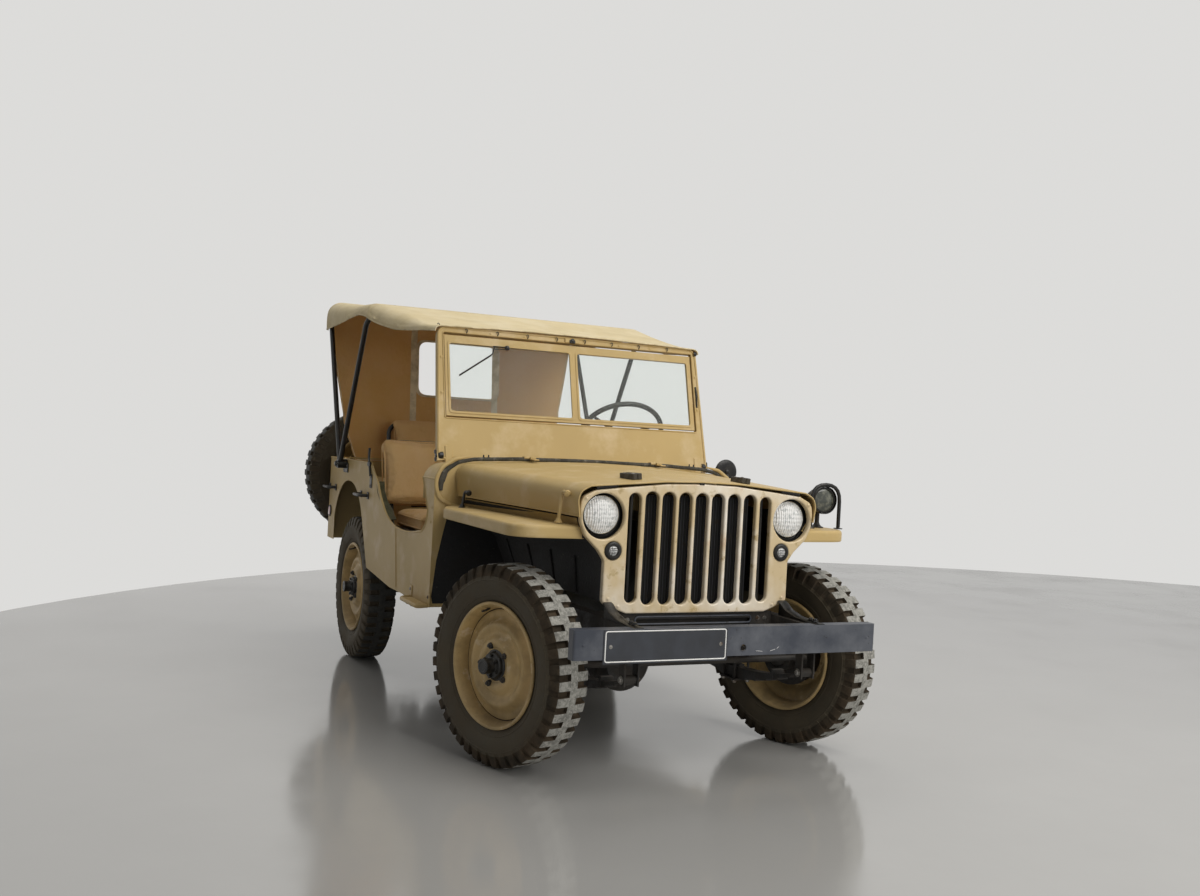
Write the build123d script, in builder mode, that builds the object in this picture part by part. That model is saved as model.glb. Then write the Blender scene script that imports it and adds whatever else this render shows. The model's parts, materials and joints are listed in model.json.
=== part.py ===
from build123d import *
import os
from math import asin, atan2, cos, hypot, radians, sin, sqrt

os.makedirs("parts", exist_ok=True)

# Open quarter-ton 4x4 car with a canvas top, its front wheels steered to its left
# Lengths in millimetres, X forward, Y to the car's left, Z up from the ground

# Driving dimensions
wheelbase = 2032.0
track = 1250.0
tyre_radius = 357.0
tyre_half_width = 77.0
front_overhang = 530.0
spare_behind_axle = 748.0
overall_half_width = 803.0
body_half_width = 705.0
sheet = 3.0
seat_gap = 0.3
swing_gap = 6.0
overrun = 30.0
steer_rest = 18.7

front_axle_x = (spare_behind_axle + tyre_half_width + wheelbase - front_overhang) / 2
rear_axle_x = front_axle_x - wheelbase
axle_z = tyre_radius

# Frame rails and floor
rail_half_gap = 352.0
rail_width = 45.0
rail_height = 90.0
rail_top = 557.0
rail_bottom = rail_top - rail_height
rail_inner = rail_half_gap - rail_width / 2
floor_bottom = rail_top
floor_top = floor_bottom + sheet

# Body tub, places along X given from the axle that they belong to
cowl_behind_front = 668.0
body_behind_rear = 572.0
body_front_x = front_axle_x - cowl_behind_front
body_rear_x = rear_axle_x - body_behind_rear
body_top = 1000.0
sill_front_z = 455.0
sill_rear_z = 492.0
tail_z = 558.0
body_inner = body_half_width - sheet

# Wheels: tyre with shoulder grooves, rim, disc, drum and hub in one turned piece
kingpin_offset = 70.0
rim_barrel = 198.0
rim_wall = 6.0
rim_flange = 222.0
bead_half_width = 57.0
rim_half_width = 69.0
disc_face = 48.0
disc_wall = 6.0
disc_root = 20.0
drum_radius = 122.0
drum_back = -3.0
hub_radius = 48.0
hub_reach = 72.0
cap_radius = 36.0
cap_reach = 90.0
spindle_radius = 22.0
spindle_reach = 35.0
bearing_gap = 0.05
lug_count = 30
lug_depth = 14.0
groove_width = 27.0
rib_half_width = 13.0
tread_half_width = 66.0
sidewall_radius = 290.0


def wheel_plane(axle_x, side, turn):
    """Mid-plane of a wheel: X forward, normal outboard, turned about its kingpin."""
    across = Vector(-sin(radians(turn)), cos(radians(turn)), 0)
    ahead = Vector(cos(radians(turn)), sin(radians(turn)), 0)
    kingpin = Vector(axle_x, side * (track / 2 - kingpin_offset), axle_z)
    centre = kingpin + across * (side * kingpin_offset)
    return Plane(origin=centre, x_dir=ahead, z_dir=across * side)


def turned(profile):
    """Solid of revolution about local Z from a closed (radius, height) outline."""
    with BuildPart() as body:
        with BuildSketch(Plane.XZ):
            with BuildLine():
                Polyline(*profile, close=True)
            make_face()
        revolve(axis=Axis.Z)
    return body.part


def tubing(points, radius, bend):
    """Round tube along straight runs joined by bends."""
    with BuildPart() as body:
        with BuildLine() as route:
            FilletPolyline(*points, radius=bend)
        with BuildSketch(Plane(origin=route.line @ 0, z_dir=route.line % 0)):
            Circle(radius)
        sweep()
    return body.part


def panel(plane, outline, thickness):
    """Flat sheet of any outline, from the plane along its normal."""
    with BuildPart() as body:
        with BuildSketch(plane):
            with BuildLine():
                Polyline(*outline, close=True)
            make_face()
        extrude(amount=thickness)
    return body.part


def ruled(sections):
    """Solid through outlines on parallel planes, with straight sides between them."""
    with BuildPart() as body:
        for plane, outline in sections:
            with BuildSketch(plane):
                with BuildLine():
                    Polyline(*outline, close=True)
                make_face()
        loft(ruled=True)
    return body.part


def block(low, high):
    """Box between two corners."""
    with BuildPart() as body:
        size = Vector(*high) - Vector(*low)
        with Locations((Vector(*high) + Vector(*low)) / 2):
            Box(size.X, size.Y, size.Z)
    return body.part


def rod(start, end, radius):
    """Round bar between two points."""
    axis = Vector(*end) - Vector(*start)
    with BuildPart() as body:
        with BuildSketch(Plane(origin=start, z_dir=axis)):
            Circle(radius)
        extrude(amount=axis.length)
    return body.part


def mirrored(shape):
    """The same piece on the car's other side."""
    with BuildPart() as body:
        add(shape)
        mirror(about=Plane.XZ, mode=Mode.REPLACE)
    return body.part


# Tyre form about local Z, flats between its lugs standing on the ground
bead_radius = rim_barrel + rim_wall + seat_gap
# Columns: distance from the mid-plane, radius across the flats
tyre_rings = [
    (bead_half_width - seat_gap, rim_flange + seat_gap),
    (tyre_half_width, sidewall_radius),
    (tread_half_width, tyre_radius),
]
with BuildPart() as tyre_form:
    for side_sign, rings in ((-1, tyre_rings), (1, tyre_rings[::-1])):
        for reach, radius in rings:
            with BuildSketch(Plane.XY.offset(side_sign * reach)):
                RegularPolygon(radius, lug_count, major_radius=False)
    loft(ruled=True)
    with BuildSketch(Plane.XY.offset(-tyre_half_width)):
        RegularPolygon(bead_radius, lug_count, major_radius=False)
    extrude(amount=2 * tyre_half_width, mode=Mode.SUBTRACT)

# Groove form, running from the centre rib out through the shoulder
with BuildPart() as groove_form:
    with BuildSketch(Plane.XZ):
        with BuildLine():
            Polyline(
                (tyre_radius, rib_half_width),
                (tyre_radius - lug_depth, tyre_half_width),
                (tyre_radius + lug_depth, tyre_half_width),
                (tyre_radius + lug_depth, rib_half_width),
                close=True,
            )
        make_face()
    extrude(amount=groove_width / 2, both=True)

pitch_angle = 360 / lug_count
with BuildPart() as lugged_form:
    add(tyre_form.part)
    with PolarLocations(0, lug_count, start_angle=pitch_angle / 2):
        add(groove_form.part, mode=Mode.SUBTRACT)
    with PolarLocations(0, lug_count):
        add(groove_form.part.mirror(Plane.XY), mode=Mode.SUBTRACT)

# Disc steps between drum and barrel, as shares of the span and of the dish
disc_step_shares = [(0.24, 0.86), (0.42, 0.40), (0.62, 0.10)]
disc_span = rim_barrel - drum_radius
disc_dish = disc_face - disc_root
disc_outside = [
    (drum_radius + a * disc_span, disc_root + b * disc_dish) for a, b in disc_step_shares
]
disc_inside = [(r, a - disc_wall) for r, a in disc_outside]
barrel_outline = [
    (rim_barrel, disc_root - disc_wall),
    (rim_barrel, -rim_half_width),
    (rim_flange, -rim_half_width),
    (rim_flange, -bead_half_width),
    (rim_barrel + rim_wall, -bead_half_width),
    (rim_barrel + rim_wall, bead_half_width),
    (rim_flange, bead_half_width),
    (rim_flange, rim_half_width),
    (rim_barrel, rim_half_width),
    (rim_barrel, disc_root),
]
bore_radius = spindle_radius + bearing_gap
hub_back = disc_face - disc_wall
wheel_outline = (
    [(0, spindle_reach + sheet), (bore_radius, spindle_reach + sheet), (bore_radius, drum_back)]
    + [(drum_radius, drum_back), (drum_radius, hub_back)]
    + disc_inside
    + barrel_outline
    + disc_outside[::-1]
    + [(drum_radius, disc_face), (hub_radius, disc_face), (hub_radius, hub_reach)]
    + [(cap_radius, hub_reach), (cap_radius, cap_reach), (0, cap_reach)]
)
spare_outline = (
    [(hub_radius, hub_back), (drum_radius, hub_back)]
    + disc_inside
    + barrel_outline
    + disc_outside[::-1]
    + [(drum_radius, disc_face), (hub_radius, disc_face)]
)
wheel_form = turned(wheel_outline)
spare_rim_form = turned(spare_outline)

# Columns: place, axle, side (1 is the car's left), turn in degrees
wheel_places = [
    ("front_right", front_axle_x, -1, steer_rest),
    ("front_left", front_axle_x, 1, steer_rest),
    ("rear_right", rear_axle_x, -1, 0),
    ("rear_left", rear_axle_x, 1, 0),
]
for place, axle_x, side, turn in wheel_places:
    seat = wheel_plane(axle_x, side, turn)
    with BuildPart() as tyre:
        with Locations(seat.location):
            add(lugged_form.part)
    tyre.part.label = "tyre_" + place
    export_step(tyre.part, "parts/tyre_" + place + ".step")
    with BuildPart() as wheel:
        with Locations(seat.location):
            add(wheel_form)
    wheel.part.label = "wheel_" + place
    export_step(wheel.part, "parts/wheel_" + place + ".step")

# Axles: tube, differential housing off centre to the right, pinion nose to the middle
axle_tube_radius = 32.0
diff_offset = 170.0
diff_radius = 112.0
diff_half_depth = 84.0
nose_radius = 45.0
nose_reach = 190.0
ball_radius = 52.0
cup_bore = 55.0
cup_radius = 68.0
cup_inboard = 22.0
plate_radius = 130.0
plate_outer = drum_back - swing_gap
plate_thickness = 4.0


def axle_housing(axle_x, nose_side, half_length):
    """Beam axle with its differential, the nose towards the transfer case."""
    with BuildPart() as body:
        with BuildSketch(Plane.XZ.offset(-half_length)):
            with Locations((axle_x, axle_z)):
                Circle(axle_tube_radius)
        extrude(amount=2 * half_length)
        bowl = Plane(
            origin=(axle_x, -diff_offset, axle_z), x_dir=(0, 1, 0), z_dir=(nose_side, 0, 0)
        )
        with BuildSketch(bowl.offset(-diff_half_depth)):
            Circle(diff_radius - diff_half_depth / 3)
        with BuildSketch(bowl.offset(-diff_half_depth / 2)):
            Circle(diff_radius)
        with BuildSketch(bowl.offset(diff_half_depth / 2)):
            Circle(diff_radius)
        with BuildSketch(bowl.offset(diff_half_depth)):
            Circle(nose_radius + diff_half_depth / 4)
        with BuildSketch(bowl.offset(nose_reach)):
            Circle(nose_radius)
        loft(ruled=True)
    return body.part


kingpin_y = track / 2 - kingpin_offset
kingpin_radius = 8.0
kingpin_half_length = sqrt(cup_bore ** 2 - kingpin_radius ** 2) - seat_gap
with BuildPart() as front_axle:
    add(axle_housing(front_axle_x, -1, kingpin_y))
    with Locations((front_axle_x, kingpin_y, axle_z), (front_axle_x, -kingpin_y, axle_z)):
        Sphere(ball_radius)
        Cylinder(kingpin_radius, 2 * kingpin_half_length)
front_axle.part.label = "front_axle"
export_step(front_axle.part, "parts/front_axle.step")

backing_outline = [
    (0, plate_outer - plate_thickness),
    (plate_radius, plate_outer - plate_thickness),
    (plate_radius, plate_outer),
    (spindle_radius + sheet, plate_outer),
    (spindle_radius, plate_outer + sheet),
    (spindle_radius, spindle_reach),
    (0, spindle_reach),
]
backing_form = turned(backing_outline)
rear_tube_end = track / 2 + plate_outer - plate_thickness
with BuildPart() as rear_axle:
    add(axle_housing(rear_axle_x, 1, rear_tube_end))
    for side in (-1, 1):
        with Locations(wheel_plane(rear_axle_x, side, 0).location):
            add(backing_form)
rear_axle.part.label = "rear_axle"
export_step(rear_axle.part, "parts/rear_axle.step")

# Steering knuckles, each a cup round its axle ball, with arms for the rods
arm_length = 140.0
arm_width = 34.0
arm_thickness = 12.0
tie_arm_drop = 17.0
tie_arm_z = axle_z - tie_arm_drop
cap_height = 75.0
drag_arm_z = axle_z + cap_height - arm_thickness / 2
pin_radius = 9.0
rod_radius = 12.0
rod_end_radius = 19.0
rod_end_height = 26.0
pin_gap = 0.3
cup_outline = [
    (0, -kingpin_offset - cup_inboard),
    (cup_radius, -kingpin_offset - cup_inboard),
    (cup_radius, -cup_inboard),
    (cup_bore, plate_outer - plate_thickness),
    (0, plate_outer - plate_thickness),
]
cup_form = turned(cup_outline)
ahead = Vector(cos(radians(steer_rest)), sin(radians(steer_rest)), 0)
across = Vector(-sin(radians(steer_rest)), cos(radians(steer_rest)), 0)


def arm(root, direction, start, base_z):
    """Flat steering arm from near the kingpin to its rod's pin."""
    middle = root + direction * ((start + arm_length) / 2)
    plane = Plane(origin=(middle.X, middle.Y, base_z), x_dir=direction, z_dir=(0, 0, 1))
    with BuildPart() as body:
        with BuildSketch(plane):
            SlotCenterToCenter(arm_length - start, arm_width)
        extrude(amount=arm_thickness)
    return body.part


tie_pin_top = tie_arm_z + arm_thickness + rod_end_height + seat_gap
drag_pin_bottom = drag_arm_z - rod_end_height - seat_gap
for place, side in (("right", -1), ("left", 1)):
    root = Vector(front_axle_x, side * kingpin_y, 0)
    tie_pin = root + ahead * arm_length
    with BuildPart() as knuckle:
        with Locations(wheel_plane(front_axle_x, side, steer_rest).location):
            add(cup_form)
            add(backing_form)
        with BuildSketch(Plane.XY.offset(axle_z + ball_radius + sheet)):
            with Locations((root.X, root.Y)):
                Circle(ball_radius / 2)
        extrude(amount=cap_height - ball_radius - sheet)
        with BuildSketch(Plane.XY.offset(axle_z - cap_height)):
            with Locations((root.X, root.Y)):
                Circle(ball_radius / 2)
        extrude(amount=cap_height - ball_radius - sheet)
        with Locations((root.X, root.Y, axle_z)):
            Sphere(cup_bore, mode=Mode.SUBTRACT)
        add(arm(root, ahead, cup_radius + arm_width / 4, tie_arm_z))
        add(rod((tie_pin.X, tie_pin.Y, tie_arm_z), (tie_pin.X, tie_pin.Y, tie_pin_top), pin_radius))
        if side > 0:
            drag_pin = root - across * arm_length
            add(arm(root, -across, 0, drag_arm_z))
            add(
                rod(
                    (drag_pin.X, drag_pin.Y, drag_pin_bottom),
                    (drag_pin.X, drag_pin.Y, drag_arm_z + arm_thickness),
                    pin_radius,
                )
            )
    knuckle.part.label = "knuckle_" + place
    export_step(knuckle.part, "parts/knuckle_" + place + ".step")

# Tie rod between the two front arms, parallel to the axle
tie_end_z = tie_arm_z + arm_thickness + seat_gap
tie_rod_z = tie_end_z + rod_end_height / 2
tie_x = front_axle_x + arm_length * cos(radians(steer_rest))
tie_shift = arm_length * sin(radians(steer_rest))
with BuildPart() as tie_rod:
    add(
        rod(
            (tie_x, tie_shift - kingpin_y, tie_rod_z),
            (tie_x, tie_shift + kingpin_y, tie_rod_z),
            rod_radius,
        )
    )
    with BuildSketch(Plane.XY.offset(tie_end_z)):
        with Locations((tie_x, tie_shift - kingpin_y), (tie_x, tie_shift + kingpin_y)):
            Circle(rod_end_radius)
    extrude(amount=rod_end_height)
    with BuildSketch(Plane.XY.offset(tie_end_z)):
        with Locations((tie_x, tie_shift - kingpin_y), (tie_x, tie_shift + kingpin_y)):
            Circle(pin_radius + pin_gap)
    extrude(amount=rod_end_height, mode=Mode.SUBTRACT)
tie_rod.part.label = "tie_rod"
export_step(tie_rod.part, "parts/tie_rod.step")

# Steering box on the left rail, its drop arm and the drag link
box_behind_axle = 475.0
box_x = front_axle_x - box_behind_axle
box_z = 542.0
box_radius = 46.0
drop_plate_inner = 234.0
drop_plate = 12.0
drag_rod_z = drag_arm_z - rod_end_height / 2 - seat_gap
drag_pin = Vector(front_axle_x, kingpin_y, 0) - across * arm_length
drop_pin_x = box_x + (drag_pin.X - front_axle_x)
drop_pin_z = box_z - arm_length * cos(radians(steer_rest))
drag_rear_y = drop_plate_inner - swing_gap * 2 - rod_end_radius
with BuildPart() as drag_link:
    add(rod((drag_pin.X, drag_pin.Y, drag_rod_z), (drop_pin_x, drag_rear_y, drag_rod_z), rod_radius))
    with BuildSketch(Plane.XY.offset(drag_rod_z - rod_end_height / 2)):
        with Locations((drag_pin.X, drag_pin.Y), (drop_pin_x, drag_rear_y)):
            Circle(rod_end_radius)
    extrude(amount=rod_end_height)
    with BuildSketch(Plane.XY.offset(drag_rod_z - rod_end_height / 2)):
        with Locations((drag_pin.X, drag_pin.Y)):
            Circle(pin_radius + pin_gap)
    extrude(amount=rod_end_height, mode=Mode.SUBTRACT)
drag_link.part.label = "drag_link"
export_step(drag_link.part, "parts/drag_link.step")

drop_middle_x = (box_x + drop_pin_x) / 2
drop_middle_z = (box_z + drop_pin_z) / 2
drop_plane = Plane(
    origin=(drop_middle_x, drop_plate_inner, drop_middle_z),
    x_dir=(drop_pin_x - box_x, 0, drop_pin_z - box_z),
    z_dir=(0, 1, 0),
)
with BuildPart() as drop_arm:
    with BuildSketch(drop_plane):
        SlotCenterToCenter(arm_length, arm_width)
    extrude(amount=drop_plate)
drop_arm.part.label = "drop_arm"
export_step(drop_arm.part, "parts/drop_arm.step")

# Steering column and wheel, on one slanting axis
steering_behind_axle = 1180.0
steering_y = 370.0
steering_z = 1200.0
column_radius = 22.0
wheel_rim_radius = 205.0
wheel_rim_tube = 12.0
steering_hub_radius = 34.0
steering_hub_depth = 40.0
spoke_radius = 7.0
spoke_count = 3
box_inner_y = drop_plate_inner + drop_plate + seat_gap
column_foot = Vector(box_x, (box_inner_y + rail_inner) / 2, box_z)
steering_centre = Vector(front_axle_x - steering_behind_axle, steering_y, steering_z)
column_axis = (steering_centre - column_foot).normalized()
column_top = steering_centre - column_axis * (steering_hub_depth / 2 + seat_gap)
with BuildPart() as steering_column:
    add(rod(column_foot, column_top, column_radius))
    with BuildSketch(Plane.XZ.offset(-rail_inner)):
        with Locations((box_x, box_z)):
            Circle(box_radius)
    extrude(amount=rail_inner - box_inner_y)
steering_column.part.label = "steering_column"
export_step(steering_column.part, "parts/steering_column.step")

steering_plane = Plane(origin=steering_centre, x_dir=(0, 1, 0), z_dir=column_axis)
with BuildPart() as steering_wheel:
    with BuildSketch(steering_plane.offset(-steering_hub_depth / 2)):
        Circle(steering_hub_radius)
    extrude(amount=steering_hub_depth)
    with Locations(steering_plane.location):
        Torus(wheel_rim_radius, wheel_rim_tube)
        with PolarLocations(0, spoke_count, start_angle=90):
            Cylinder(
                spoke_radius,
                wheel_rim_radius,
                rotation=(0, 90, 0),
                align=(Align.CENTER, Align.CENTER, Align.MIN),
            )
steering_wheel.part.label = "steering_wheel"
export_step(steering_wheel.part, "parts/steering_wheel.step")

# Leaf springs under the axles, hung on brackets and swinging links
spring_half_length = 455.0
spring_width = 44.0
spring_sag = 62.0
leaf_thickness = 7.0
leaf_length_shares = [1.0, 0.86, 0.70, 0.54, 0.38, 0.22]
spring_seat = 8.0
spring_top = axle_z - axle_tube_radius - spring_seat
eye_radius = 16.0
spring_curve = (spring_half_length ** 2 + spring_sag ** 2) / (2 * spring_sag)
with BuildPart() as leaf_springs:
    for axle_x in (front_axle_x, rear_axle_x):
        for side in (-1, 1):
            near = Plane.XZ.offset(-(side * rail_half_gap + spring_width / 2))
            for leaf, share in enumerate(leaf_length_shares):
                centre_z = spring_top + spring_curve
                upper = spring_curve + leaf * leaf_thickness
                lower = upper + leaf_thickness
                half_angle = asin(share * spring_half_length / spring_curve)
                with BuildSketch(near):
                    with BuildLine():
                        ends = []
                        for radius in (upper, lower):
                            end_z = centre_z - radius * cos(half_angle)
                            left = (axle_x - radius * sin(half_angle), end_z)
                            right = (axle_x + radius * sin(half_angle), end_z)
                            ThreePointArc(left, (axle_x, centre_z - radius), right)
                            ends.append((left, right))
                        Line(ends[0][0], ends[1][0])
                        Line(ends[0][1], ends[1][1])
                    make_face()
                extrude(amount=spring_width)
            eye_z = spring_top + spring_sag
            eyes = [(axle_x + end * spring_half_length, eye_z) for end in (-1, 1)]
            with BuildSketch(near):
                with Locations(*eyes):
                    Circle(eye_radius)
            extrude(amount=spring_width)
            with BuildSketch(near.offset(spring_width / 4)):
                with Locations((axle_x, spring_top)):
                    Rectangle(spring_width * 2, spring_seat * 2 + leaf_thickness)
            extrude(amount=spring_width / 2)
            with BuildSketch(near):
                with Locations((axle_x, axle_z)):
                    Circle(axle_tube_radius + seat_gap)
            extrude(amount=spring_width, mode=Mode.SUBTRACT)
leaf_springs.part.label = "leaf_springs"
export_step(leaf_springs.part, "parts/leaf_springs.step")

# Bumper, a channel that takes the rail ends
bumper_wall = 4.0
bumper_depth = 46.0
bumper_half_length = 595.0
crank_hole_radius = 11.0
crank_hole_y = 40.0
crank_hole_drop = 22.0
bumper_face_x = front_axle_x + front_overhang
bumper_top = rail_top + bumper_wall + seat_gap
bumper_bottom = rail_bottom - bumper_wall - seat_gap
crank_hole_z = (bumper_top + bumper_bottom) / 2 - crank_hole_drop
with BuildPart() as front_bumper:
    with BuildSketch(Plane.YZ.offset(bumper_face_x - bumper_depth)):
        with Locations((0, (bumper_top + bumper_bottom) / 2)):
            Rectangle(2 * bumper_half_length, bumper_top - bumper_bottom)
    extrude(amount=bumper_depth)
    fillet(front_bumper.edges().filter_by(Axis.Z), bumper_wall * 2)
    with BuildSketch(Plane.YZ.offset(bumper_face_x - bumper_depth)):
        with Locations((0, (bumper_top + bumper_bottom) / 2)):
            Rectangle(2 * (bumper_half_length - bumper_wall), rail_height + 2 * seat_gap)
    extrude(amount=bumper_depth - bumper_wall, mode=Mode.SUBTRACT)
    with BuildSketch(Plane.YZ.offset(bumper_face_x - bumper_depth)):
        with Locations((crank_hole_y, crank_hole_z)):
            Circle(crank_hole_radius)
    extrude(amount=bumper_depth + overrun, mode=Mode.SUBTRACT)
front_bumper.part.label = "front_bumper"
export_step(front_bumper.part, "parts/front_bumper.step")

# Engine and gearbox as one plain mass, the transfer case out to the right
engine_ahead = 118.0
engine_behind = 560.0
engine_half_width = 150.0
engine_bottom = 480.0
engine_top = 880.0
gearbox_behind = 1180.0
gearbox_half_width = 95.0
gearbox_bottom = 421.0
gearbox_top = rail_top - swing_gap
transfer_front = 960.0
transfer_reach = 70.0
transfer_outer = diff_offset + transfer_reach
transfer_bottom = 372.0
transfer_top = 500.0
with BuildPart() as engine:
    add(
        block(
            (front_axle_x - engine_behind, -engine_half_width, engine_bottom),
            (front_axle_x + engine_ahead, engine_half_width, engine_top),
        )
    )
    add(
        block(
            (front_axle_x - gearbox_behind, -gearbox_half_width, gearbox_bottom),
            (front_axle_x - engine_behind, gearbox_half_width, gearbox_top),
        )
    )
    add(
        block(
            (front_axle_x - gearbox_behind, -transfer_outer, transfer_bottom),
            (front_axle_x - transfer_front, -gearbox_half_width, transfer_top),
        )
    )
engine.part.label = "engine_block"
export_step(engine.part, "parts/engine_block.step")

# Frame: two rails, cross members and the spring hangers
grille_ahead = 275.0
grille_depth = 25.0
grille_wall = 4.0
grille_bottom = 570.0
grille_face_x = front_axle_x + grille_ahead
cross_panel_depth = 8.0
cross_slot_half = 240.0
cross_slot_height = 24.0
member_width = 60.0
hanger_thickness = 6.0
hanger_half_width = 20.0
tail_setback = 12.0
platform_setback = 10.0
platform_rise = 33.0
eye_z = spring_top + spring_sag
rail_front_x = bumper_face_x - bumper_wall - seat_gap
rail_rear_x = body_rear_x + tail_setback
platform_front_x = grille_face_x - grille_depth - platform_setback
platform_rear_x = front_axle_x + engine_ahead + seat_gap
platform_bottom = rail_bottom + platform_rise
# Shares of the run from the gearbox to the rail ends
rear_member_shares = [0.30, 0.66]
with BuildPart() as frame:
    for side in (-1, 1):
        add(
            block(
                (rail_rear_x, side * rail_half_gap - rail_width / 2, rail_bottom),
                (rail_front_x, side * rail_half_gap + rail_width / 2, rail_top),
            )
        )
        for axle_x in (front_axle_x, rear_axle_x):
            for end in (-1, 1):
                hanger_x = axle_x + end * spring_half_length
                for face in (-1, 1):
                    inner = side * rail_half_gap + face * (spring_width / 2 + seat_gap / 2)
                    outer = inner + face * hanger_thickness
                    low = (hanger_x - hanger_half_width, min(inner, outer), eye_z - hanger_half_width)
                    high_z = rail_bottom + hanger_half_width
                    high = (hanger_x + hanger_half_width, max(inner, outer), high_z)
                    add(block(low, high))
    add(
        block(
            (platform_rear_x, -rail_inner, platform_bottom),
            (platform_front_x, rail_inner, rail_top),
        )
    )
    add(
        block(
            (grille_face_x - grille_depth, -rail_inner, platform_bottom),
            (grille_face_x - grille_depth + cross_panel_depth, rail_inner, grille_bottom - seat_gap),
        )
    )
    with BuildSketch(Plane.YZ.offset(grille_face_x - grille_depth - sheet)):
        with Locations((0, (platform_bottom + grille_bottom) / 2)):
            SlotOverall(2 * cross_slot_half, cross_slot_height)
    extrude(amount=overrun, mode=Mode.SUBTRACT)
    saddle_x = front_axle_x - (gearbox_behind + transfer_front) / 2 + member_width
    with BuildSketch(Plane.YZ.offset(saddle_x)):
        with BuildLine():
            saddle_high = rail_bottom + hanger_half_width
            Polyline(
                (-rail_inner, saddle_high),
                (-rail_inner, transfer_bottom - hanger_half_width),
                (rail_inner, transfer_bottom - hanger_half_width),
                (rail_inner, saddle_high),
                (rail_inner - hanger_half_width, saddle_high),
                (rail_inner - hanger_half_width, transfer_bottom - seat_gap),
                (hanger_half_width - rail_inner, transfer_bottom - seat_gap),
                (hanger_half_width - rail_inner, saddle_high),
                close=True,
            )
        make_face()
    extrude(amount=member_width / 2)
    run = front_axle_x - gearbox_behind - rail_rear_x
    for share in rear_member_shares:
        member_x = front_axle_x - gearbox_behind - share * run
        add(block((member_x - member_width, -rail_inner, rail_bottom), (member_x, rail_inner, rail_top)))
    tail_high = (rail_rear_x + member_width, rail_inner, rail_top)
    add(block((rail_rear_x, -rail_inner, rail_bottom), tail_high))
frame.part.label = "frame_rails"
export_step(frame.part, "parts/frame_rails.step")

# Radiator behind the grille
radiator_half_width = 215.0
radiator_depth = 50.0
radiator_top = 985.0
with BuildPart() as radiator:
    add(
        block(
            (platform_front_x - radiator_depth, -radiator_half_width, rail_top + seat_gap),
            (platform_front_x, radiator_half_width, radiator_top),
        )
    )
radiator.part.label = "radiator"
export_step(radiator.part, "parts/radiator.step")

# Drive shafts from the transfer case to both axles
shaft_radius = 24.0
joint_radius = 34.0
joint_length = 30.0
shaft_rise = 66.0
shaft_front_z = axle_z + shaft_rise
# Columns: end at the transfer case, end at the axle, sign of the run along X
shaft_ends = [
    (front_axle_x - transfer_front + seat_gap, front_axle_x - nose_reach - seat_gap, 1),
    (front_axle_x - gearbox_behind - seat_gap, rear_axle_x + nose_reach + seat_gap, -1),
]
with BuildPart() as drive_shafts:
    for case_x, axle_end_x, sign in shaft_ends:
        case_joint = (case_x + sign * joint_length, -diff_offset, shaft_front_z)
        axle_joint = (axle_end_x - sign * joint_length, -diff_offset, axle_z)
        add(rod((case_x, -diff_offset, shaft_front_z), case_joint, joint_radius))
        add(rod(case_joint, axle_joint, shaft_radius))
        add(rod(axle_joint, (axle_end_x, -diff_offset, axle_z), joint_radius))
drive_shafts.part.label = "drive_shafts"
export_step(drive_shafts.part, "parts/drive_shafts.step")

# Exhaust pipe and silencer on the right of the gearbox
pipe_radius = 20.0
silencer_radius = 52.0
pipe_y = 265.0
pipe_start_z = 600.0
silencer_drop = 12.0
pipe_z = rail_bottom - silencer_radius - silencer_drop
pipe_start_behind = 420.0
pipe_bend = 60.0
silencer_front = 1270.0
silencer_rear = 1640.0
tail_behind = 1820.0
exhaust_route = [
    (front_axle_x - pipe_start_behind, -(engine_half_width + seat_gap), pipe_start_z),
    (front_axle_x - pipe_start_behind, -pipe_y, pipe_start_z),
    (front_axle_x - pipe_start_behind, -pipe_y, pipe_z),
    (front_axle_x - silencer_front, -pipe_y, pipe_z),
]
with BuildPart() as exhaust:
    add(tubing(exhaust_route, pipe_radius, pipe_bend))
    for start, end, radius in (
        (silencer_front, silencer_rear, silencer_radius),
        (silencer_rear, tail_behind, pipe_radius),
    ):
        add(rod((front_axle_x - start, -pipe_y, pipe_z), (front_axle_x - end, -pipe_y, pipe_z), radius))
exhaust.part.label = "exhaust"
export_step(exhaust.part, "parts/exhaust.step")

# Wheel houses over the rear tyres
house_inner = 470.0
house_top = 905.0
house_before_axle = 310.0
house_past_axle = 508.0
house_knee_before = 182.0
house_knee_z = 620.0
house_front = wheelbase - house_before_axle
house_rear = wheelbase + house_past_axle
house_knee_behind = wheelbase - house_knee_before


def house_outline(inset):
    """Side view of a wheel house, drawn in by an inset."""
    return [
        (front_axle_x - house_front - inset, floor_top - inset * 2),
        (front_axle_x - house_front - inset, house_knee_z),
        (front_axle_x - house_knee_behind - inset, house_top - inset),
        (front_axle_x - house_rear + inset, house_top - inset),
        (front_axle_x - house_rear + inset, floor_top - inset * 2),
    ]


with BuildPart() as wheel_houses:
    shell = panel(Plane.XZ.offset(house_inner), house_outline(0), body_inner - seat_gap - house_inner)
    hollow = panel(
        Plane.XZ.offset(house_inner + sheet),
        house_outline(sheet),
        body_inner - house_inner - sheet + overrun,
    )
    with BuildPart(mode=Mode.PRIVATE) as house:
        add(shell)
        add(hollow, mode=Mode.SUBTRACT)
    add(house.part)
    add(mirrored(house.part))
wheel_houses.part.label = "wheel_houses"
export_step(wheel_houses.part, "parts/wheel_houses.step")

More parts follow.
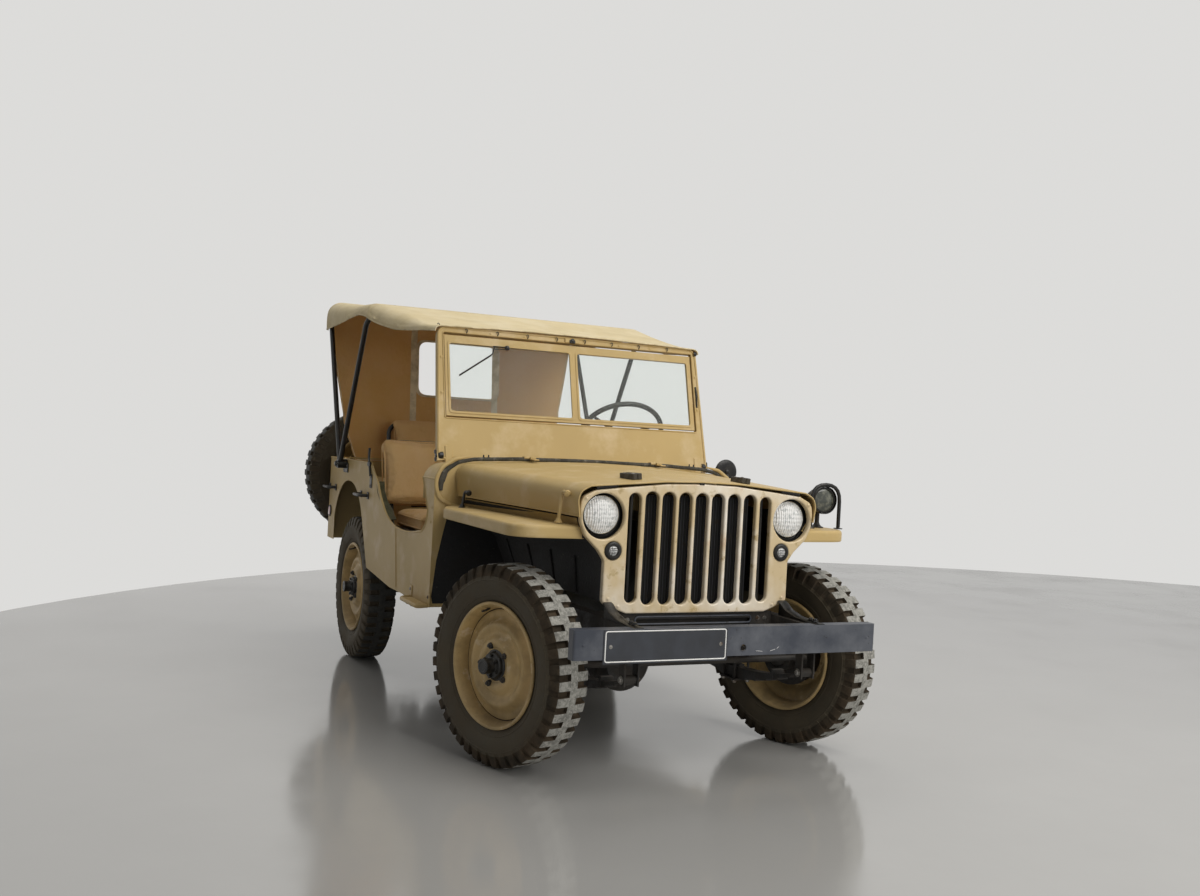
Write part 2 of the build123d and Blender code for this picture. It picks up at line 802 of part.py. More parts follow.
# Floor with its toe board
toe_behind = 930.0
toe_top_behind = 690.0
toe_top_z = 670.0
floor_half = body_inner - seat_gap
floor_rear_x = body_rear_x + sheet + seat_gap
house_front_x = front_axle_x - house_front + seat_gap
house_rear_x = front_axle_x - house_rear - seat_gap
house_side = house_inner - seat_gap
floor_outline = [
    (front_axle_x - toe_behind, -floor_half),
    (front_axle_x - toe_behind, floor_half),
    (house_front_x, floor_half),
    (house_front_x, house_side),
    (house_rear_x, house_side),
    (house_rear_x, floor_half),
    (floor_rear_x, floor_half),
    (floor_rear_x, -floor_half),
    (house_rear_x, -floor_half),
    (house_rear_x, -house_side),
    (house_front_x, -house_side),
    (house_front_x, -floor_half),
]
with BuildPart() as body_floor:
    add(panel(Plane.XY.offset(floor_bottom), floor_outline, sheet))
    add(
        panel(
            Plane.XZ.offset(-floor_half),
            [
                (front_axle_x - toe_behind, floor_bottom),
                (front_axle_x - toe_top_behind, toe_top_z),
                (front_axle_x - toe_top_behind, toe_top_z + sheet),
                (front_axle_x - toe_behind, floor_top),
            ],
            2 * floor_half,
        )
    )
body_floor.part.label = "body_floor"
export_step(body_floor.part, "parts/body_floor.step")

# Side panels with the door cut and the wheel arch
cowl_side_top = 978.0
cowl_depth = 167.0
door_sill_z = 729.0
door_front_behind = 745.0
door_rear_behind = 1724.0
sill_bend_behind = 1277.0
arch_front_behind = 1709.0
arch_knee_behind = 1850.0
arch_knee_z = 725.0
arch_crown_behind = 2140.0
arch_crown_z = 891.0
arch_fall_behind = 2459.0
arch_fall_z = 688.0
door_run = door_rear_behind - door_front_behind
door_height = body_top - door_sill_z


def between(start, end, run_share, rise_share):
    """Point at shares of the run and of the rise between two points."""
    return (
        start[0] + run_share * (end[0] - start[0]),
        start[1] + rise_share * (end[1] - start[1]),
    )


# Wheel arch: start, middle and end of its two arcs, as distance behind the front axle and height
arch_knee = (arch_knee_behind, arch_knee_z)
arch_crown = (arch_crown_behind, arch_crown_z)
arch_fall = (arch_fall_behind, arch_fall_z)
arch_front_shares = (0.40, 0.72)
arch_rear_shares = (0.70, 0.34)
arch_arcs = [
    (arch_knee, between(arch_knee, arch_crown, *arch_front_shares), arch_crown),
    (arch_crown, between(arch_crown, arch_fall, *arch_rear_shares), arch_fall),
]

# Door cut: start, middle and end of its arcs, as shares of its length and of its height
door_arcs = [
    ((0.84, 0.68), (0.70, 0.25), (0.47, 0.01)),
    ((0.47, 0.01), (0.28, 0.0), (0.12, 0.065)),
    ((0.12, 0.065), (0.03, 0.19), (0, 0.42)),
]


def door_point(run_share, height_share):
    """Point on the door cut, as shares of its length and of its height."""
    return (
        front_axle_x - door_front_behind - run_share * door_run,
        door_sill_z + height_share * door_height,
    )


def behind(distance, z):
    """Point at a distance behind the front axle."""
    return (front_axle_x - distance, z)


for place, base in (("right", body_inner), ("left", -body_half_width)):
    with BuildPart() as side_panel:
        with BuildSketch(Plane.XZ.offset(base)):
            with BuildLine():
                Polyline(
                    (front_axle_x - cowl_behind_front - cowl_depth, cowl_side_top),
                    (body_front_x, cowl_side_top),
                    (body_front_x, sill_front_z),
                    behind(sill_bend_behind, sill_front_z),
                    behind(arch_front_behind, sill_rear_z),
                    behind(arch_knee_behind, arch_knee_z),
                )
                for start, middle, end in arch_arcs:
                    ThreePointArc(behind(*start), behind(*middle), behind(*end))
                Polyline(
                    behind(arch_fall_behind, arch_fall_z),
                    behind(arch_fall_behind, tail_z),
                    (body_rear_x, tail_z),
                    (body_rear_x, body_top),
                    door_point(1, 1),
                    door_point(*door_arcs[0][0]),
                )
                for start, middle, end in door_arcs:
                    ThreePointArc(door_point(*start), door_point(*middle), door_point(*end))
                Line(
                    door_point(*door_arcs[-1][-1]),
                    (front_axle_x - cowl_behind_front - cowl_depth, cowl_side_top),
                )
            make_face()
        extrude(amount=sheet)
    side_panel.part.label = "side_panel_" + place
    export_step(side_panel.part, "parts/side_panel_" + place + ".step")

# Rear panel with the spare wheel's carrier
spare_y = tyre_radius - overall_half_width
spare_z = 912.0
spare_x = rear_axle_x - spare_behind_axle
carrier_gap = 1.2
carrier_radius = hub_radius - carrier_gap
carrier_plate_radius = 68.0
carrier_back_x = spare_x - hub_back
with BuildPart() as rear_panel:
    add(
        block(
            (body_rear_x, -body_inner + seat_gap, tail_z),
            (body_rear_x + sheet, body_inner - seat_gap, body_top),
        )
    )
    with BuildSketch(Plane.YZ.offset(body_rear_x)):
        with Locations((spare_y, spare_z)):
            Circle(carrier_plate_radius)
    extrude(amount=-(body_rear_x - carrier_back_x - seat_gap))
    with BuildSketch(Plane.YZ.offset(carrier_back_x + seat_gap)):
        with Locations((spare_y, spare_z)):
            Circle(carrier_radius)
    extrude(amount=-(disc_wall + hub_radius / 2))
rear_panel.part.label = "rear_panel"
export_step(rear_panel.part, "parts/rear_panel.step")

spare_plane = Plane(origin=(spare_x, spare_y, spare_z), x_dir=(0, 0, 1), z_dir=(-1, 0, 0))
with BuildPart() as spare_tyre:
    with Locations(spare_plane.location):
        add(lugged_form.part)
spare_tyre.part.label = "spare_tyre"
export_step(spare_tyre.part, "parts/spare_tyre.step")
with BuildPart() as spare_rim:
    with Locations(spare_plane.location):
        add(spare_rim_form)
spare_rim.part.label = "spare_rim"
export_step(spare_rim.part, "parts/spare_rim.step")

# Cowl: arched top skin, firewall and dash
cowl_top = 1073.0
hinge_z = 1080.0
hinge_x = body_front_x + swing_gap / 2
hinge_radius = 5.0
hinge_length = 24.0
hinge_leaf = 20.0
hinge_depth = 24.0
hinge_places = (-300.0, 300.0)
cowl_shoulder_half = 618.0
cowl_shoulder_z = 1042.0
dash_bottom = 890.0
engine_cut_half = 160.0
engine_cut_top = 690.0
# Middle of the shoulder's arc, as shares of its run and of its rise
shoulder_shares = (0.72, 0.34)


def cowl_face(plane, drop):
    """Arched outline of the cowl above the side panels' tops."""
    with BuildSketch(plane) as face:
        with BuildLine():
            ThreePointArc(
                (-cowl_shoulder_half, cowl_shoulder_z - drop),
                (0, cowl_top - drop),
                (cowl_shoulder_half, cowl_shoulder_z - drop),
            )
            shoulder = (cowl_shoulder_half, cowl_shoulder_z - drop)
            side_top = (body_half_width - drop, cowl_side_top + seat_gap)
            bulge = between(shoulder, side_top, *shoulder_shares)
            for side in (-1, 1):
                ThreePointArc(
                    (side * shoulder[0], shoulder[1]),
                    (side * bulge[0], bulge[1]),
                    (side * side_top[0], side_top[1]),
                )
            Line(
                (drop - body_half_width, cowl_side_top + seat_gap),
                (body_half_width - drop, cowl_side_top + seat_gap),
            )
        make_face()
    return face.sketch


cowl_rear_x = body_front_x - cowl_depth
with BuildPart() as cowl:
    extrude(cowl_face(Plane.YZ.offset(cowl_rear_x), 0), amount=cowl_depth)
    hollow_face = cowl_face(Plane.YZ.offset(cowl_rear_x + sheet), sheet)
    extrude(hollow_face, amount=cowl_depth - 2 * sheet, mode=Mode.SUBTRACT)
    add(
        block(
            (body_front_x - sheet, -body_inner + seat_gap, sill_front_z),
            (body_front_x, body_inner - seat_gap, cowl_side_top + sheet),
        )
    )
    add(
        block(
            (cowl_rear_x, -body_inner + seat_gap, dash_bottom),
            (cowl_rear_x + sheet, body_inner - seat_gap, cowl_side_top + sheet),
        )
    )
    add(
        block(
            (body_front_x - overrun, -engine_cut_half, sill_front_z - overrun),
            (body_front_x + overrun, engine_cut_half, engine_cut_top),
        ),
        mode=Mode.SUBTRACT,
    )
    for side in (-1, 1):
        add(
            block(
                (
                    body_front_x - overrun,
                    side * rail_half_gap - rail_width,
                    rail_bottom - overrun,
                ),
                (body_front_x + overrun, side * rail_half_gap + rail_width, rail_top + swing_gap),
            ),
            mode=Mode.SUBTRACT,
        )
    add(rod(column_foot, steering_centre, column_radius + swing_gap), mode=Mode.SUBTRACT)
    for hinge_y in hinge_places:
        add(
            block(
                (body_front_x - hinge_leaf, hinge_y - hinge_length, hinge_z - hinge_depth),
                (body_front_x, hinge_y - seat_gap, hinge_z + hinge_radius),
            )
        )
        add(
            rod(
                (hinge_x, hinge_y - hinge_length, hinge_z),
                (hinge_x, hinge_y - seat_gap, hinge_z),
                hinge_radius,
            )
        )
cowl.part.label = "cowl"
export_step(cowl.part, "parts/cowl.step")

# Hood sections, from its lower left edge over the top; columns: half-width, height
hood_front_edges = [
    (482.0, 905.0),
    (489.0, 955.0),
    (476.0, 985.0),
    (430.0, 1008.0),
    (150.0, 1037.0),
]
hood_rear_edges = [
    (606.0, 912.0),
    (618.0, 1000.0),
    (611.0, 1025.0),
    (585.0, 1043.0),
    (205.0, 1067.0),
]
hood_front_top = 1041.0
hood_rear_top = 1071.0
hood_front_ahead = grille_ahead + sheet
hood_front_x = front_axle_x + hood_front_ahead
hood_rear_x = body_front_x + swing_gap
hood_drop = swing_gap + sheet


def hood_section(edges, top, inset, low_reach):
    """Closed outline of the hood, drawn in by an inset, its sides let down by a reach."""
    left = [(-(half - inset), z - inset) for half, z in edges]
    left[0] = (left[0][0], edges[0][1] - low_reach)
    right = [(-y, z) for y, z in left[::-1]]
    return left + [(0, top - inset)] + right


with BuildPart() as hood:
    for inset, low_reach, mode in ((0, 0, Mode.ADD), (sheet, overrun, Mode.SUBTRACT)):
        rear_section = hood_section(hood_rear_edges, hood_rear_top, inset, low_reach)
        front_section = hood_section(hood_front_edges, hood_front_top, inset, low_reach)
        add(
            ruled(
                [
                    (Plane.YZ.offset(hood_rear_x), rear_section),
                    (Plane.YZ.offset(hood_front_x), front_section),
                ]
            ),
            mode=mode,
        )
    for hinge_y in hinge_places:
        add(
            block(
                (hood_rear_x, hinge_y, hinge_z - hinge_depth),
                (hood_rear_x + hinge_leaf, hinge_y + hinge_length, hinge_z + hinge_radius),
            )
        )
        add(rod((hinge_x, hinge_y, hinge_z), (hinge_x, hinge_y + hinge_length, hinge_z), hinge_radius))
hood.part.label = "hood"
export_step(hood.part, "parts/hood.step")

# Wooden rest blocks on the hood's top facets
block_length = 95.0
block_width = 38.0
block_height = 19.0
block_ahead = 150.0
block_share = 0.3
run_share = (hood_front_ahead - block_ahead) / (hood_front_x - hood_rear_x)
with BuildPart() as hood_blocks:
    for side in (-1, 1):
        corners = []
        for edges, x in ((hood_front_edges, hood_front_x), (hood_rear_edges, hood_rear_x)):
            (outer_y, outer_z), (inner_y, inner_z) = edges[3], edges[4]
            corners.append((Vector(x, side * outer_y, outer_z), Vector(x, side * inner_y, inner_z)))
        outer = corners[0][0] + (corners[1][0] - corners[0][0]) * run_share
        inner = corners[0][1] + (corners[1][1] - corners[0][1]) * run_share
        along = (corners[0][1] - corners[1][1]).normalized()
        slope = (inner - outer) * side
        spot = inner + (outer - inner) * block_share
        rest = Plane(origin=spot, x_dir=along, z_dir=slope.cross(along))
        if rest.z_dir.Z < 0:
            rest = Plane(origin=rest.origin, x_dir=along, z_dir=rest.z_dir * -1)
        with BuildSketch(rest.offset(seat_gap)):
            Rectangle(block_length, block_width)
        extrude(amount=block_height)
hood_blocks.part.label = "hood_blocks"
export_step(hood_blocks.part, "parts/hood_blocks.step")

# Grille: a pressed sheet with nine slots and four lamp openings
grille_waist_half = 380.0
grille_waist_z = 755.0
grille_side_z = 605.0
# Columns: half-width, height of the flank's curve under the headlamp
grille_flank = [(476.0, 880.0), (455.0, 838.0), (405.0, 790.0)]
grille_foot_half = 285.0
slot_count = 9
slot_pitch = 67.5
slot_width = 40.0
slot_low = 603.0
slot_high = 995.0
outer_slot_trim = 8.0
headlamp_y = 386.0
headlamp_z = 912.0
headlamp_opening = 76.0
marker_y = 347.0
marker_z = 789.0
marker_opening = 32.0
grille_upper = [(-y, z) for y, z in hood_section(hood_front_edges, hood_front_top, hood_drop, 0)]
grille_upper = [point for point in grille_upper if point[1] > hood_front_edges[0][1]]
grille_lower = grille_flank + [
    (grille_waist_half, grille_waist_z),
    (grille_waist_half, grille_side_z),
    (grille_foot_half, grille_bottom),
]
grille_outline = grille_upper + [(-y, z) for y, z in grille_lower] + grille_lower[::-1]
with BuildPart() as grille:
    with BuildSketch(Plane.YZ.offset(grille_face_x - grille_depth)):
        with BuildLine():
            Polyline(*grille_outline, close=True)
        make_face()
    extrude(amount=grille_depth)
    with BuildSketch(Plane.YZ.offset(grille_face_x - grille_depth)):
        with BuildLine():
            Polyline(*grille_outline, close=True)
        make_face()
        offset(amount=-grille_wall, kind=Kind.INTERSECTION, mode=Mode.REPLACE)
    extrude(amount=grille_depth - grille_wall, mode=Mode.SUBTRACT)
    with BuildSketch(Plane.YZ.offset(grille_face_x - grille_depth)):
        for slot in range(slot_count):
            place = slot - (slot_count - 1) / 2
            trim = outer_slot_trim if abs(place) == (slot_count - 1) / 2 else 0
            with Locations((place * slot_pitch, (slot_low + slot_high) / 2)):
                SlotOverall(slot_high - slot_low - 2 * trim, slot_width, rotation=90)
        for side in (-1, 1):
            with Locations((side * headlamp_y, headlamp_z)):
                Circle(headlamp_opening)
            with Locations((side * marker_y, marker_z)):
                Circle(marker_opening)
    extrude(amount=grille_depth + overrun, mode=Mode.SUBTRACT)
grille.part.label = "grille"
export_step(grille.part, "parts/grille.step")

# Lamps behind the grille, each seated on its back face; columns: radius, distance forward
lamp_seat_x = grille_face_x - grille_wall - seat_gap
headlamp_outline = [
    (0, -92.0),
    (30.0, -90.0),
    (62.0, -50.0),
    (72.0, -9.0),
    (82.0, -9.0),
    (82.0, 0),
    (70.0, 0),
    (70.0, 5.0),
    (64.0, 9.0),
    (40.0, 15.0),
    (0, 18.0),
]
marker_outline = [
    (0, -38.0),
    (24.0, -36.0),
    (30.0, -6.0),
    (38.0, -6.0),
    (38.0, 0),
    (26.0, 0),
    (24.0, 5.0),
    (0, 10.0),
]
for name, outline, half, z in (
    ("headlamps", headlamp_outline, headlamp_y, headlamp_z),
    ("marker_lamps", marker_outline, marker_y, marker_z),
):
    lamp_form = turned(outline)
    with BuildPart() as lamps:
        for side in (-1, 1):
            spot = Plane(origin=(lamp_seat_x, side * half, z), x_dir=(0, 1, 0), z_dir=(1, 0, 0))
            with Locations(spot.location):
                add(lamp_form)
    lamps.part.label = name
    export_step(lamps.part, "parts/" + name + ".step")

# Fenders: flat shelf with a skirt, and an apron down the engine bay
fender_half_width = 700.0
fender_top = 872.0
fender_skirt = 45.0
fender_front_ahead = 225.0
fender_corner = 110.0
apron_top = 895.0
apron_waist_z = 755.0
apron_foot_z = 610.0
apron_front_half = 466.0
apron_rear_half = 590.0
apron_waist_half = 376.0
apron_rear_waist_half = 440.0
fender_front_x = grille_face_x - grille_depth - seat_gap
fender_rear_x = body_front_x + seat_gap
shelf_share = (apron_top - fender_top) / (apron_top - apron_waist_z)
shelf_front_half = apron_front_half - (apron_front_half - apron_waist_half) * shelf_share
shelf_rear_half = apron_rear_half - (apron_rear_half - apron_rear_waist_half) * shelf_share


def apron_section(top_half, waist_half):
    """Bent sheet from the hood's edge down to the frame."""
    inner = [(top_half, apron_top), (waist_half, apron_waist_z), (apron_waist_half, apron_foot_z)]
    outer = [(half + sheet, z) for half, z in inner[::-1]]
    return inner + outer


with BuildPart() as fender_form:
    with BuildSketch(Plane.XY.offset(fender_top - fender_skirt)):
        with BuildLine():
            Polyline(
                (fender_rear_x, shelf_rear_half),
                (fender_front_x, shelf_front_half),
                (front_axle_x + fender_front_ahead, fender_half_width),
                (fender_rear_x, fender_half_width),
                close=True,
            )
        make_face()
    extrude(amount=fender_skirt)
    corner_edges = fender_form.edges().filter_by(Axis.Z).group_by(Axis.Y)[-1].sort_by(Axis.X)
    fillet(corner_edges[-1], fender_corner)
    with BuildSketch(Plane.XY.offset(fender_top - fender_skirt)):
        with BuildLine():
            Polyline(
                (fender_rear_x, shelf_rear_half - overrun),
                (fender_front_x - sheet, shelf_front_half - overrun),
                (fender_front_x - sheet, shelf_front_half),
                (front_axle_x + fender_front_ahead - sheet, fender_half_width - sheet),
                (fender_rear_x, fender_half_width - sheet),
                close=True,
            )
        make_face()
    extrude(amount=fender_skirt - sheet, mode=Mode.SUBTRACT)
    add(
        ruled(
            [
                (Plane.YZ.offset(fender_rear_x), apron_section(apron_rear_half, apron_rear_waist_half)),
                (Plane.YZ.offset(fender_front_x), apron_section(apron_front_half, apron_waist_half)),
            ]
        )
    )
for place, shape in (("left", fender_form.part), ("right", mirrored(fender_form.part))):
    with BuildPart() as fender:
        add(shape)
    fender.part.label = "fender_" + place
    export_step(fender.part, "parts/fender_" + place + ".step")

# Shielded driving lamp on the left fender, with its hoop guard
drive_lamp_ahead = 150.0
drive_lamp_y = 620.0
drive_lamp_z = 983.0
drive_lamp_radius = 42.0
drive_lamp_length = 80.0
drive_lamp_post = 9.0
drive_lamp_back_share = 0.7
guard_half_width = 60.0
guard_top = 1041.0
guard_ahead = 190.0
guard_radius = 5.5
guard_bend = 54.0
guard_x = front_axle_x + guard_ahead - guard_half_width / 2
post_x = front_axle_x + drive_lamp_ahead - drive_lamp_length / 2
guard_route = [
    (guard_x, drive_lamp_y - guard_half_width, fender_top + seat_gap),
    (guard_x, drive_lamp_y - guard_half_width, guard_top),
    (guard_x, drive_lamp_y + guard_half_width, guard_top),
    (guard_x, drive_lamp_y + guard_half_width, fender_top + seat_gap),
]
with BuildPart() as driving_lamp:
    add(tubing(guard_route, guard_radius, guard_bend))
    post_foot = (post_x, drive_lamp_y, fender_top + seat_gap)
    add(rod(post_foot, (post_x, drive_lamp_y, drive_lamp_z), drive_lamp_post))
    with BuildSketch(Plane.YZ.offset(post_x - drive_lamp_length / 2)):
        with Locations((drive_lamp_y, drive_lamp_z)):
            Circle(drive_lamp_radius * drive_lamp_back_share)
    with BuildSketch(Plane.YZ.offset(post_x)):
        with Locations((drive_lamp_y, drive_lamp_z)):
            Circle(drive_lamp_radius)
    with BuildSketch(Plane.YZ.offset(post_x + drive_lamp_length / 2)):
        with Locations((drive_lamp_y, drive_lamp_z)):
            Circle(drive_lamp_radius)
    loft(ruled=True)
driving_lamp.part.label = "driving_lamp"
export_step(driving_lamp.part, "parts/driving_lamp.step")

# Windshield, leaning back from the cowl; its plane has X to the left and Y up the slope
screen_lean = 14.6
screen_base_behind = 827.0
screen_base_z = 1046.0
screen_base_half = 655.0
screen_top_half = 640.0
screen_length = 602.0
screen_half_depth = 12.0
screen_corner = 45.0
vent_low = 190.0
vent_high = 572.0
vent_half = 614.0
vent_half_depth = 7.0
vent_pivot_drop = 12.5
vent_pin_radius = 4.0
vent_gap = 10.0
pane_low = 221.0
pane_high = 527.0
pane_outer = 588.0
pane_inner = 15.0
pane_thickness = 5.0
screen_foot_x = front_axle_x - screen_base_behind
screen_plane = Plane(
    origin=(screen_foot_x, 0, screen_base_z),
    x_dir=(0, 1, 0),
    z_dir=(cos(radians(screen_lean)), 0, sin(radians(screen_lean))),
)
screen_arch = (cowl_top - screen_base_z) / cos(radians(screen_lean)) + screen_half_depth / 2
# Feet of the frame on the cowl's arch
screen_foot_y = 568.0
screen_foot_width = 24.0
screen_foot_height = 22.0
cowl_rise = cowl_top - cowl_shoulder_z
cowl_curve = (cowl_shoulder_half ** 2 + cowl_rise ** 2) / (2 * cowl_rise)
screen_foot_z = cowl_top - cowl_curve + sqrt(cowl_curve ** 2 - screen_foot_y ** 2) + seat_gap
with BuildPart() as windshield_frame:
    with BuildSketch(screen_plane.offset(-screen_half_depth)):
        with BuildLine():
            ThreePointArc((-screen_base_half, 0), (0, screen_arch), (screen_base_half, 0))
            Polyline(
                (screen_base_half, 0),
                (screen_top_half, screen_length),
                (-screen_top_half, screen_length),
                (-screen_base_half, 0),
            )
        make_face()
    extrude(amount=2 * screen_half_depth)
    through = Axis(screen_plane.origin, screen_plane.z_dir)
    top_edges = windshield_frame.edges().filter_by(through).group_by(Axis.Z)[-1]
    fillet(top_edges, screen_corner)
    with BuildSketch(screen_plane.offset(-screen_half_depth)):
        with Locations((0, (vent_low + vent_high) / 2)):
            Rectangle(2 * vent_half, vent_high - vent_low)
    extrude(amount=2 * screen_half_depth, mode=Mode.SUBTRACT)
    vent_pivot = screen_plane.origin + screen_plane.y_dir * (vent_high - vent_pivot_drop)
    for side in (-1, 1):
        near = side * (vent_half - swing_gap + seat_gap)
        add(
            rod(
                (vent_pivot.X, near, vent_pivot.Z),
                (vent_pivot.X, side * (vent_half + swing_gap), vent_pivot.Z),
                vent_pin_radius,
            )
        )
        inner_y = side * screen_foot_y
        outer_y = side * (screen_foot_y + screen_foot_width)
        add(
            block(
                (screen_foot_x - sheet, min(inner_y, outer_y), screen_foot_z),
                (
                    screen_foot_x + screen_half_depth,
                    max(inner_y, outer_y),
                    screen_foot_z + screen_foot_height,
                ),
            )
        )
windshield_frame.part.label = "windshield_frame"
export_step(windshield_frame.part, "parts/windshield_frame.step")

with BuildPart() as vent_frame:
    with BuildSketch(screen_plane.offset(-vent_half_depth)):
        with Locations((0, (vent_low + vent_high) / 2)):
            Rectangle(2 * (vent_half - swing_gap), vent_high - vent_low - 2 * vent_gap)
    extrude(amount=2 * vent_half_depth)
    with BuildSketch(screen_plane.offset(-vent_half_depth)):
        for side in (-1, 1):
            with Locations((side * (pane_outer + pane_inner) / 2, (pane_low + pane_high) / 2)):
                Rectangle(pane_outer - pane_inner, pane_high - pane_low)
    extrude(amount=2 * vent_half_depth, mode=Mode.SUBTRACT)
vent_frame.part.label = "vent_frame"
export_step(vent_frame.part, "parts/vent_frame.step")

with BuildPart() as windshield_glass:
    with BuildSketch(screen_plane.offset(-pane_thickness / 2)):
        for side in (-1, 1):
            with Locations((side * (pane_outer + pane_inner) / 2, (pane_low + pane_high) / 2)):
                pane_width = pane_outer - pane_inner - 2 * seat_gap
                Rectangle(pane_width, pane_high - pane_low - 2 * seat_gap)
    extrude(amount=pane_thickness)
windshield_glass.part.label = "windshield_glass"
export_step(windshield_glass.part, "parts/windshield_glass.step")

# Top bows from one pivot on each side
bow_pivot_behind = 2227.0
bow_pivot_z = 977.0
bow_half_width = 742.0
bow_radius = 13.0
bow_bend = 110.0
front_bow_behind = 1765.0
front_bow_z = 1762.0
rear_bow_behind = 2663.0
rear_bow_z = 1845.0
boss_radius = 24.0
pivot_x = front_axle_x - bow_pivot_behind
bow_tops = [
    (front_axle_x - front_bow_behind, front_bow_z),
    (front_axle_x - rear_bow_behind, rear_bow_z),
]
with BuildPart() as top_bows:
    for top_x, top_z in bow_tops:
        add(
            tubing(
                [
                    (pivot_x, -bow_half_width, bow_pivot_z),
                    (top_x, -bow_half_width, top_z),
                    (top_x, bow_half_width, top_z),
                    (pivot_x, bow_half_width, bow_pivot_z),
                ],
                bow_radius,
                bow_bend,
            )
        )
    for side in (-1, 1):
        add(
            rod(
                (pivot_x, side * (body_half_width + seat_gap), bow_pivot_z),
                (pivot_x, side * (bow_half_width + bow_radius), bow_pivot_z),
                boss_radius,
            )
        )
top_bows.part.label = "top_bows"
export_step(top_bows.part, "parts/top_bows.step")

# Canvas roof: one shell over the header and both bows, open below
canvas = 5.0
canvas_corner = 60.0
canvas_front_behind = 955.0
canvas_dip_behind = 1242.0
canvas_peak_behind = 1880.0
canvas_front_half = 652.0
canvas_half_width = bow_half_width + bow_radius + seat_gap + canvas
header_rise = screen_length * cos(radians(screen_lean)) + screen_half_depth * sin(radians(screen_lean))
header_z = screen_base_z + header_rise
front_roof_z = header_z + seat_gap + canvas
bow_roof_z = front_bow_z + bow_radius + seat_gap + canvas
rear_roof_z = rear_bow_z + bow_radius + seat_gap + canvas
canopy_rear_behind = 2683.0
rear_valance = 154.0
header_valance = 32.0
dip_valance = 16.0
bow_valance = 68.0
peak_rise = 8.0
peak_valance = 56.0
corner_share = 0.8
dip_share = (canvas_dip_behind - canvas_front_behind) / (front_bow_behind - canvas_front_behind)
# Columns: distance behind the front axle, half-width, roof height, lower edge
canvas_stations = [
    (canvas_front_behind, canvas_front_half, front_roof_z, front_roof_z - header_valance),
    (
        canvas_dip_behind,
        canvas_front_half + (canvas_half_width - canvas_front_half) * dip_share,
        front_roof_z + (bow_roof_z - front_roof_z) * dip_share,
        front_roof_z - dip_valance,
    ),
    (front_bow_behind, canvas_half_width, bow_roof_z, bow_roof_z - bow_valance),
    (
        canvas_peak_behind,
        canvas_half_width,
        bow_roof_z + peak_rise,
        bow_roof_z + peak_rise - peak_valance,
    ),
    (rear_bow_behind, canvas_half_width, rear_roof_z, rear_roof_z - rear_valance),
    (canopy_rear_behind, canvas_half_width, rear_roof_z, rear_roof_z - rear_valance),
]


def canvas_section(half, top, low, inset):
    """Roof outline with cut corners, drawn in by the canvas's thickness."""
    side_half = half - inset
    corner = min(canvas_corner, (top - low) * corner_share)
    left = [
        (-side_half, low),
        (-side_half, top - corner),
        (-side_half + corner - inset / 2, top - inset),
    ]
    return left + [(-y, z) for y, z in left[::-1]]


with BuildPart() as canopy_roof:
    for inset, drop, mode in ((0, 0, Mode.ADD), (canvas, overrun, Mode.SUBTRACT)):
        sections = []
        for distance, half, top, low in canvas_stations:
            outline = canvas_section(half, top, low, inset)
            outline[0] = (outline[0][0], outline[0][1] - drop)
            outline[-1] = (outline[-1][0], outline[-1][1] - drop)
            sections.append((Plane.YZ.offset(front_axle_x - distance), outline))
        add(ruled(sections), mode=mode)
canopy_roof.part.label = "canopy_roof"
export_step(canopy_roof.part, "parts/canopy_roof.step")

# Rear curtain, from the roof's rear edge to the back of the body, with its window
curtain_foot_z = 985.0
curtain_shoulder = 110.0
window_half = 237.0
window_low = 1380.0
window_high = 1690.0
window_corner = 50.0
curtain_foot_x = body_rear_x - seat_gap
curtain_rise = rear_roof_z - rear_valance - curtain_foot_z
curtain_run = front_axle_x - canopy_rear_behind - seat_gap - curtain_foot_x
curtain_slope = hypot(curtain_rise, curtain_run) / curtain_rise
curtain_plane = Plane(
    origin=(curtain_foot_x, 0, curtain_foot_z),
    x_dir=(0, 1, 0),
    z_dir=(curtain_rise, 0, -curtain_run),
)
# Columns: half-width, height above the ground
curtain_edges = [
    (572.0, curtain_foot_z),
    (636.0, 1177.0),
    (733.0, 1734.0),
    (canvas_half_width, rear_roof_z - curtain_shoulder),
    (canvas_half_width, rear_roof_z - canvas_corner),
    (canvas_half_width - canvas_corner, rear_roof_z),
]
curtain_left = [(-half, (z - curtain_foot_z) * curtain_slope) for half, z in curtain_edges]
window_middle = ((window_low + window_high) / 2 - curtain_foot_z) * curtain_slope
with BuildPart() as rear_curtain:
    with BuildSketch(curtain_plane.offset(-canvas)):
        with BuildLine():
            Polyline(*(curtain_left + [(-y, z) for y, z in curtain_left[::-1]]), close=True)
        make_face()
        with Locations((0, window_middle)):
            window_rise = (window_high - window_low) * curtain_slope
            RectangleRounded(2 * window_half, window_rise, window_corner, mode=Mode.SUBTRACT)
    extrude(amount=canvas)
rear_curtain.part.label = "rear_curtain"
export_step(rear_curtain.part, "parts/rear_curtain.step")

# Front seats: tube frames with a pan, and cushions between the tubes
seat_middle_y = 420.0
seat_half_width = 215.0
seat_tube = 12.0
seat_bend = 55.0
seat_front_behind = 1135.0
seat_rear_behind = 1590.0
seat_back_behind = 1695.0
seat_pan_z = 705.0
seat_back_z = 1108.0
pan_thickness = 6.0
cushion_height = 82.0
cushion_round = 18.0
back_cushion_low = 815.0
back_cushion_depth = 60.0
back_lean = Plane(
    origin=(front_axle_x - seat_rear_behind, 0, seat_pan_z),
    x_dir=(0, 1, 0),
    z_dir=(seat_back_z - seat_pan_z, 0, seat_back_behind - seat_rear_behind),
)
back_rise = seat_back_z - seat_pan_z
back_stretch = hypot(back_rise, seat_back_behind - seat_rear_behind) / back_rise

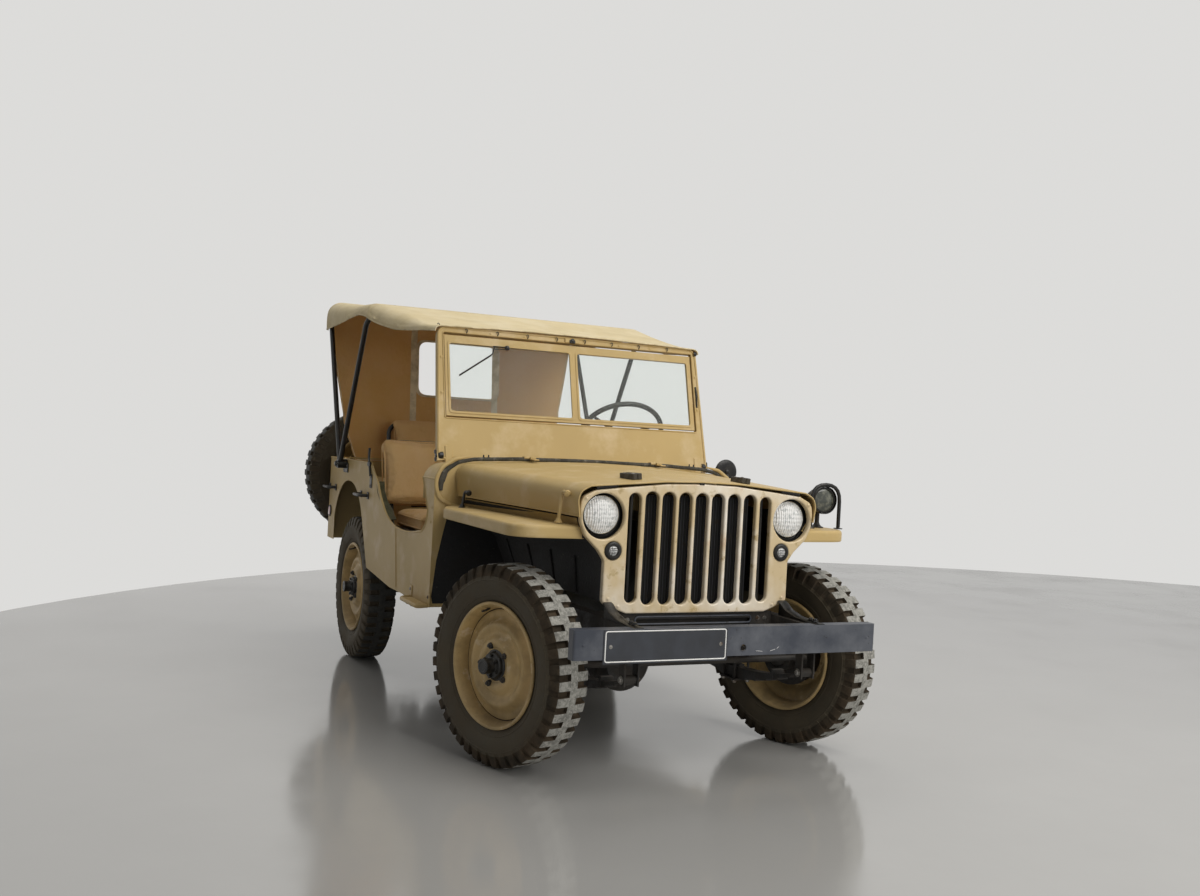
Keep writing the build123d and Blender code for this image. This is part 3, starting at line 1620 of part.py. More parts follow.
# Rear bench between the wheel houses
bench_half_width = 430.0
bench_front_behind = 2075.0
bench_rear_behind = 2440.0
bench_back_behind = 2500.0
bench_pan_z = 770.0
bench_back_z = 1200.0
bench_back_low = 910.0
bench_lean = Plane(
    origin=(front_axle_x - bench_rear_behind, 0, bench_pan_z),
    x_dir=(0, 1, 0),
    z_dir=(bench_back_z - bench_pan_z, 0, bench_back_behind - bench_rear_behind),
)
bench_rise = bench_back_z - bench_pan_z
bench_stretch = hypot(bench_rise, bench_back_behind - bench_rear_behind) / bench_rise

# Columns: middle; half-width, front, rear and back distances, pan and back heights
front_seat = (seat_half_width, seat_front_behind, seat_rear_behind)
front_seat = front_seat + (seat_back_behind, seat_pan_z, seat_back_z)
bench = (bench_half_width, bench_front_behind, bench_rear_behind)
bench = bench + (bench_back_behind, bench_pan_z, bench_back_z)
seat_table = [(-seat_middle_y,) + front_seat, (seat_middle_y,) + front_seat, (0,) + bench]
with BuildPart() as seat_frames:
    for middle, half, front, rear, back, pan_z, back_z in seat_table:
        side_path = []
        for side in (-1, 1):
            tube_y = middle + side * (half - seat_tube)
            side_path.append(
                [
                    (front_axle_x - front, tube_y, floor_top + seat_gap),
                    (front_axle_x - front, tube_y, pan_z),
                    (front_axle_x - rear, tube_y, pan_z),
                    (front_axle_x - back, tube_y, back_z),
                ]
            )
            leg_x = front_axle_x - rear + seat_bend
            add(rod((leg_x, tube_y, floor_top + seat_gap), (leg_x, tube_y, pan_z), seat_tube))
        add(tubing(side_path[0] + side_path[1][::-1], seat_tube, seat_bend))
        pan_rear_x = front_axle_x - rear + seat_bend / 2
        pan_front_x = front_axle_x - front - seat_bend / 2
        add(
            block(
                (pan_rear_x, middle - half + seat_tube, pan_z - pan_thickness / 2),
                (pan_front_x, middle + half - seat_tube, pan_z + pan_thickness / 2),
            )
        )
seat_frames.part.label = "seat_frames"
export_step(seat_frames.part, "parts/seat_frames.step")

# Columns: middle, half-width, front, rear, pan height, back plane, low, high, stretch
cushion_table = {
    "front_cushions": [
        (side * seat_middle_y, seat_half_width, seat_front_behind, seat_rear_behind, seat_pan_z)
        + (back_lean, back_cushion_low, seat_back_z, back_stretch)
        for side in (-1, 1)
    ],
    "rear_cushions": [
        (0, bench_half_width, bench_front_behind, bench_rear_behind, bench_pan_z)
        + (bench_lean, bench_back_low, bench_back_z, bench_stretch)
    ],
}
for name, rows in cushion_table.items():
    with BuildPart() as cushions:
        for middle, half, front, rear, pan_z, lean, low, high, stretch in rows:
            clear_half = half - 2 * seat_tube - seat_gap
            foot = pan_z + seat_tube + seat_gap
            with BuildSketch(Plane.XY.offset(foot)):
                with Locations((front_axle_x - (front + rear - seat_bend) / 2, middle)):
                    RectangleRounded(rear - front - seat_bend, 2 * half - seat_tube, cushion_round * 2)
            extrude(amount=cushion_height - seat_tube)
            with BuildSketch(lean.offset(-back_cushion_depth / 2)):
                back_height = (high - low - seat_tube * 3) * stretch
                back_middle = (low - pan_z) * stretch + back_height / 2
                with Locations((middle, back_middle)):
                    RectangleRounded(2 * clear_half, back_height, cushion_round * 2)
            extrude(amount=back_cushion_depth)
        fillet(cushions.faces().sort_by(Axis.Z)[-1].edges(), cushion_round / 2)
    cushions.part.label = name
    export_step(cushions.part, "parts/" + name + ".step")

# Mirror on the left, with its arm from the cowl side
mirror_behind = 800.0
mirror_z = 1055.0
mirror_radius = 58.0
mirror_depth = 14.0
mirror_arm_radius = 6.0
mirror_arm_z = 960.0
mirror_foot_behind = 730.0
mirror_reach = 40.0
mirror_y = body_half_width + mirror_reach
mirror_x = front_axle_x - mirror_behind
foot_x = front_axle_x - mirror_foot_behind
with BuildPart() as side_mirror:
    add(
        tubing(
            [
                (foot_x, body_half_width + seat_gap, mirror_arm_z),
                (foot_x, mirror_y, mirror_arm_z),
                (mirror_x + mirror_depth / 2, mirror_y, mirror_z),
            ],
            mirror_arm_radius,
            mirror_arm_radius * 2,
        )
    )
    with BuildSketch(Plane.YZ.offset(mirror_x)):
        with Locations((mirror_y, mirror_z)):
            Circle(mirror_radius)
    extrude(amount=mirror_depth)
    add(
        rod(
            (foot_x, body_half_width + seat_gap, mirror_arm_z),
            (foot_x, body_half_width + seat_gap + sheet, mirror_arm_z),
            mirror_arm_radius * 3,
        )
    )
side_mirror.part.label = "side_mirror"
export_step(side_mirror.part, "parts/side_mirror.step")

# Lifting handles on both sides
handle_radius = 8.0
handle_reach = 42.0
handle_length = 125.0
handle_bend = 18.0
# Columns: distance behind the front axle, height
handle_places = [(1803.0, 831.0), (2525.0, 850.0)]
with BuildPart() as body_handles:
    for side in (-1, 1):
        near = side * (body_half_width + seat_gap)
        far = side * (body_half_width + handle_reach)
        for distance, z in handle_places:
            ahead_x = front_axle_x - distance + handle_length / 2
            back_x = front_axle_x - distance - handle_length / 2
            add(
                tubing(
                    [(ahead_x, near, z), (ahead_x, far, z), (back_x, far, z), (back_x, near, z)],
                    handle_radius,
                    handle_bend,
                )
            )
body_handles.part.label = "body_handles"
export_step(body_handles.part, "parts/body_handles.step")

# Gear levers and pedals standing on the floor and the toe board
lever_radius = 7.0
knob_radius = 17.0
lever_y = 30.0
lever_pitch = 70.0
lever_foot_behind = 1010.0
lever_lean = 60.0
lever_heights = (330.0, 230.0, 230.0)
pedal_half_width = 28.0
pedal_pitch = 95.0
pedal_y = 260.0
pedal_stalk = 90.0
pedal_count = 3
# Share of the toe board at which the pedals stand, and their length as a share of their width
pedal_share = 0.55
pedal_length_share = 1.3
toe_slope = atan2(toe_top_z - floor_bottom, toe_behind - toe_top_behind)
with BuildPart() as floor_controls:
    for number, height in enumerate(lever_heights):
        foot_x = front_axle_x - lever_foot_behind - number * lever_pitch / 2
        foot = (foot_x, lever_y - number * lever_pitch)
        top = (foot[0] - lever_lean, foot[1], floor_top + height)
        add(rod((foot[0], foot[1], floor_top + seat_gap + sheet), top, lever_radius))
        boot_low = (foot[0], foot[1], floor_top + seat_gap)
        add(rod(boot_low, (foot[0], foot[1], floor_top + 2 * sheet), knob_radius * 2))
        with Locations(top):
            Sphere(knob_radius)
    for number in range(pedal_count):
        seat_x = front_axle_x - toe_behind + pedal_share * (toe_behind - toe_top_behind)
        seat_z = floor_top + pedal_share * (toe_top_z - floor_bottom)
        normal = Vector(-sin(toe_slope), 0, cos(toe_slope))
        start = Vector(seat_x, pedal_y + number * pedal_pitch, seat_z) + normal * seat_gap
        end = start + normal * pedal_stalk
        add(rod(start, end, lever_radius))
        with BuildSketch(Plane(origin=end, x_dir=(0, 1, 0), z_dir=normal)):
            pedal_width = 2 * pedal_half_width
            RectangleRounded(pedal_width, pedal_width * pedal_length_share, pedal_half_width / 3)
        extrude(amount=lever_radius)
floor_controls.part.label = "floor_controls"
export_step(floor_controls.part, "parts/floor_controls.step")

# Rear bumperettes from the rail ends
bumperette_height = 78.0
bumperette_wall = 8.0
bumperette_depth = 88.0
bumperette_inner = 215.0
bumperette_outer = 462.0
bumperette_corner = 40.0
bumperette_z = rail_top - (rail_height + bumperette_height) / 2
with BuildPart() as rear_bumperettes:
    for side in (-1, 1):
        plans = []
        for inset in (0, bumperette_wall):
            back_x = rail_rear_x - bumperette_depth + inset
            near = bumperette_inner + inset
            far = bumperette_outer - inset
            plans.append(
                [
                    (rail_rear_x - seat_gap, side * near),
                    (back_x, side * (near + bumperette_corner)),
                    (back_x, side * (far - bumperette_corner)),
                    (rail_rear_x - seat_gap, side * far),
                ]
            )
        outline = plans[0] + plans[1][::-1]
        add(panel(Plane.XY.offset(bumperette_z), outline, bumperette_height))
        add(
            block(
                (
                    rail_rear_x - seat_gap - bumperette_wall,
                    min(side * bumperette_inner, side * bumperette_outer),
                    bumperette_z,
                ),
                (
                    rail_rear_x - seat_gap,
                    max(side * bumperette_inner, side * bumperette_outer),
                    bumperette_z + bumperette_height,
                ),
            )
        )
rear_bumperettes.part.label = "rear_bumperettes"
export_step(rear_bumperettes.part, "parts/rear_bumperettes.step")

# Towing hook on the rear cross member, with its ring bore across the car
hook_bore_radius = 27.0
hook_wall = 17.0
hook_width = 40.0
hook_shank = 125.0
hook_plate_half = 60.0
hook_plate = 12.0
hook_z = (rail_top + rail_bottom) / 2
hook_x = rail_rear_x - seat_gap - hook_shank
with BuildPart() as tow_hook:
    with BuildSketch(Plane.XZ.offset(-hook_width / 2)):
        with Locations((hook_x, hook_z)):
            Circle(hook_bore_radius + hook_wall)
    extrude(amount=hook_width)
    add(
        block(
            (hook_x, -hook_width / 2, hook_z - hook_wall),
            (rail_rear_x - seat_gap - hook_plate, hook_width / 2, hook_z + hook_wall),
        )
    )
    add(
        block(
            (rail_rear_x - seat_gap - hook_plate, -hook_plate_half, rail_bottom),
            (rail_rear_x - seat_gap, hook_plate_half, rail_top),
        )
    )
    with BuildSketch(Plane.XZ.offset(-hook_width / 2)):
        with Locations((hook_x, hook_z)):
            Circle(hook_bore_radius)
    extrude(amount=hook_width, mode=Mode.SUBTRACT)
tow_hook.part.label = "tow_hook"
export_step(tow_hook.part, "parts/tow_hook.step")
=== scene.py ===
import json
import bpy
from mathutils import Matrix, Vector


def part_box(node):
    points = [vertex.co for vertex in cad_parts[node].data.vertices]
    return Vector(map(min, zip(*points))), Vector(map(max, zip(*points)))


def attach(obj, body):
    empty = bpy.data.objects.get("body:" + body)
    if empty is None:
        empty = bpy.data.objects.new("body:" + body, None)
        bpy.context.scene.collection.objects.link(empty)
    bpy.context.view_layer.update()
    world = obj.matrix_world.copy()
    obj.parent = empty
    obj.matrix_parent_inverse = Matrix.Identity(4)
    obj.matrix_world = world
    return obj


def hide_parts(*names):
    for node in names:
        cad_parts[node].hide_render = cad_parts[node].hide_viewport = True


bl_info = {
    "name": "Canvas-topped army 4x4 car",
    "version": (1, 0, 0),
    "blender": (4, 5, 0),
    "location": "View3D > Sidebar > Army car",
    "description": "Dresses the packed car with its finishes, canvas, tyres, lamps and trim",
    "category": "Object",
}

import bmesh
import bpy
from math import atan2, cos, hypot, pi, radians, sin, sqrt, tau
from mathutils.bvhtree import BVHTree
from mathutils import Matrix, Vector
from mathutils.noise import noise

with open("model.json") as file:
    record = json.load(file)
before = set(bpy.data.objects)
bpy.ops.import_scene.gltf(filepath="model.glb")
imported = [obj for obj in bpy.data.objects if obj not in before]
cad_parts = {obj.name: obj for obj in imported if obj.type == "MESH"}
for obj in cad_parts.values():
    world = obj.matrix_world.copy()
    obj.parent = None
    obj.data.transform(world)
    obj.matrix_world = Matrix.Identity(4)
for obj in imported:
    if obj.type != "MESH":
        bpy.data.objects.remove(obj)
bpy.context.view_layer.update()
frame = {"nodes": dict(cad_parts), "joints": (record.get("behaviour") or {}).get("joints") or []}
joints = {joint["name"]: joint for joint in frame["joints"]}
MM = 0.001
# Turns a frame in metres into one whose forms are drawn in mm
IN_MM = Matrix.Scale(MM, 4)
UP = Vector((0, 0, 1))
LEFT = Vector((0, 1, 0))
AHEAD = Vector((1, 0, 0))


def node_box(name):
    """Lowest and highest corner of a CAD node."""
    low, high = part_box(name)
    return Vector(low), Vector(high)


def joint_place(name):
    """Point and direction of a joint."""
    return Vector(joints[name]["pos_m"]), Vector(joints[name]["axis"]).normalized()


# Sizes and colours that a user would change


class CarColours(bpy.types.PropertyGroup):
    """Colours of the car's finishes."""

    paint: bpy.props.FloatVectorProperty(
        name="Sand paint", description="Body paint", subtype="COLOR", size=3, default=(0.545, 0.398, 0.176)
    )
    bare_patch: bpy.props.FloatVectorProperty(
        name="Worn paint", description="Pale primer where the paint is rubbed", subtype="COLOR", size=3,
        default=(0.86, 0.80, 0.70),
    )
    wheel: bpy.props.FloatVectorProperty(
        name="Wheel paint", description="Tan of the rims and discs", subtype="COLOR", size=3,
        default=(0.60, 0.42, 0.178),
    )
    bumper: bpy.props.FloatVectorProperty(
        name="Bumper paint", description="Slate paint of the bumper", subtype="COLOR", size=3,
        default=(0.037, 0.043, 0.058),
    )
    black: bpy.props.FloatVectorProperty(
        name="Black paint", description="Chassis, hubs and bows", subtype="COLOR", size=3,
        default=(0.007, 0.007, 0.007),
    )
    canvas: bpy.props.FloatVectorProperty(
        name="Canvas", description="Outside of the canvas top", subtype="COLOR", size=3,
        default=(0.77, 0.64, 0.375),
    )
    # Darker, browner colour of the canvas's inside faces: painted shade of the shaded, backlit canvas
    canvas_inside_shade: bpy.props.FloatVectorProperty(
        name="Canvas painted shade", description="Inside of the canvas top", subtype="COLOR", size=3,
        default=(0.68, 0.395, 0.14),
    )
    seat: bpy.props.FloatVectorProperty(
        name="Seat canvas", description="Seat covers", subtype="COLOR", size=3, default=(0.76, 0.49, 0.215)
    )
    rubber: bpy.props.FloatVectorProperty(
        name="Tyre rubber", description="Sidewalls of the tyres", subtype="COLOR", size=3,
        default=(0.078, 0.064, 0.041),
    )
    tread: bpy.props.FloatVectorProperty(
        name="Tread faces", description="Rubbed faces of the tread", subtype="COLOR", size=3,
        default=(0.33, 0.325, 0.295),
    )
    webbing: bpy.props.FloatVectorProperty(
        name="Webbing", description="Hood seal strip", subtype="COLOR", size=3, default=(0.085, 0.078, 0.062)
    )


class TyreSizes(bpy.types.PropertyGroup):
    """Tread of the tyres."""

    lugs: bpy.props.IntProperty(name="Lugs", description="Lugs on each side of the tread", default=40, min=12)
    groove_depth: bpy.props.FloatProperty(
        name="Groove depth", description="Depth of the grooves", default=13 * MM, unit="LENGTH"
    )
    rib: bpy.props.FloatProperty(
        name="Centre rib", description="Half-width of the centre rib", default=16.5 * MM, unit="LENGTH"
    )


class CanvasSizes(bpy.types.PropertyGroup):
    """Canvas top."""

    thickness: bpy.props.FloatProperty(
        name="Thickness", description="Thickness of the canvas", default=2.4 * MM, unit="LENGTH"
    )
    hem: bpy.props.FloatProperty(
        name="Hem", description="Radius of the rolled hem", default=3.2 * MM, unit="LENGTH"
    )
    crown: bpy.props.FloatProperty(
        name="Crown", description="Rise of the roof's middle over its edges", default=10 * MM, unit="LENGTH"
    )
    sag: bpy.props.FloatProperty(
        name="Sag", description="Drop of the canvas between its bows", default=12 * MM, unit="LENGTH"
    )


class TrimSizes(bpy.types.PropertyGroup):
    """Small parts."""

    rim_bead: bpy.props.FloatProperty(
        name="Rolled edge", description="Radius of the rolled edge round the door cuts", default=5 * MM,
        unit="LENGTH",
    )
    seal_width: bpy.props.FloatProperty(
        name="Seal width", description="Width of the webbing round the hood's rear edge", default=27 * MM,
        unit="LENGTH",
    )


class StageSizes(bpy.types.PropertyGroup):
    """Camera, lamps and floor."""

    camera_place: bpy.props.FloatVectorProperty(
        name="Camera place", description="Where the camera stands", subtype="XYZ", unit="LENGTH", size=3,
        default=(5.0632, -2.1303, 1.1625),
    )
    camera_yaw: bpy.props.FloatProperty(
        name="Camera yaw", description="Heading of the view", subtype="ANGLE", default=-3.5827
    )
    camera_pitch: bpy.props.FloatProperty(
        name="Camera pitch", description="Tilt of the view", subtype="ANGLE", default=-0.005
    )
    camera_roll: bpy.props.FloatProperty(
        name="Camera roll", description="Lean of the view", subtype="ANGLE", default=0.054
    )
    lens: bpy.props.FloatProperty(name="Lens", description="Focal length in millimetres", default=35.02)
    floor_colour: bpy.props.FloatVectorProperty(
        name="Floor", description="Pale floor", subtype="COLOR", size=3, default=(0.42, 0.416, 0.404)
    )
    wall_colour: bpy.props.FloatVectorProperty(
        name="Background", description="Pale background", subtype="COLOR", size=3, default=(0.72, 0.715, 0.70)
    )


GROUPS = {
    "car_colours": CarColours,
    "tyre_sizes": TyreSizes,
    "canvas_sizes": CanvasSizes,
    "trim_sizes": TrimSizes,
    "stage_sizes": StageSizes,
}


# Shader node groups


def add_node(tree, kind, place=(0, 0), **values):
    """New node with its settings and input values."""
    node = tree.nodes.new(kind)
    node.location = place
    for name, value in values.items():
        if hasattr(node, name):
            setattr(node, name, value)
        else:
            node.inputs[name.replace("_", " ")].default_value = value
    return node


def new_group(name, inputs, outputs):
    """Empty shader group with float inputs and outputs."""
    group = bpy.data.node_groups.new(name, "ShaderNodeTree")
    for label, value in inputs:
        socket = group.interface.new_socket(label, in_out="INPUT", socket_type="NodeSocketFloat")
        socket.default_value = value
    for label in outputs:
        group.interface.new_socket(label, in_out="OUTPUT", socket_type="NodeSocketFloat")
    source = group.nodes.new("NodeGroupInput")
    sink = group.nodes.new("NodeGroupOutput")
    return group, source, sink


def patches_group():
    """Soft-edged random patches: rubbed paint, dust, stains."""
    group, source, sink = new_group(
        "patches", [("Scale", 4.0), ("Amount", 0.5), ("Softness", 0.1), ("Detail", 5.0)], ["Mask"]
    )
    place = add_node(group, "ShaderNodeTexCoord")
    cloud = add_node(group, "ShaderNodeTexNoise", Roughness=0.62)
    spread = add_node(group, "ShaderNodeMapRange", To_Min=0.0, To_Max=1.0)
    low = add_node(group, "ShaderNodeMath", operation="SUBTRACT")
    group.links.new(place.outputs["Object"], cloud.inputs["Vector"])
    group.links.new(source.outputs["Scale"], cloud.inputs["Scale"])
    group.links.new(source.outputs["Detail"], cloud.inputs["Detail"])
    group.links.new(source.outputs["Amount"], low.inputs[0])
    group.links.new(source.outputs["Softness"], low.inputs[1])
    group.links.new(low.outputs[0], spread.inputs["From Min"])
    group.links.new(source.outputs["Amount"], spread.inputs["From Max"])
    group.links.new(cloud.outputs["Fac"], spread.inputs["Value"])
    group.links.new(spread.outputs["Result"], sink.inputs["Mask"])
    return group


def weave_group():
    """Crossing threads of a cloth, with slubs."""
    group, source, sink = new_group("weave", [("Threads", 700.0), ("Slub", 0.35)], ["Height", "Shade"])
    place = add_node(group, "ShaderNodeTexCoord")
    parts = add_node(group, "ShaderNodeSeparateXYZ")
    group.links.new(place.outputs["Object"], parts.inputs[0])
    waves = []
    for first, second in (("X", "Y"), ("Y", "Z")):
        total = add_node(group, "ShaderNodeMath", operation="ADD")
        group.links.new(parts.outputs[first], total.inputs[0])
        group.links.new(parts.outputs[second], total.inputs[1])
        scaled = add_node(group, "ShaderNodeMath", operation="MULTIPLY")
        group.links.new(total.outputs[0], scaled.inputs[0])
        group.links.new(source.outputs["Threads"], scaled.inputs[1])
        wave = add_node(group, "ShaderNodeMath", operation="SINE")
        group.links.new(scaled.outputs[0], wave.inputs[0])
        waves.append(wave)
    both = add_node(group, "ShaderNodeMath", operation="MULTIPLY")
    group.links.new(waves[0].outputs[0], both.inputs[0])
    group.links.new(waves[1].outputs[0], both.inputs[1])
    slub = add_node(group, "ShaderNodeTexNoise", Scale=260.0, Detail=2.0)
    group.links.new(place.outputs["Object"], slub.inputs["Vector"])
    mixed = add_node(group, "ShaderNodeMath", operation="MULTIPLY_ADD")
    group.links.new(slub.outputs["Fac"], mixed.inputs[0])
    group.links.new(source.outputs["Slub"], mixed.inputs[1])
    group.links.new(both.outputs[0], mixed.inputs[2])
    group.links.new(mixed.outputs[0], sink.inputs["Height"])
    group.links.new(slub.outputs["Fac"], sink.inputs["Shade"])
    return group


def dust_group():
    """Dust that lies on what faces up and on what is low on the car."""
    group, source, sink = new_group(
        "dust", [("Up", 0.5), ("Low", 0.5), ("Low Height", 0.5), ("Scale", 9.0)], ["Mask"]
    )
    geometry = add_node(group, "ShaderNodeNewGeometry")
    place = add_node(group, "ShaderNodeTexCoord")
    normal = add_node(group, "ShaderNodeSeparateXYZ")
    spot = add_node(group, "ShaderNodeSeparateXYZ")
    group.links.new(geometry.outputs["Normal"], normal.inputs[0])
    group.links.new(place.outputs["Object"], spot.inputs[0])
    facing = add_node(group, "ShaderNodeMath", operation="MULTIPLY", use_clamp=True)
    group.links.new(normal.outputs["Z"], facing.inputs[0])
    group.links.new(source.outputs["Up"], facing.inputs[1])
    fall = add_node(group, "ShaderNodeMapRange", From_Min=0.0, To_Min=1.0, To_Max=0.0)
    group.links.new(spot.outputs["Z"], fall.inputs["Value"])
    group.links.new(source.outputs["Low Height"], fall.inputs["From Max"])
    lying = add_node(group, "ShaderNodeMath", operation="MULTIPLY_ADD", use_clamp=True)
    group.links.new(fall.outputs["Result"], lying.inputs[0])
    group.links.new(source.outputs["Low"], lying.inputs[1])
    group.links.new(facing.outputs[0], lying.inputs[2])
    cloud = add_node(group, "ShaderNodeTexNoise", Detail=6.0, Roughness=0.7)
    group.links.new(place.outputs["Object"], cloud.inputs["Vector"])
    group.links.new(source.outputs["Scale"], cloud.inputs["Scale"])
    broken = add_node(group, "ShaderNodeMath", operation="MULTIPLY", use_clamp=True)
    group.links.new(lying.outputs[0], broken.inputs[0])
    group.links.new(cloud.outputs["Fac"], broken.inputs[1])
    group.links.new(broken.outputs[0], sink.inputs["Mask"])
    return group


def grain_group():
    """Fine unevenness of paint, rubber or cast metal."""
    group, source, sink = new_group(
        "grain", [("Scale", 400.0), ("Wave Scale", 6.0), ("Wave", 0.5)], ["Height"]
    )
    place = add_node(group, "ShaderNodeTexCoord")
    fine = add_node(group, "ShaderNodeTexNoise", Detail=3.0)
    broad = add_node(group, "ShaderNodeTexNoise", Detail=2.0)
    total = add_node(group, "ShaderNodeMath", operation="MULTIPLY_ADD")
    group.links.new(place.outputs["Object"], fine.inputs["Vector"])
    group.links.new(place.outputs["Object"], broad.inputs["Vector"])
    group.links.new(source.outputs["Scale"], fine.inputs["Scale"])
    group.links.new(source.outputs["Wave Scale"], broad.inputs["Scale"])
    group.links.new(broad.outputs["Fac"], total.inputs[0])
    group.links.new(source.outputs["Wave"], total.inputs[1])
    group.links.new(fine.outputs["Fac"], total.inputs[2])
    group.links.new(total.outputs[0], sink.inputs["Height"])
    return group


EFFECTS = {}


def effect(name):
    """Shader group by name, built once."""
    makers = {"patches": patches_group, "weave": weave_group, "dust": dust_group, "grain": grain_group}
    if name not in EFFECTS:
        EFFECTS[name] = makers[name]()
    return EFFECTS[name]


def place_effect(tree, name, **values):
    """Group node with its own values."""
    node = tree.nodes.new("ShaderNodeGroup")
    node.node_tree = effect(name)
    for label, value in values.items():
        node.inputs[label.replace("_", " ")].default_value = value
    return node


class Finish:
    """A material built up in layers of colour, roughness and bump."""

    def __init__(self, name, colour, roughness=0.5, metallic=0.0):
        self.material = bpy.data.materials.new(name)
        self.material.use_nodes = True
        self.tree = self.material.node_tree
        self.shader = self.tree.nodes["Principled BSDF"]
        self.colour = None
        self.rough = None
        self.last_bump = None
        self.base = (*colour, 1.0)
        self.base_rough = roughness
        self.shader.inputs["Base Color"].default_value = self.base
        self.shader.inputs["Roughness"].default_value = roughness
        self.shader.inputs["Metallic"].default_value = metallic
        self.material.diffuse_color = self.base

    def layer(self, mask, colour, rough=None):
        """Lays a colour, and a roughness, where a mask says."""
        mix = self.tree.nodes.new("ShaderNodeMix")
        mix.data_type = "RGBA"
        self.tree.links.new(mask, mix.inputs[0])
        if self.colour is None:
            mix.inputs[6].default_value = self.base
        else:
            self.tree.links.new(self.colour, mix.inputs[6])
        mix.inputs[7].default_value = (*colour, 1.0)
        self.colour = mix.outputs[2]
        self.tree.links.new(self.colour, self.shader.inputs["Base Color"])
        if rough is not None:
            blend = self.tree.nodes.new("ShaderNodeMix")
            self.tree.links.new(mask, blend.inputs[0])
            if self.rough is None:
                blend.inputs[2].default_value = self.base_rough
            else:
                self.tree.links.new(self.rough, blend.inputs[2])
            blend.inputs[3].default_value = rough
            self.rough = blend.outputs[0]
            self.tree.links.new(self.rough, self.shader.inputs["Roughness"])
        return self

    def patches(self, colour, rough=None, **values):
        """Random patches of another colour."""
        return self.layer(place_effect(self.tree, "patches", **values).outputs["Mask"], colour, rough)

    def dust(self, colour, rough=None, **values):
        """Dust on upper and low faces."""
        return self.layer(place_effect(self.tree, "dust", **values).outputs["Mask"], colour, rough)

    def bump(self, height, distance, strength=1.0):
        """Relief from a height, on top of what is there."""
        node = add_node(self.tree, "ShaderNodeBump", Strength=strength, Distance=distance)
        self.tree.links.new(height, node.inputs["Height"])
        if self.last_bump is not None:
            self.tree.links.new(self.last_bump.outputs["Normal"], node.inputs["Normal"])
        self.tree.links.new(node.outputs["Normal"], self.shader.inputs["Normal"])
        self.last_bump = node
        return self

    def grain(self, distance, **values):
        """Fine relief."""
        return self.bump(place_effect(self.tree, "grain", **values).outputs["Height"], distance)

    def gloss(self, coat=0.0, coat_rough=0.2, sheen=0.0, specular=0.5, transmission=0.0, ior=1.5, alpha=1.0):
        """Plain shader values."""
        self.shader.inputs["Coat Weight"].default_value = coat
        self.shader.inputs["Coat Roughness"].default_value = coat_rough
        self.shader.inputs["Sheen Weight"].default_value = sheen
        self.shader.inputs["Specular IOR Level"].default_value = specular
        self.shader.inputs["Transmission Weight"].default_value = transmission
        self.shader.inputs["IOR"].default_value = ior
        self.shader.inputs["Alpha"].default_value = alpha
        return self


def darker(colour, share):
    """Colour scaled by a share."""
    return tuple(channel * share for channel in colour)


def mixed(first, second, share):
    """Colour between two."""
    return tuple(a + (b - a) * share for a, b in zip(first, second))


# Finishes, by name

FINISHES = {}


def sand_paint(colours):
    """Brushed sand paint, a little uneven, dusty low down."""
    made = Finish("sand_paint", colours.paint, 0.42)
    made.patches(darker(colours.paint, 0.86), 0.5, Scale=2.2, Amount=0.72, Softness=0.45, Detail=3.0)
    made.patches(mixed(colours.paint, colours.bare_patch, 0.18), 0.38, Scale=7.0, Amount=0.76, Softness=0.25)
    made.dust((0.20, 0.135, 0.068), 0.75, Up=0.0, Low=0.7, Low_Height=0.62, Scale=14.0)
    made.grain(0.0006, Scale=900.0, Wave_Scale=9.0, Wave=2.2)
    made.gloss(specular=0.18, coat=0.05, coat_rough=0.2)
    return made.material


def wheel_house_paint(colours):
    """Sand paint inside the body, black underseal on what faces down or out to the wheel."""
    made = Finish("wheel_house_paint", colours.paint, 0.5)
    geometry = add_node(made.tree, "ShaderNodeNewGeometry")
    place = add_node(made.tree, "ShaderNodeTexCoord")
    normal = add_node(made.tree, "ShaderNodeSeparateXYZ")
    spot = add_node(made.tree, "ShaderNodeSeparateXYZ")
    made.tree.links.new(geometry.outputs["Normal"], normal.inputs[0])
    made.tree.links.new(place.outputs["Object"], spot.inputs[0])
    side = add_node(made.tree, "ShaderNodeMath", operation="SIGN")
    made.tree.links.new(spot.outputs["Y"], side.inputs[0])
    outward = add_node(made.tree, "ShaderNodeMath", operation="MULTIPLY")
    made.tree.links.new(normal.outputs["Y"], outward.inputs[0])
    made.tree.links.new(side.outputs[0], outward.inputs[1])
    hidden = add_node(made.tree, "ShaderNodeMath", operation="SUBTRACT", use_clamp=True)
    made.tree.links.new(outward.outputs[0], hidden.inputs[0])
    made.tree.links.new(normal.outputs["Z"], hidden.inputs[1])
    made.layer(hidden.outputs[0], (0.006, 0.006, 0.006), 0.8)
    made.grain(0.0006, Scale=900.0, Wave_Scale=9.0, Wave=2.2)
    return made.material


def worn_paint(colours):
    """Sand paint of the grille, rubbed to pale primer in patches."""
    made = Finish("worn_paint", mixed(colours.paint, colours.bare_patch, 0.2), 0.3)
    made.patches(colours.bare_patch, 0.25, Scale=3.2, Amount=0.68, Softness=0.22, Detail=4.0)
    made.patches((0.62, 0.44, 0.30), 0.4, Scale=9.0, Amount=0.72, Softness=0.12, Detail=6.0)
    made.patches(darker(colours.paint, 0.75), 0.5, Scale=22.0, Amount=0.70, Softness=0.12)
    made.grain(0.0005, Scale=900.0, Wave_Scale=12.0, Wave=2.0)
    made.gloss(coat=0.4, coat_rough=0.18)
    return made.material


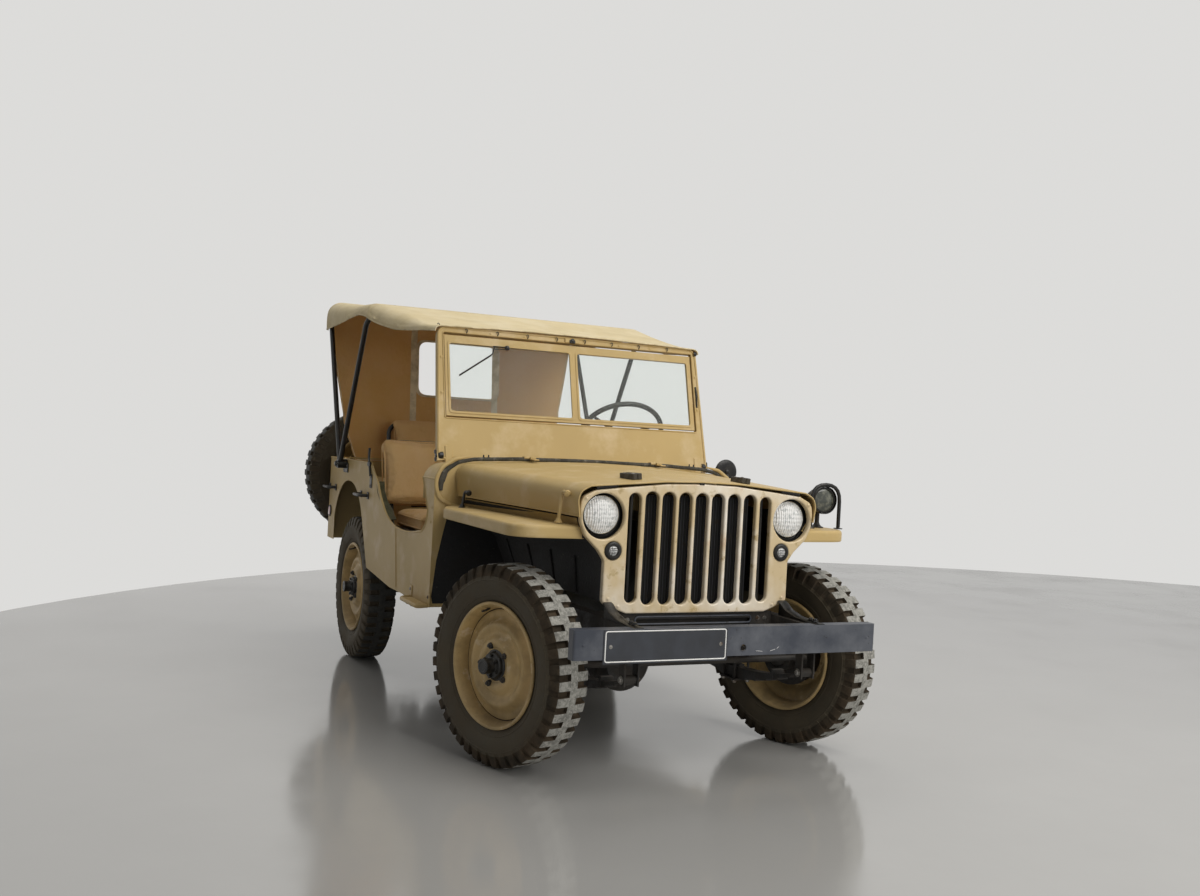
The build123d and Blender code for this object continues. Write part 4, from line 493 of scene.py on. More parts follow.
def wheel_paint(colours):
    """Tan rim paint with road dirt."""
    made = Finish("wheel_paint", colours.wheel, 0.45)
    made.patches(darker(colours.wheel, 0.62), 0.65, Scale=9.0, Amount=0.62, Softness=0.25, Detail=6.0)
    made.patches(mixed(colours.wheel, colours.bare_patch, 0.3), 0.4, Scale=16.0, Amount=0.72, Softness=0.12)
    made.dust((0.19, 0.145, 0.09), 0.85, Up=0.4, Low=0.9, Low_Height=0.45, Scale=26.0)
    made.grain(0.0005, Scale=700.0, Wave_Scale=20.0, Wave=1.5)
    made.gloss(coat=0.2, coat_rough=0.3)
    return made.material


def black_paint(colours):
    """Semi-gloss black of bows, handles, hubs and lamps."""
    made = Finish("black_paint", colours.black, 0.33)
    made.patches((0.022, 0.020, 0.017), 0.5, Scale=14.0, Amount=0.66, Softness=0.2, Detail=6.0)
    made.grain(0.0006, Scale=500.0, Wave_Scale=40.0, Wave=1.0)
    made.gloss(specular=0.35, coat=0.12, coat_rough=0.15)
    return made.material


def chassis_black(colours):
    """Oily, dusty black of frame, axles and springs."""
    made = Finish("chassis_black", darker(colours.black, 0.9), 0.5)
    made.patches((0.034, 0.029, 0.024), 0.8, Scale=11.0, Amount=0.62, Softness=0.22, Detail=7.0)
    made.dust((0.075, 0.062, 0.048), 0.9, Up=0.45, Low=0.35, Low_Height=0.5, Scale=30.0)
    made.grain(0.0012, Scale=300.0, Wave_Scale=60.0, Wave=1.4)
    return made.material


def splash_black(colours):
    """Underseal of the inner aprons, speckled with mud."""
    made = Finish("splash_black", (0.0035, 0.0035, 0.0038), 0.75)
    made.patches((0.060, 0.055, 0.045), 0.9, Scale=70.0, Amount=0.68, Softness=0.03, Detail=4.0)
    made.patches((0.010, 0.009, 0.008), 0.85, Scale=8.0, Amount=0.62, Softness=0.2)
    made.grain(0.0016, Scale=260.0, Wave_Scale=90.0, Wave=1.2)
    return made.material


def bumper_paint(colours):
    """Slate bumper paint, chalky with small scuffs."""
    made = Finish("bumper_paint", colours.bumper, 0.48)
    made.patches(mixed(colours.bumper, (0.25, 0.26, 0.28), 0.35), 0.6, Scale=6.0, Amount=0.68, Softness=0.3)
    made.patches((0.030, 0.030, 0.032), 0.7, Scale=40.0, Amount=0.70, Softness=0.04, Detail=3.0)
    made.grain(0.0006, Scale=500.0, Wave_Scale=14.0, Wave=1.6)
    made.gloss(coat=0.15, coat_rough=0.35)
    return made.material


def plate_enamel(colours):
    """Blank number plate: dark slate enamel."""
    made = Finish("plate_enamel", darker(colours.bumper, 0.42), 0.3)
    made.patches(darker(colours.bumper, 0.7), 0.45, Scale=12.0, Amount=0.66, Softness=0.3)
    made.grain(0.0003, Scale=400.0, Wave_Scale=12.0, Wave=1.0)
    made.gloss(coat=0.5, coat_rough=0.12)
    return made.material


def plate_line(colours):
    """White line round the blank plate."""
    made = Finish("plate_line", (0.82, 0.82, 0.80), 0.4)
    made.patches((0.62, 0.60, 0.56), 0.5, Scale=60.0, Amount=0.68, Softness=0.1)
    return made.material


def canvas_cloth(name, colour, threads, relief, stains=1.0):
    """Woven cotton with faint stains and creases."""
    made = Finish(name, colour, 0.85)
    made.patches(darker(colour, 1 - 0.11 * stains), None, Scale=3.0, Amount=0.62, Softness=0.3, Detail=6.0)
    made.patches(
        mixed(colour, (0.9, 0.85, 0.72), 0.25 * stains), None, Scale=5.5, Amount=0.7, Softness=0.3, Detail=5.0
    )
    weave = place_effect(made.tree, "weave", Threads=threads, Slub=0.5)
    made.bump(weave.outputs["Height"], relief, 0.8)
    made.grain(0.003, Scale=38.0, Wave_Scale=7.0, Wave=1.4)
    made.gloss(sheen=0.12, specular=0.25)
    return made.material


def tyre_rubber(colours):
    """Sidewalls and grooves with brown road dust."""
    made = Finish("tyre_rubber", colours.rubber, 0.78)
    made.patches((0.068, 0.052, 0.034), 0.9, Scale=3.5, Amount=0.64, Softness=0.35, Detail=3.0)
    made.patches(darker(colours.rubber, 0.7), 0.65, Scale=11.0, Amount=0.64, Softness=0.3, Detail=4.0)
    made.grain(0.0006, Scale=500.0, Wave_Scale=60.0, Wave=1.0)
    made.gloss(specular=0.35)
    return made.material


def tread_faces(colours):
    """Pale, scuffed faces of the tread."""
    made = Finish("tread_faces", colours.tread, 0.9)
    made.patches(darker(colours.tread, 0.55), None, Scale=46.0, Amount=0.60, Softness=0.2, Detail=8.0)
    made.patches(mixed(colours.tread, (0.5, 0.48, 0.44), 0.4), None, Scale=120.0, Amount=0.64, Softness=0.12)
    made.grain(0.0008, Scale=320.0, Wave_Scale=120.0, Wave=0.8)
    made.gloss(specular=0.2)
    return made.material


def tread_dark(colours):
    """Black tread of the rear tyres and the spare: a darker copy of the tread faces, painted shade."""
    made = Finish("tread_dark", (0.022, 0.022, 0.020), 0.75)
    made.patches((0.050, 0.050, 0.044), 0.85, Scale=30.0, Amount=0.62, Softness=0.2, Detail=6.0)
    made.grain(0.0006, Scale=320.0, Wave_Scale=120.0, Wave=0.8)
    return made.material


def groove_dust(colours):
    """Brown shoulders of the lugs and floors of the grooves."""
    made = Finish("groove_dust", (0.066, 0.046, 0.029), 0.9)
    made.patches((0.095, 0.072, 0.048), None, Scale=26.0, Amount=0.64, Softness=0.25, Detail=5.0)
    made.patches((0.034, 0.028, 0.020), None, Scale=12.0, Amount=0.62, Softness=0.3)
    made.grain(0.0007, Scale=400.0, Wave_Scale=60.0, Wave=1.0)
    made.gloss(specular=0.2)
    return made.material


def webbing_cloth(colours):
    """Dark canvas webbing of the hood seal."""
    made = Finish("webbing_cloth", colours.webbing, 0.8)
    made.patches(darker(colours.webbing, 0.5), 0.85, Scale=16.0, Amount=0.60, Softness=0.2)
    made.patches(mixed(colours.webbing, (0.4, 0.37, 0.30), 0.3), None, Scale=30.0, Amount=0.68, Softness=0.12)
    weave = place_effect(made.tree, "weave", Threads=1500.0, Slub=0.4)
    made.bump(weave.outputs["Height"], 0.0006, 0.9)
    return made.material


def bright_metal(colours):
    """Plated reflector and rim."""
    made = Finish("bright_metal", (0.80, 0.80, 0.78), 0.16, 1.0)
    made.patches((0.62, 0.62, 0.60), 0.3, Scale=30.0, Amount=0.66, Softness=0.2)
    made.grain(0.0002, Scale=500.0, Wave_Scale=40.0, Wave=1.0)
    return made.material


def bare_steel(colours):
    """Dull steel of pins, nuts and rods."""
    made = Finish("bare_steel", (0.32, 0.31, 0.29), 0.42, 1.0)
    made.patches((0.14, 0.10, 0.07), 0.7, Scale=40.0, Amount=0.62, Softness=0.15, Detail=6.0)
    made.grain(0.0004, Scale=600.0, Wave_Scale=60.0, Wave=1.0)
    return made.material


def clear_glass(colours):
    """Flat window glass."""
    made = Finish("clear_glass", (0.93, 0.97, 0.95), 0.03)
    made.grain(0.00008, Scale=8.0, Wave_Scale=3.0, Wave=1.0)
    made.gloss(transmission=0.96, ior=1.05, specular=0.5)
    return made.material


def lens_painted_reflection(colours):
    """Lamp lens with pressed flutes; its near-white colour with little transmission is a painted reflection of the
    lit reflector behind it.
    """
    made = Finish("lens_painted_reflection", (1.0, 1.0, 0.99), 0.08)
    place = add_node(made.tree, "ShaderNodeTexCoord")
    flutes = add_node(made.tree, "ShaderNodeTexWave", Scale=38.0, Distortion=0.0)
    flutes.bands_direction = "Y"
    made.tree.links.new(place.outputs["Object"], flutes.inputs["Vector"])
    bars = add_node(made.tree, "ShaderNodeTexWave", Scale=21.0, Distortion=0.0)
    bars.bands_direction = "Z"
    made.tree.links.new(place.outputs["Object"], bars.inputs["Vector"])
    made.bump(flutes.outputs["Fac"], 0.0022, 0.8)
    made.bump(bars.outputs["Fac"], 0.0016, 0.6)
    made.patches((0.62, 0.64, 0.64), 0.12, Scale=70.0, Amount=0.62, Softness=0.1)
    made.gloss(transmission=0.2, ior=1.3, specular=0.6, coat=0.6, coat_rough=0.04)
    return made.material


def smoked_glass(colours):
    """Dark lens of the shielded lamp."""
    made = Finish("smoked_glass", (0.035, 0.040, 0.030), 0.12)
    made.patches((0.12, 0.12, 0.09), 0.3, Scale=40.0, Amount=0.6, Softness=0.15, Detail=4.0)
    made.gloss(coat=0.8, coat_rough=0.05)
    return made.material


def radiator_fins(colours):
    """Black fins, close set and upright."""
    made = Finish("radiator_fins", (0.012, 0.012, 0.012), 0.38)
    place = add_node(made.tree, "ShaderNodeTexCoord")
    fins = add_node(made.tree, "ShaderNodeTexWave", Scale=26.0, Distortion=0.15, Detail=1.0)
    fins.bands_direction = "Y"
    made.tree.links.new(place.outputs["Object"], fins.inputs["Vector"])
    made.layer(fins.outputs["Fac"], (0.030, 0.031, 0.034), 0.3)
    made.bump(fins.outputs["Fac"], 0.006, 1.0)
    made.patches((0.03, 0.026, 0.02), 0.8, Scale=18.0, Amount=0.7, Softness=0.1)
    made.gloss(specular=0.15)
    return made.material


def painted_wood(colours):
    """Dark, worn wood of the rest blocks."""
    made = Finish("painted_wood", (0.060, 0.052, 0.040), 0.65)
    place = add_node(made.tree, "ShaderNodeTexCoord")
    rings = add_node(made.tree, "ShaderNodeTexWave", Scale=60.0, Distortion=4.0, Detail=3.0)
    rings.bands_direction = "Y"
    made.tree.links.new(place.outputs["Object"], rings.inputs["Vector"])
    made.layer(rings.outputs["Fac"], (0.030, 0.026, 0.020), 0.7)
    made.bump(rings.outputs["Fac"], 0.0008, 0.6)
    return made.material


def engine_paint(colours):
    """Grey-green engine with oil stains."""
    made = Finish("engine_paint", (0.060, 0.066, 0.055), 0.5)
    made.patches((0.020, 0.018, 0.015), 0.3, Scale=8.0, Amount=0.6, Softness=0.2)
    made.dust((0.11, 0.09, 0.065), 0.9, Up=0.6, Low=0.3, Low_Height=0.6, Scale=24.0)
    made.grain(0.0015, Scale=260.0, Wave_Scale=50.0, Wave=1.0)
    return made.material


def dial_face(colours):
    """Black dial face."""
    made = Finish("dial_face", (0.014, 0.014, 0.014), 0.35)
    made.grain(0.0002, Scale=500.0, Wave_Scale=40.0, Wave=0.6)
    return made.material


def dial_marks(colours):
    """Cream marks and needles of the dials."""
    made = Finish("dial_marks", (0.66, 0.62, 0.50), 0.5)
    made.patches((0.5, 0.45, 0.34), None, Scale=200.0, Amount=0.62, Softness=0.2)
    return made.material


def red_lens(colours):
    """Red tail lens."""
    made = Finish("red_lens", (0.36, 0.018, 0.012), 0.14)
    made.grain(0.0008, Scale=90.0, Wave_Scale=30.0, Wave=1.0)
    made.gloss(coat=0.8, coat_rough=0.05)
    return made.material


def strap_cloth(colours):
    """Green safety strap."""
    made = Finish("strap_cloth", (0.085, 0.085, 0.045), 0.85)
    made.patches((0.14, 0.13, 0.075), None, Scale=24.0, Amount=0.6, Softness=0.2)
    weave = place_effect(made.tree, "weave", Threads=1300.0, Slub=0.5)
    made.bump(weave.outputs["Height"], 0.0007, 0.9)
    made.gloss(sheen=0.1, specular=0.2)
    return made.material


def piping_cloth(colours):
    """Sewn piping of the seats and pale window binding."""
    made = Finish("piping_cloth", mixed(colours.canvas, (0.8, 0.74, 0.6), 0.3), 0.85)
    made.patches(darker(colours.canvas, 0.7), None, Scale=18.0, Amount=0.62, Softness=0.2)
    weave = place_effect(made.tree, "weave", Threads=1400.0, Slub=0.4)
    made.bump(weave.outputs["Height"], 0.0004, 0.8)
    return made.material


FINISH_MAKERS = {
    "sand_paint": sand_paint,
    "worn_paint": worn_paint,
    "wheel_paint": wheel_paint,
    "black_paint": black_paint,
    "chassis_black": chassis_black,
    "splash_black": splash_black,
    "bumper_paint": bumper_paint,
    "plate_enamel": plate_enamel,
    "plate_line": plate_line,
    "canvas_cloth": lambda colours: canvas_cloth("canvas_cloth", colours.canvas, 900.0, 0.0006),
    # Inside faces of the canvas: a darker brown copy of the cloth, painted shade
    "canvas_painted_shade": lambda colours: canvas_cloth("canvas_painted_shade", colours.canvas_inside_shade, 900.0, 0.0006, 0.3),
    "seat_cloth": lambda colours: canvas_cloth("seat_cloth", colours.seat, 1100.0, 0.0005, 0.35),
    "tyre_rubber": tyre_rubber,
    "tread_faces": tread_faces,
    "tread_dark": tread_dark,
    "groove_dust": groove_dust,
    "wheel_house_paint": wheel_house_paint,
    "webbing_cloth": webbing_cloth,
    "bright_metal": bright_metal,
    "bare_steel": bare_steel,
    "clear_glass": clear_glass,
    "lens_painted_reflection": lens_painted_reflection,
    "smoked_glass": smoked_glass,
    "radiator_fins": radiator_fins,
    "painted_wood": painted_wood,
    "engine_paint": engine_paint,
    "dial_face": dial_face,
    "dial_marks": dial_marks,
    "red_lens": red_lens,
    "strap_cloth": strap_cloth,
    "piping_cloth": piping_cloth,
}


def finish(name):
    """Material by name, built once."""
    if name not in FINISHES:
        FINISHES[name] = FINISH_MAKERS[name](bpy.context.scene.car_colours)
    return FINISHES[name]


# Shapes


def frame_of(origin, direction, hint=UP):
    """Matrix whose Z follows a direction and whose X lies near a hint."""
    axis_z = Vector(direction).normalized()
    hint = Vector(hint)
    if abs(axis_z.dot(hint.normalized())) > 0.99:
        hint = AHEAD if abs(axis_z.x) < 0.9 else LEFT
    axis_x = (hint - axis_z * hint.dot(axis_z)).normalized()
    axis_y = axis_z.cross(axis_x)
    matrix = Matrix((axis_x, axis_y, axis_z)).transposed().to_4x4()
    matrix.translation = Vector(origin)
    return matrix


def rounded_path(points, radius, steps=5, closed=False):
    """Points of a path with its corners turned to arcs."""
    points = [Vector(point) for point in points]
    count = len(points)
    path = []
    for index, corner in enumerate(points):
        if not closed and index in (0, count - 1):
            path.append(corner)
            continue
        before = points[index - 1] - corner
        after = points[(index + 1) % count] - corner
        angle = before.angle(after, pi)
        if angle > radians(179) or radius <= 0:
            path.append(corner)
            continue
        cut = min(radius / max(1e-6, abs(_tan_half(angle))), before.length * 0.49, after.length * 0.49)
        start = corner + before.normalized() * cut
        end = corner + after.normalized() * cut
        for step in range(steps + 1):
            share = step / steps
            path.append(
                start * (1 - share) ** 2 + corner * (2 * share * (1 - share)) + end * share ** 2
            )
    return path


def _tan_half(angle):
    """Tangent of half an angle."""
    return sin(angle / 2) / max(1e-6, cos(angle / 2))


def resampled(points, count):
    """The same path in equal steps."""
    points = [Vector(point) for point in points]
    reach = [0.0]
    for before, after in zip(points, points[1:]):
        reach.append(reach[-1] + (after - before).length)
    placed = []
    cursor = 0
    for step in range(count):
        want = reach[-1] * step / (count - 1)
        while cursor < len(points) - 2 and reach[cursor + 1] < want:
            cursor += 1
        span = max(1e-9, reach[cursor + 1] - reach[cursor])
        placed.append(points[cursor].lerp(points[cursor + 1], (want - reach[cursor]) / span))
    return placed


class Shape:
    """Joined mesh with its own finishes, put together from swept, turned and folded forms."""

    def __init__(self, matrix=None):
        self.matrix = matrix or Matrix.Identity(4)
        self.vertices = []
        self.faces = []
        self.slots = []
        self.finishes = []

    def finish_index(self, name):
        if name not in self.finishes:
            self.finishes.append(name)
        return self.finishes.index(name)

    def add(self, vertices, faces, name, matrix=None):
        """Vertices and faces in one finish."""
        placed = self.matrix @ matrix if matrix is not None else self.matrix
        base = len(self.vertices)
        index = self.finish_index(name)
        self.vertices.extend(placed @ Vector(vertex) for vertex in vertices)
        self.faces.extend(tuple(base + corner for corner in face) for face in faces)
        self.slots.extend([index] * len(faces))

    def grid(self, rows, name, wrap=False, ends=False, matrix=None, choose=None):
        """Surface over rows of points; wrap closes each row, ends caps first and last."""
        placed = self.matrix @ matrix if matrix is not None else self.matrix
        base = len(self.vertices)
        index = self.finish_index(name)
        width = len(rows[0])
        for row in rows:
            self.vertices.extend(placed @ Vector(point) for point in row)
        for row in range(len(rows) - 1):
            for column in range(width if wrap else width - 1):
                after = (column + 1) % width
                first = base + row * width
                self.faces.append(
                    (first + column, first + after, first + width + after, first + width + column)
                )
                self.slots.append(self.finish_index(choose(row, column)) if choose else index)
        if ends:
            self.faces.append(tuple(base + column for column in reversed(range(width))))
            last = base + (len(rows) - 1) * width
            self.faces.append(tuple(last + column for column in range(width)))
            self.slots.extend([index, index])

    def lathe(self, profile, name, matrix=None, sides=48, choose=None):
        """Turned form about Z; the profile is (radius, height)."""
        rows = []
        for radius, height in profile:
            radius = max(radius, 1e-6)
            rows.append(
                [
                    (radius * cos(tau * side / sides), radius * sin(tau * side / sides), height)
                    for side in range(sides)
                ]
            )
        picker = (lambda row, column: choose(row)) if choose else None
        self.grid(rows, name, wrap=True, matrix=matrix, choose=picker)

    def tube(self, points, radius, name, sides=10, bend=0.0, closed=False, matrix=None, flat=1.0, ends=True):
        """Round bar along a path; flat squeezes it across."""
        path = rounded_path(points, bend, closed=closed) if bend else [Vector(point) for point in points]
        radii = radius if isinstance(radius, (list, tuple)) else [radius] * len(path)
        count = len(path)
        rows = []
        side = None
        for index, point in enumerate(path):
            before = path[index - 1] if index or closed else point
            after = path[(index + 1) % count] if index < count - 1 or closed else point
            along = (after - before).normalized()
            if side is None:
                hint = UP if abs(along.z) < 0.9 else AHEAD
                side = along.cross(hint).normalized()
            side = (side - along * side.dot(along)).normalized()
            across = along.cross(side)
            ring = []
            for step in range(sides):
                turn = tau * step / sides
                ring.append(
                    point + side * (cos(turn) * radii[index]) + across * (sin(turn) * radii[index] * flat)
                )
            rows.append(ring)
        if closed:
            rows.append(rows[0])
        self.grid(rows, name, wrap=True, ends=ends and not closed, matrix=matrix)

    def slab(self, low, high, name, edge=0.002, matrix=None):
        """Box between two corners with its edges chamfered."""
        low, high = Vector(low), Vector(high)
        size = high - low
        edge = min(edge, min(size) * 0.45)
        outline = [(low.x, low.y), (high.x, low.y), (high.x, high.y), (low.x, high.y)]
        cut = rounded_path([(x, y, 0) for x, y in outline], edge, steps=1, closed=True)
        inner = [
            (
                max(low.x + edge, min(high.x - edge, p.x)), max(low.y + edge, min(high.y - edge, p.y))
            ) for p in cut
        ]
        rows = [
            [(x, y, low.z) for x, y in inner],
            [(p.x, p.y, low.z + edge) for p in cut],
            [(p.x, p.y, high.z - edge) for p in cut],
            [(x, y, high.z) for x, y in inner],
        ]
        self.grid(rows, name, wrap=True, ends=True, matrix=matrix)

    def bolt(self, place, direction, name, width=13 * MM, height=6 * MM, sides=6, washer=True, dome=False):
        """Bolt head on its washer."""
        matrix = frame_of(place, direction)
        radius = width / 2
        if washer:
            self.lathe(
                [(radius * 1.5, 0), (radius * 1.5, height * 0.22), (radius * 0.9, height * 0.25)],
                name, matrix=matrix, sides=14,
            )
        if dome:
            profile = [
                (radius, height * 0.2), (radius * 0.92, height * 0.62), (radius * 0.55, height * 0.92),
                (0, height)
            ]
            self.lathe(profile, name, matrix=matrix, sides=12)
            return
        profile = [
            (radius, height * 0.2), (radius, height * 0.82), (radius * 0.86, height), (0, height),
        ]
        self.lathe(profile, name, matrix=matrix, sides=sides)

    def build(self, name, body="car", smooth=32.0, weld=None):
        """Blender object of the shape, riding on a body."""
        mesh = bpy.data.meshes.new(name)
        mesh.from_pydata([tuple(vertex) for vertex in self.vertices], [], self.faces)
        for label in self.finishes:
            mesh.materials.append(finish(label))
        mesh.polygons.foreach_set("material_index", self.slots)
        form = bmesh.new()
        form.from_mesh(mesh)
        if weld:
            bmesh.ops.remove_doubles(form, verts=form.verts, dist=weld)
        bmesh.ops.dissolve_degenerate(form, dist=1e-7, edges=form.edges)
        bmesh.ops.recalc_face_normals(form, faces=form.faces)
        form.to_mesh(mesh)
        form.free()
        mesh.shade_smooth()
        mesh.set_sharp_from_angle(angle=radians(smooth))
        made = bpy.data.objects.new(name, mesh)
        bpy.context.collection.objects.link(made)
        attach(made, body)
        return made


def applied(made):
    """Replaces the object's mesh by what its modifiers make of it."""
    graph = bpy.context.evaluated_depsgraph_get()
    mesh = bpy.data.meshes.new_from_object(made.evaluated_get(graph), depsgraph=graph)
    old = made.data
    made.modifiers.clear()
    made.data = mesh
    bpy.data.meshes.remove(old)
    mesh.name = made.name


def plate_mesh(name, outlines, thickness, bevel, matrix):
    """Pressed plate with holes and rounded lips, from closed flat outlines."""
    curve = bpy.data.curves.new(name, "CURVE")
    curve.dimensions = "2D"
    curve.fill_mode = "BOTH"
    curve.extrude = thickness / 2 - bevel
    curve.bevel_depth = bevel
    curve.bevel_resolution = 3
    curve.offset = -bevel
    for outline in outlines:
        spline = curve.splines.new("POLY")
        spline.points.add(len(outline) - 1)
        for point, place in zip(spline.points, outline):
            point.co = (place[0], place[1], 0, 1)
        spline.use_cyclic_u = True
    holder = bpy.data.objects.new(name + "_curve", curve)
    bpy.context.collection.objects.link(holder)
    graph = bpy.context.evaluated_depsgraph_get()
    mesh = bpy.data.meshes.new_from_object(holder.evaluated_get(graph), depsgraph=graph)
    bpy.data.objects.remove(holder)
    bpy.data.curves.remove(curve)
    mesh.transform(matrix)
    return mesh


# Wheels and tyres

# Columns: distance from the tyre's mid-plane, radius, in millimetres, from the bead out to the tread
TYRE_SIDE = (
    (57.0, 222.5), (60.0, 228.0), (65.5, 238.0), (71.0, 252.0), (75.0, 269.0),
    (77.0, 286.0), (77.0, 303.0), (76.0, 314.0), (75.0, 322.0), (73.5, 331.0), (71.5, 340.0),
    (68.5, 348.5), (64.5, 354.0), (58.0, 356.0), (48.0, 356.6), (36.0, 357.0), (26.0, 357.2), (19.5, 357.4),
    (17.0, 357.4),
    (15.5, 357.5),
)
# Columns: radius of a point on the shoulder, share of the groove's depth there
SHOULDER_FADE = ((308.0, 0.0), (316.0, 0.35), (330.0, 0.75), (345.0, 1.0))
# Share of the pitch, share of the groove's depth
PITCH_STEPS = (
    (0.0, 1.0), (0.10, 1.0), (0.175, 1.0), (0.215, 0.0), (0.36, 0.0), (0.5, 0.0), (0.64, 0.0), (0.785, 0.0),
    (0.825, 1.0), (0.90, 1.0)
)


def fade_at(radius):
    """Share of the groove's depth at a radius on the tyre's shoulder."""
    if radius <= SHOULDER_FADE[0][0]:
        return 0.0
    for (low, a), (high, b) in zip(SHOULDER_FADE, SHOULDER_FADE[1:]):
        if radius <= high:
            return a + (b - a) * (radius - low) / (high - low)
    return 1.0


def make_tyre(node, matrix, body, phase=0.0, tread="tread_faces"):
    """Bar-lugged tyre, its two sides staggered by half a pitch."""
    sizes = bpy.context.scene.tyre_sizes
    lugs = sizes.lugs
    half = [(t * MM, r * MM) for t, r in TYRE_SIDE]
    full = half + [(-t, r) for t, r in reversed(half)]
    columns = []
    for lug in range(lugs):
        for share, _ in PITCH_STEPS:
            columns.append((lug + share) / lugs)
    rows = []
    grooved = []
    for index, (offset, radius) in enumerate(full):
        before = full[max(0, index - 1)]
        after = full[min(len(full) - 1, index + 1)]
        tangent = Vector((after[0] - before[0], after[1] - before[1])).normalized()
        normal = Vector((-tangent.y, tangent.x))
        if normal.y < 0 and radius > 0.34:
            normal = -normal
        if normal.x * offset < 0 and radius <= 0.34:
            normal = -normal
        side_shift = 0.0 if offset > 0 else 0.5
        depth_share = fade_at(radius / MM)
        if abs(offset) <= sizes.rib:
            depth_share = 0.0
        row = []
        deep = []
        for column, turn in enumerate(columns):
            share = PITCH_STEPS[column % len(PITCH_STEPS)][1]
            depth = share * depth_share * sizes.groove_depth
            angle = tau * (turn + side_shift / lugs) + phase
            wobble = noise(Vector((cos(angle) * 9, sin(angle) * 9, offset * 60))) * 0.35 * MM
            spot_t = offset - normal.x * depth
            spot_r = radius - normal.y * depth + (wobble if depth_share < 0.5 else 0)
            row.append((spot_r * cos(angle), spot_r * sin(angle), spot_t))
            deep.append(depth > 4 * MM)
        rows.append(row)
        grooved.append(deep)

    def choose(row, column):
        after = (column + 1) % len(columns)
        radius = min(full[row][1], full[row + 1][1]) / MM
        in_groove = any(
            grooved[r][c] for r in (row, row + 1) for c in (column, after)
        )
        if radius < 312:
            return "tyre_rubber"
        if in_groove or radius < 350:
            # With the black tread of the rear tyres and spare, painted shade, shoulders and grooves stay plain rubber
            return "groove_dust" if tread == "tread_faces" else "tyre_rubber"
        return tread

    shape = Shape(matrix)
    shape.grid(rows, "tyre_rubber", wrap=True, choose=choose)
    for sign in (1, -1):
        # Rim line and bead lip moulded on the sidewall
        shape.lathe(
            [(243 * MM, sign * 68.0 * MM), (245.5 * MM, sign * 70.6 * MM), (248 * MM, sign * 69.8 * MM)],
            "tyre_rubber", sides=96,
        )
        shape.lathe(
            [(299 * MM, sign * 76.6 * MM), (301 * MM, sign * 78.4 * MM), (304 * MM, sign * 76.6 * MM)],
            "tyre_rubber", sides=96,
        )
    # Inner liner down to the rim well
    shape.lathe(
        [(222.5 * MM, 57 * MM), (207 * MM, 55 * MM), (207 * MM, -55 * MM), (222.5 * MM, -57 * MM)],
        "tyre_rubber", sides=64,
    )
    made = shape.build(node + "_cover", body, smooth=38)
    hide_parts(node)
    return made


# Columns: radius, distance outboard, in millimetres, from the flange in to the drum's rim
RIM_FRONT = (
    (207.0, 52.0), (215.0, 56.5), (220.5, 58.0), (223.5, 61.0), (224.0, 65.5), (221.5, 69.0), (217.0, 70.0),
    (213.0, 68.5), (210.0, 64.0), (207.5, 57.0), (204.5, 48.0), (201.5, 37.0), (199.5, 28.0), (198.5, 22.5),
    (197.5, 19.0), (195.5, 18.0), (193.5, 20.5), (190.0, 21.6), (182.0, 22.0), (174.0, 22.6), (168.0, 24.4),
    (162.0, 28.6), (156.0, 34.0), (151.0, 39.6), (147.0, 44.0), (143.0, 46.4), (138.0, 47.0), (132.0, 45.4),
    (126.0, 41.6), (121.0, 38.6), (117.0, 37.0), (112.0, 36.4), (108.0, 37.4), (104.0, 40.0), (98.0, 46.0),
    (92.0, 52.0), (87.0, 55.4), (80.0, 57.6), (72.0, 58.0), (65.0, 55.6), (60.0, 51.4), (50.0, 50.0),
)
RIM_BACK = (
    (207.0, 52.0), (206.0, 50.0), (206.0, -50.0), (207.0, -52.0), (215.0, -56.5), (220.5, -58.0),
    (223.5, -61.0),
    (224.0, -65.5), (221.5, -69.0), (217.0, -70.0), (213.0, -68.5), (210.0, -64.0), (205.0, -50.0),
    (200.0, -36.0),
    (198.0, -20.0), (198.0, 12.0), (184.0, 15.0), (168.0, 18.0), (156.0, 27.0), (147.0, 36.0), (138.0, 41.0),
    (122.0, 37.0),
)


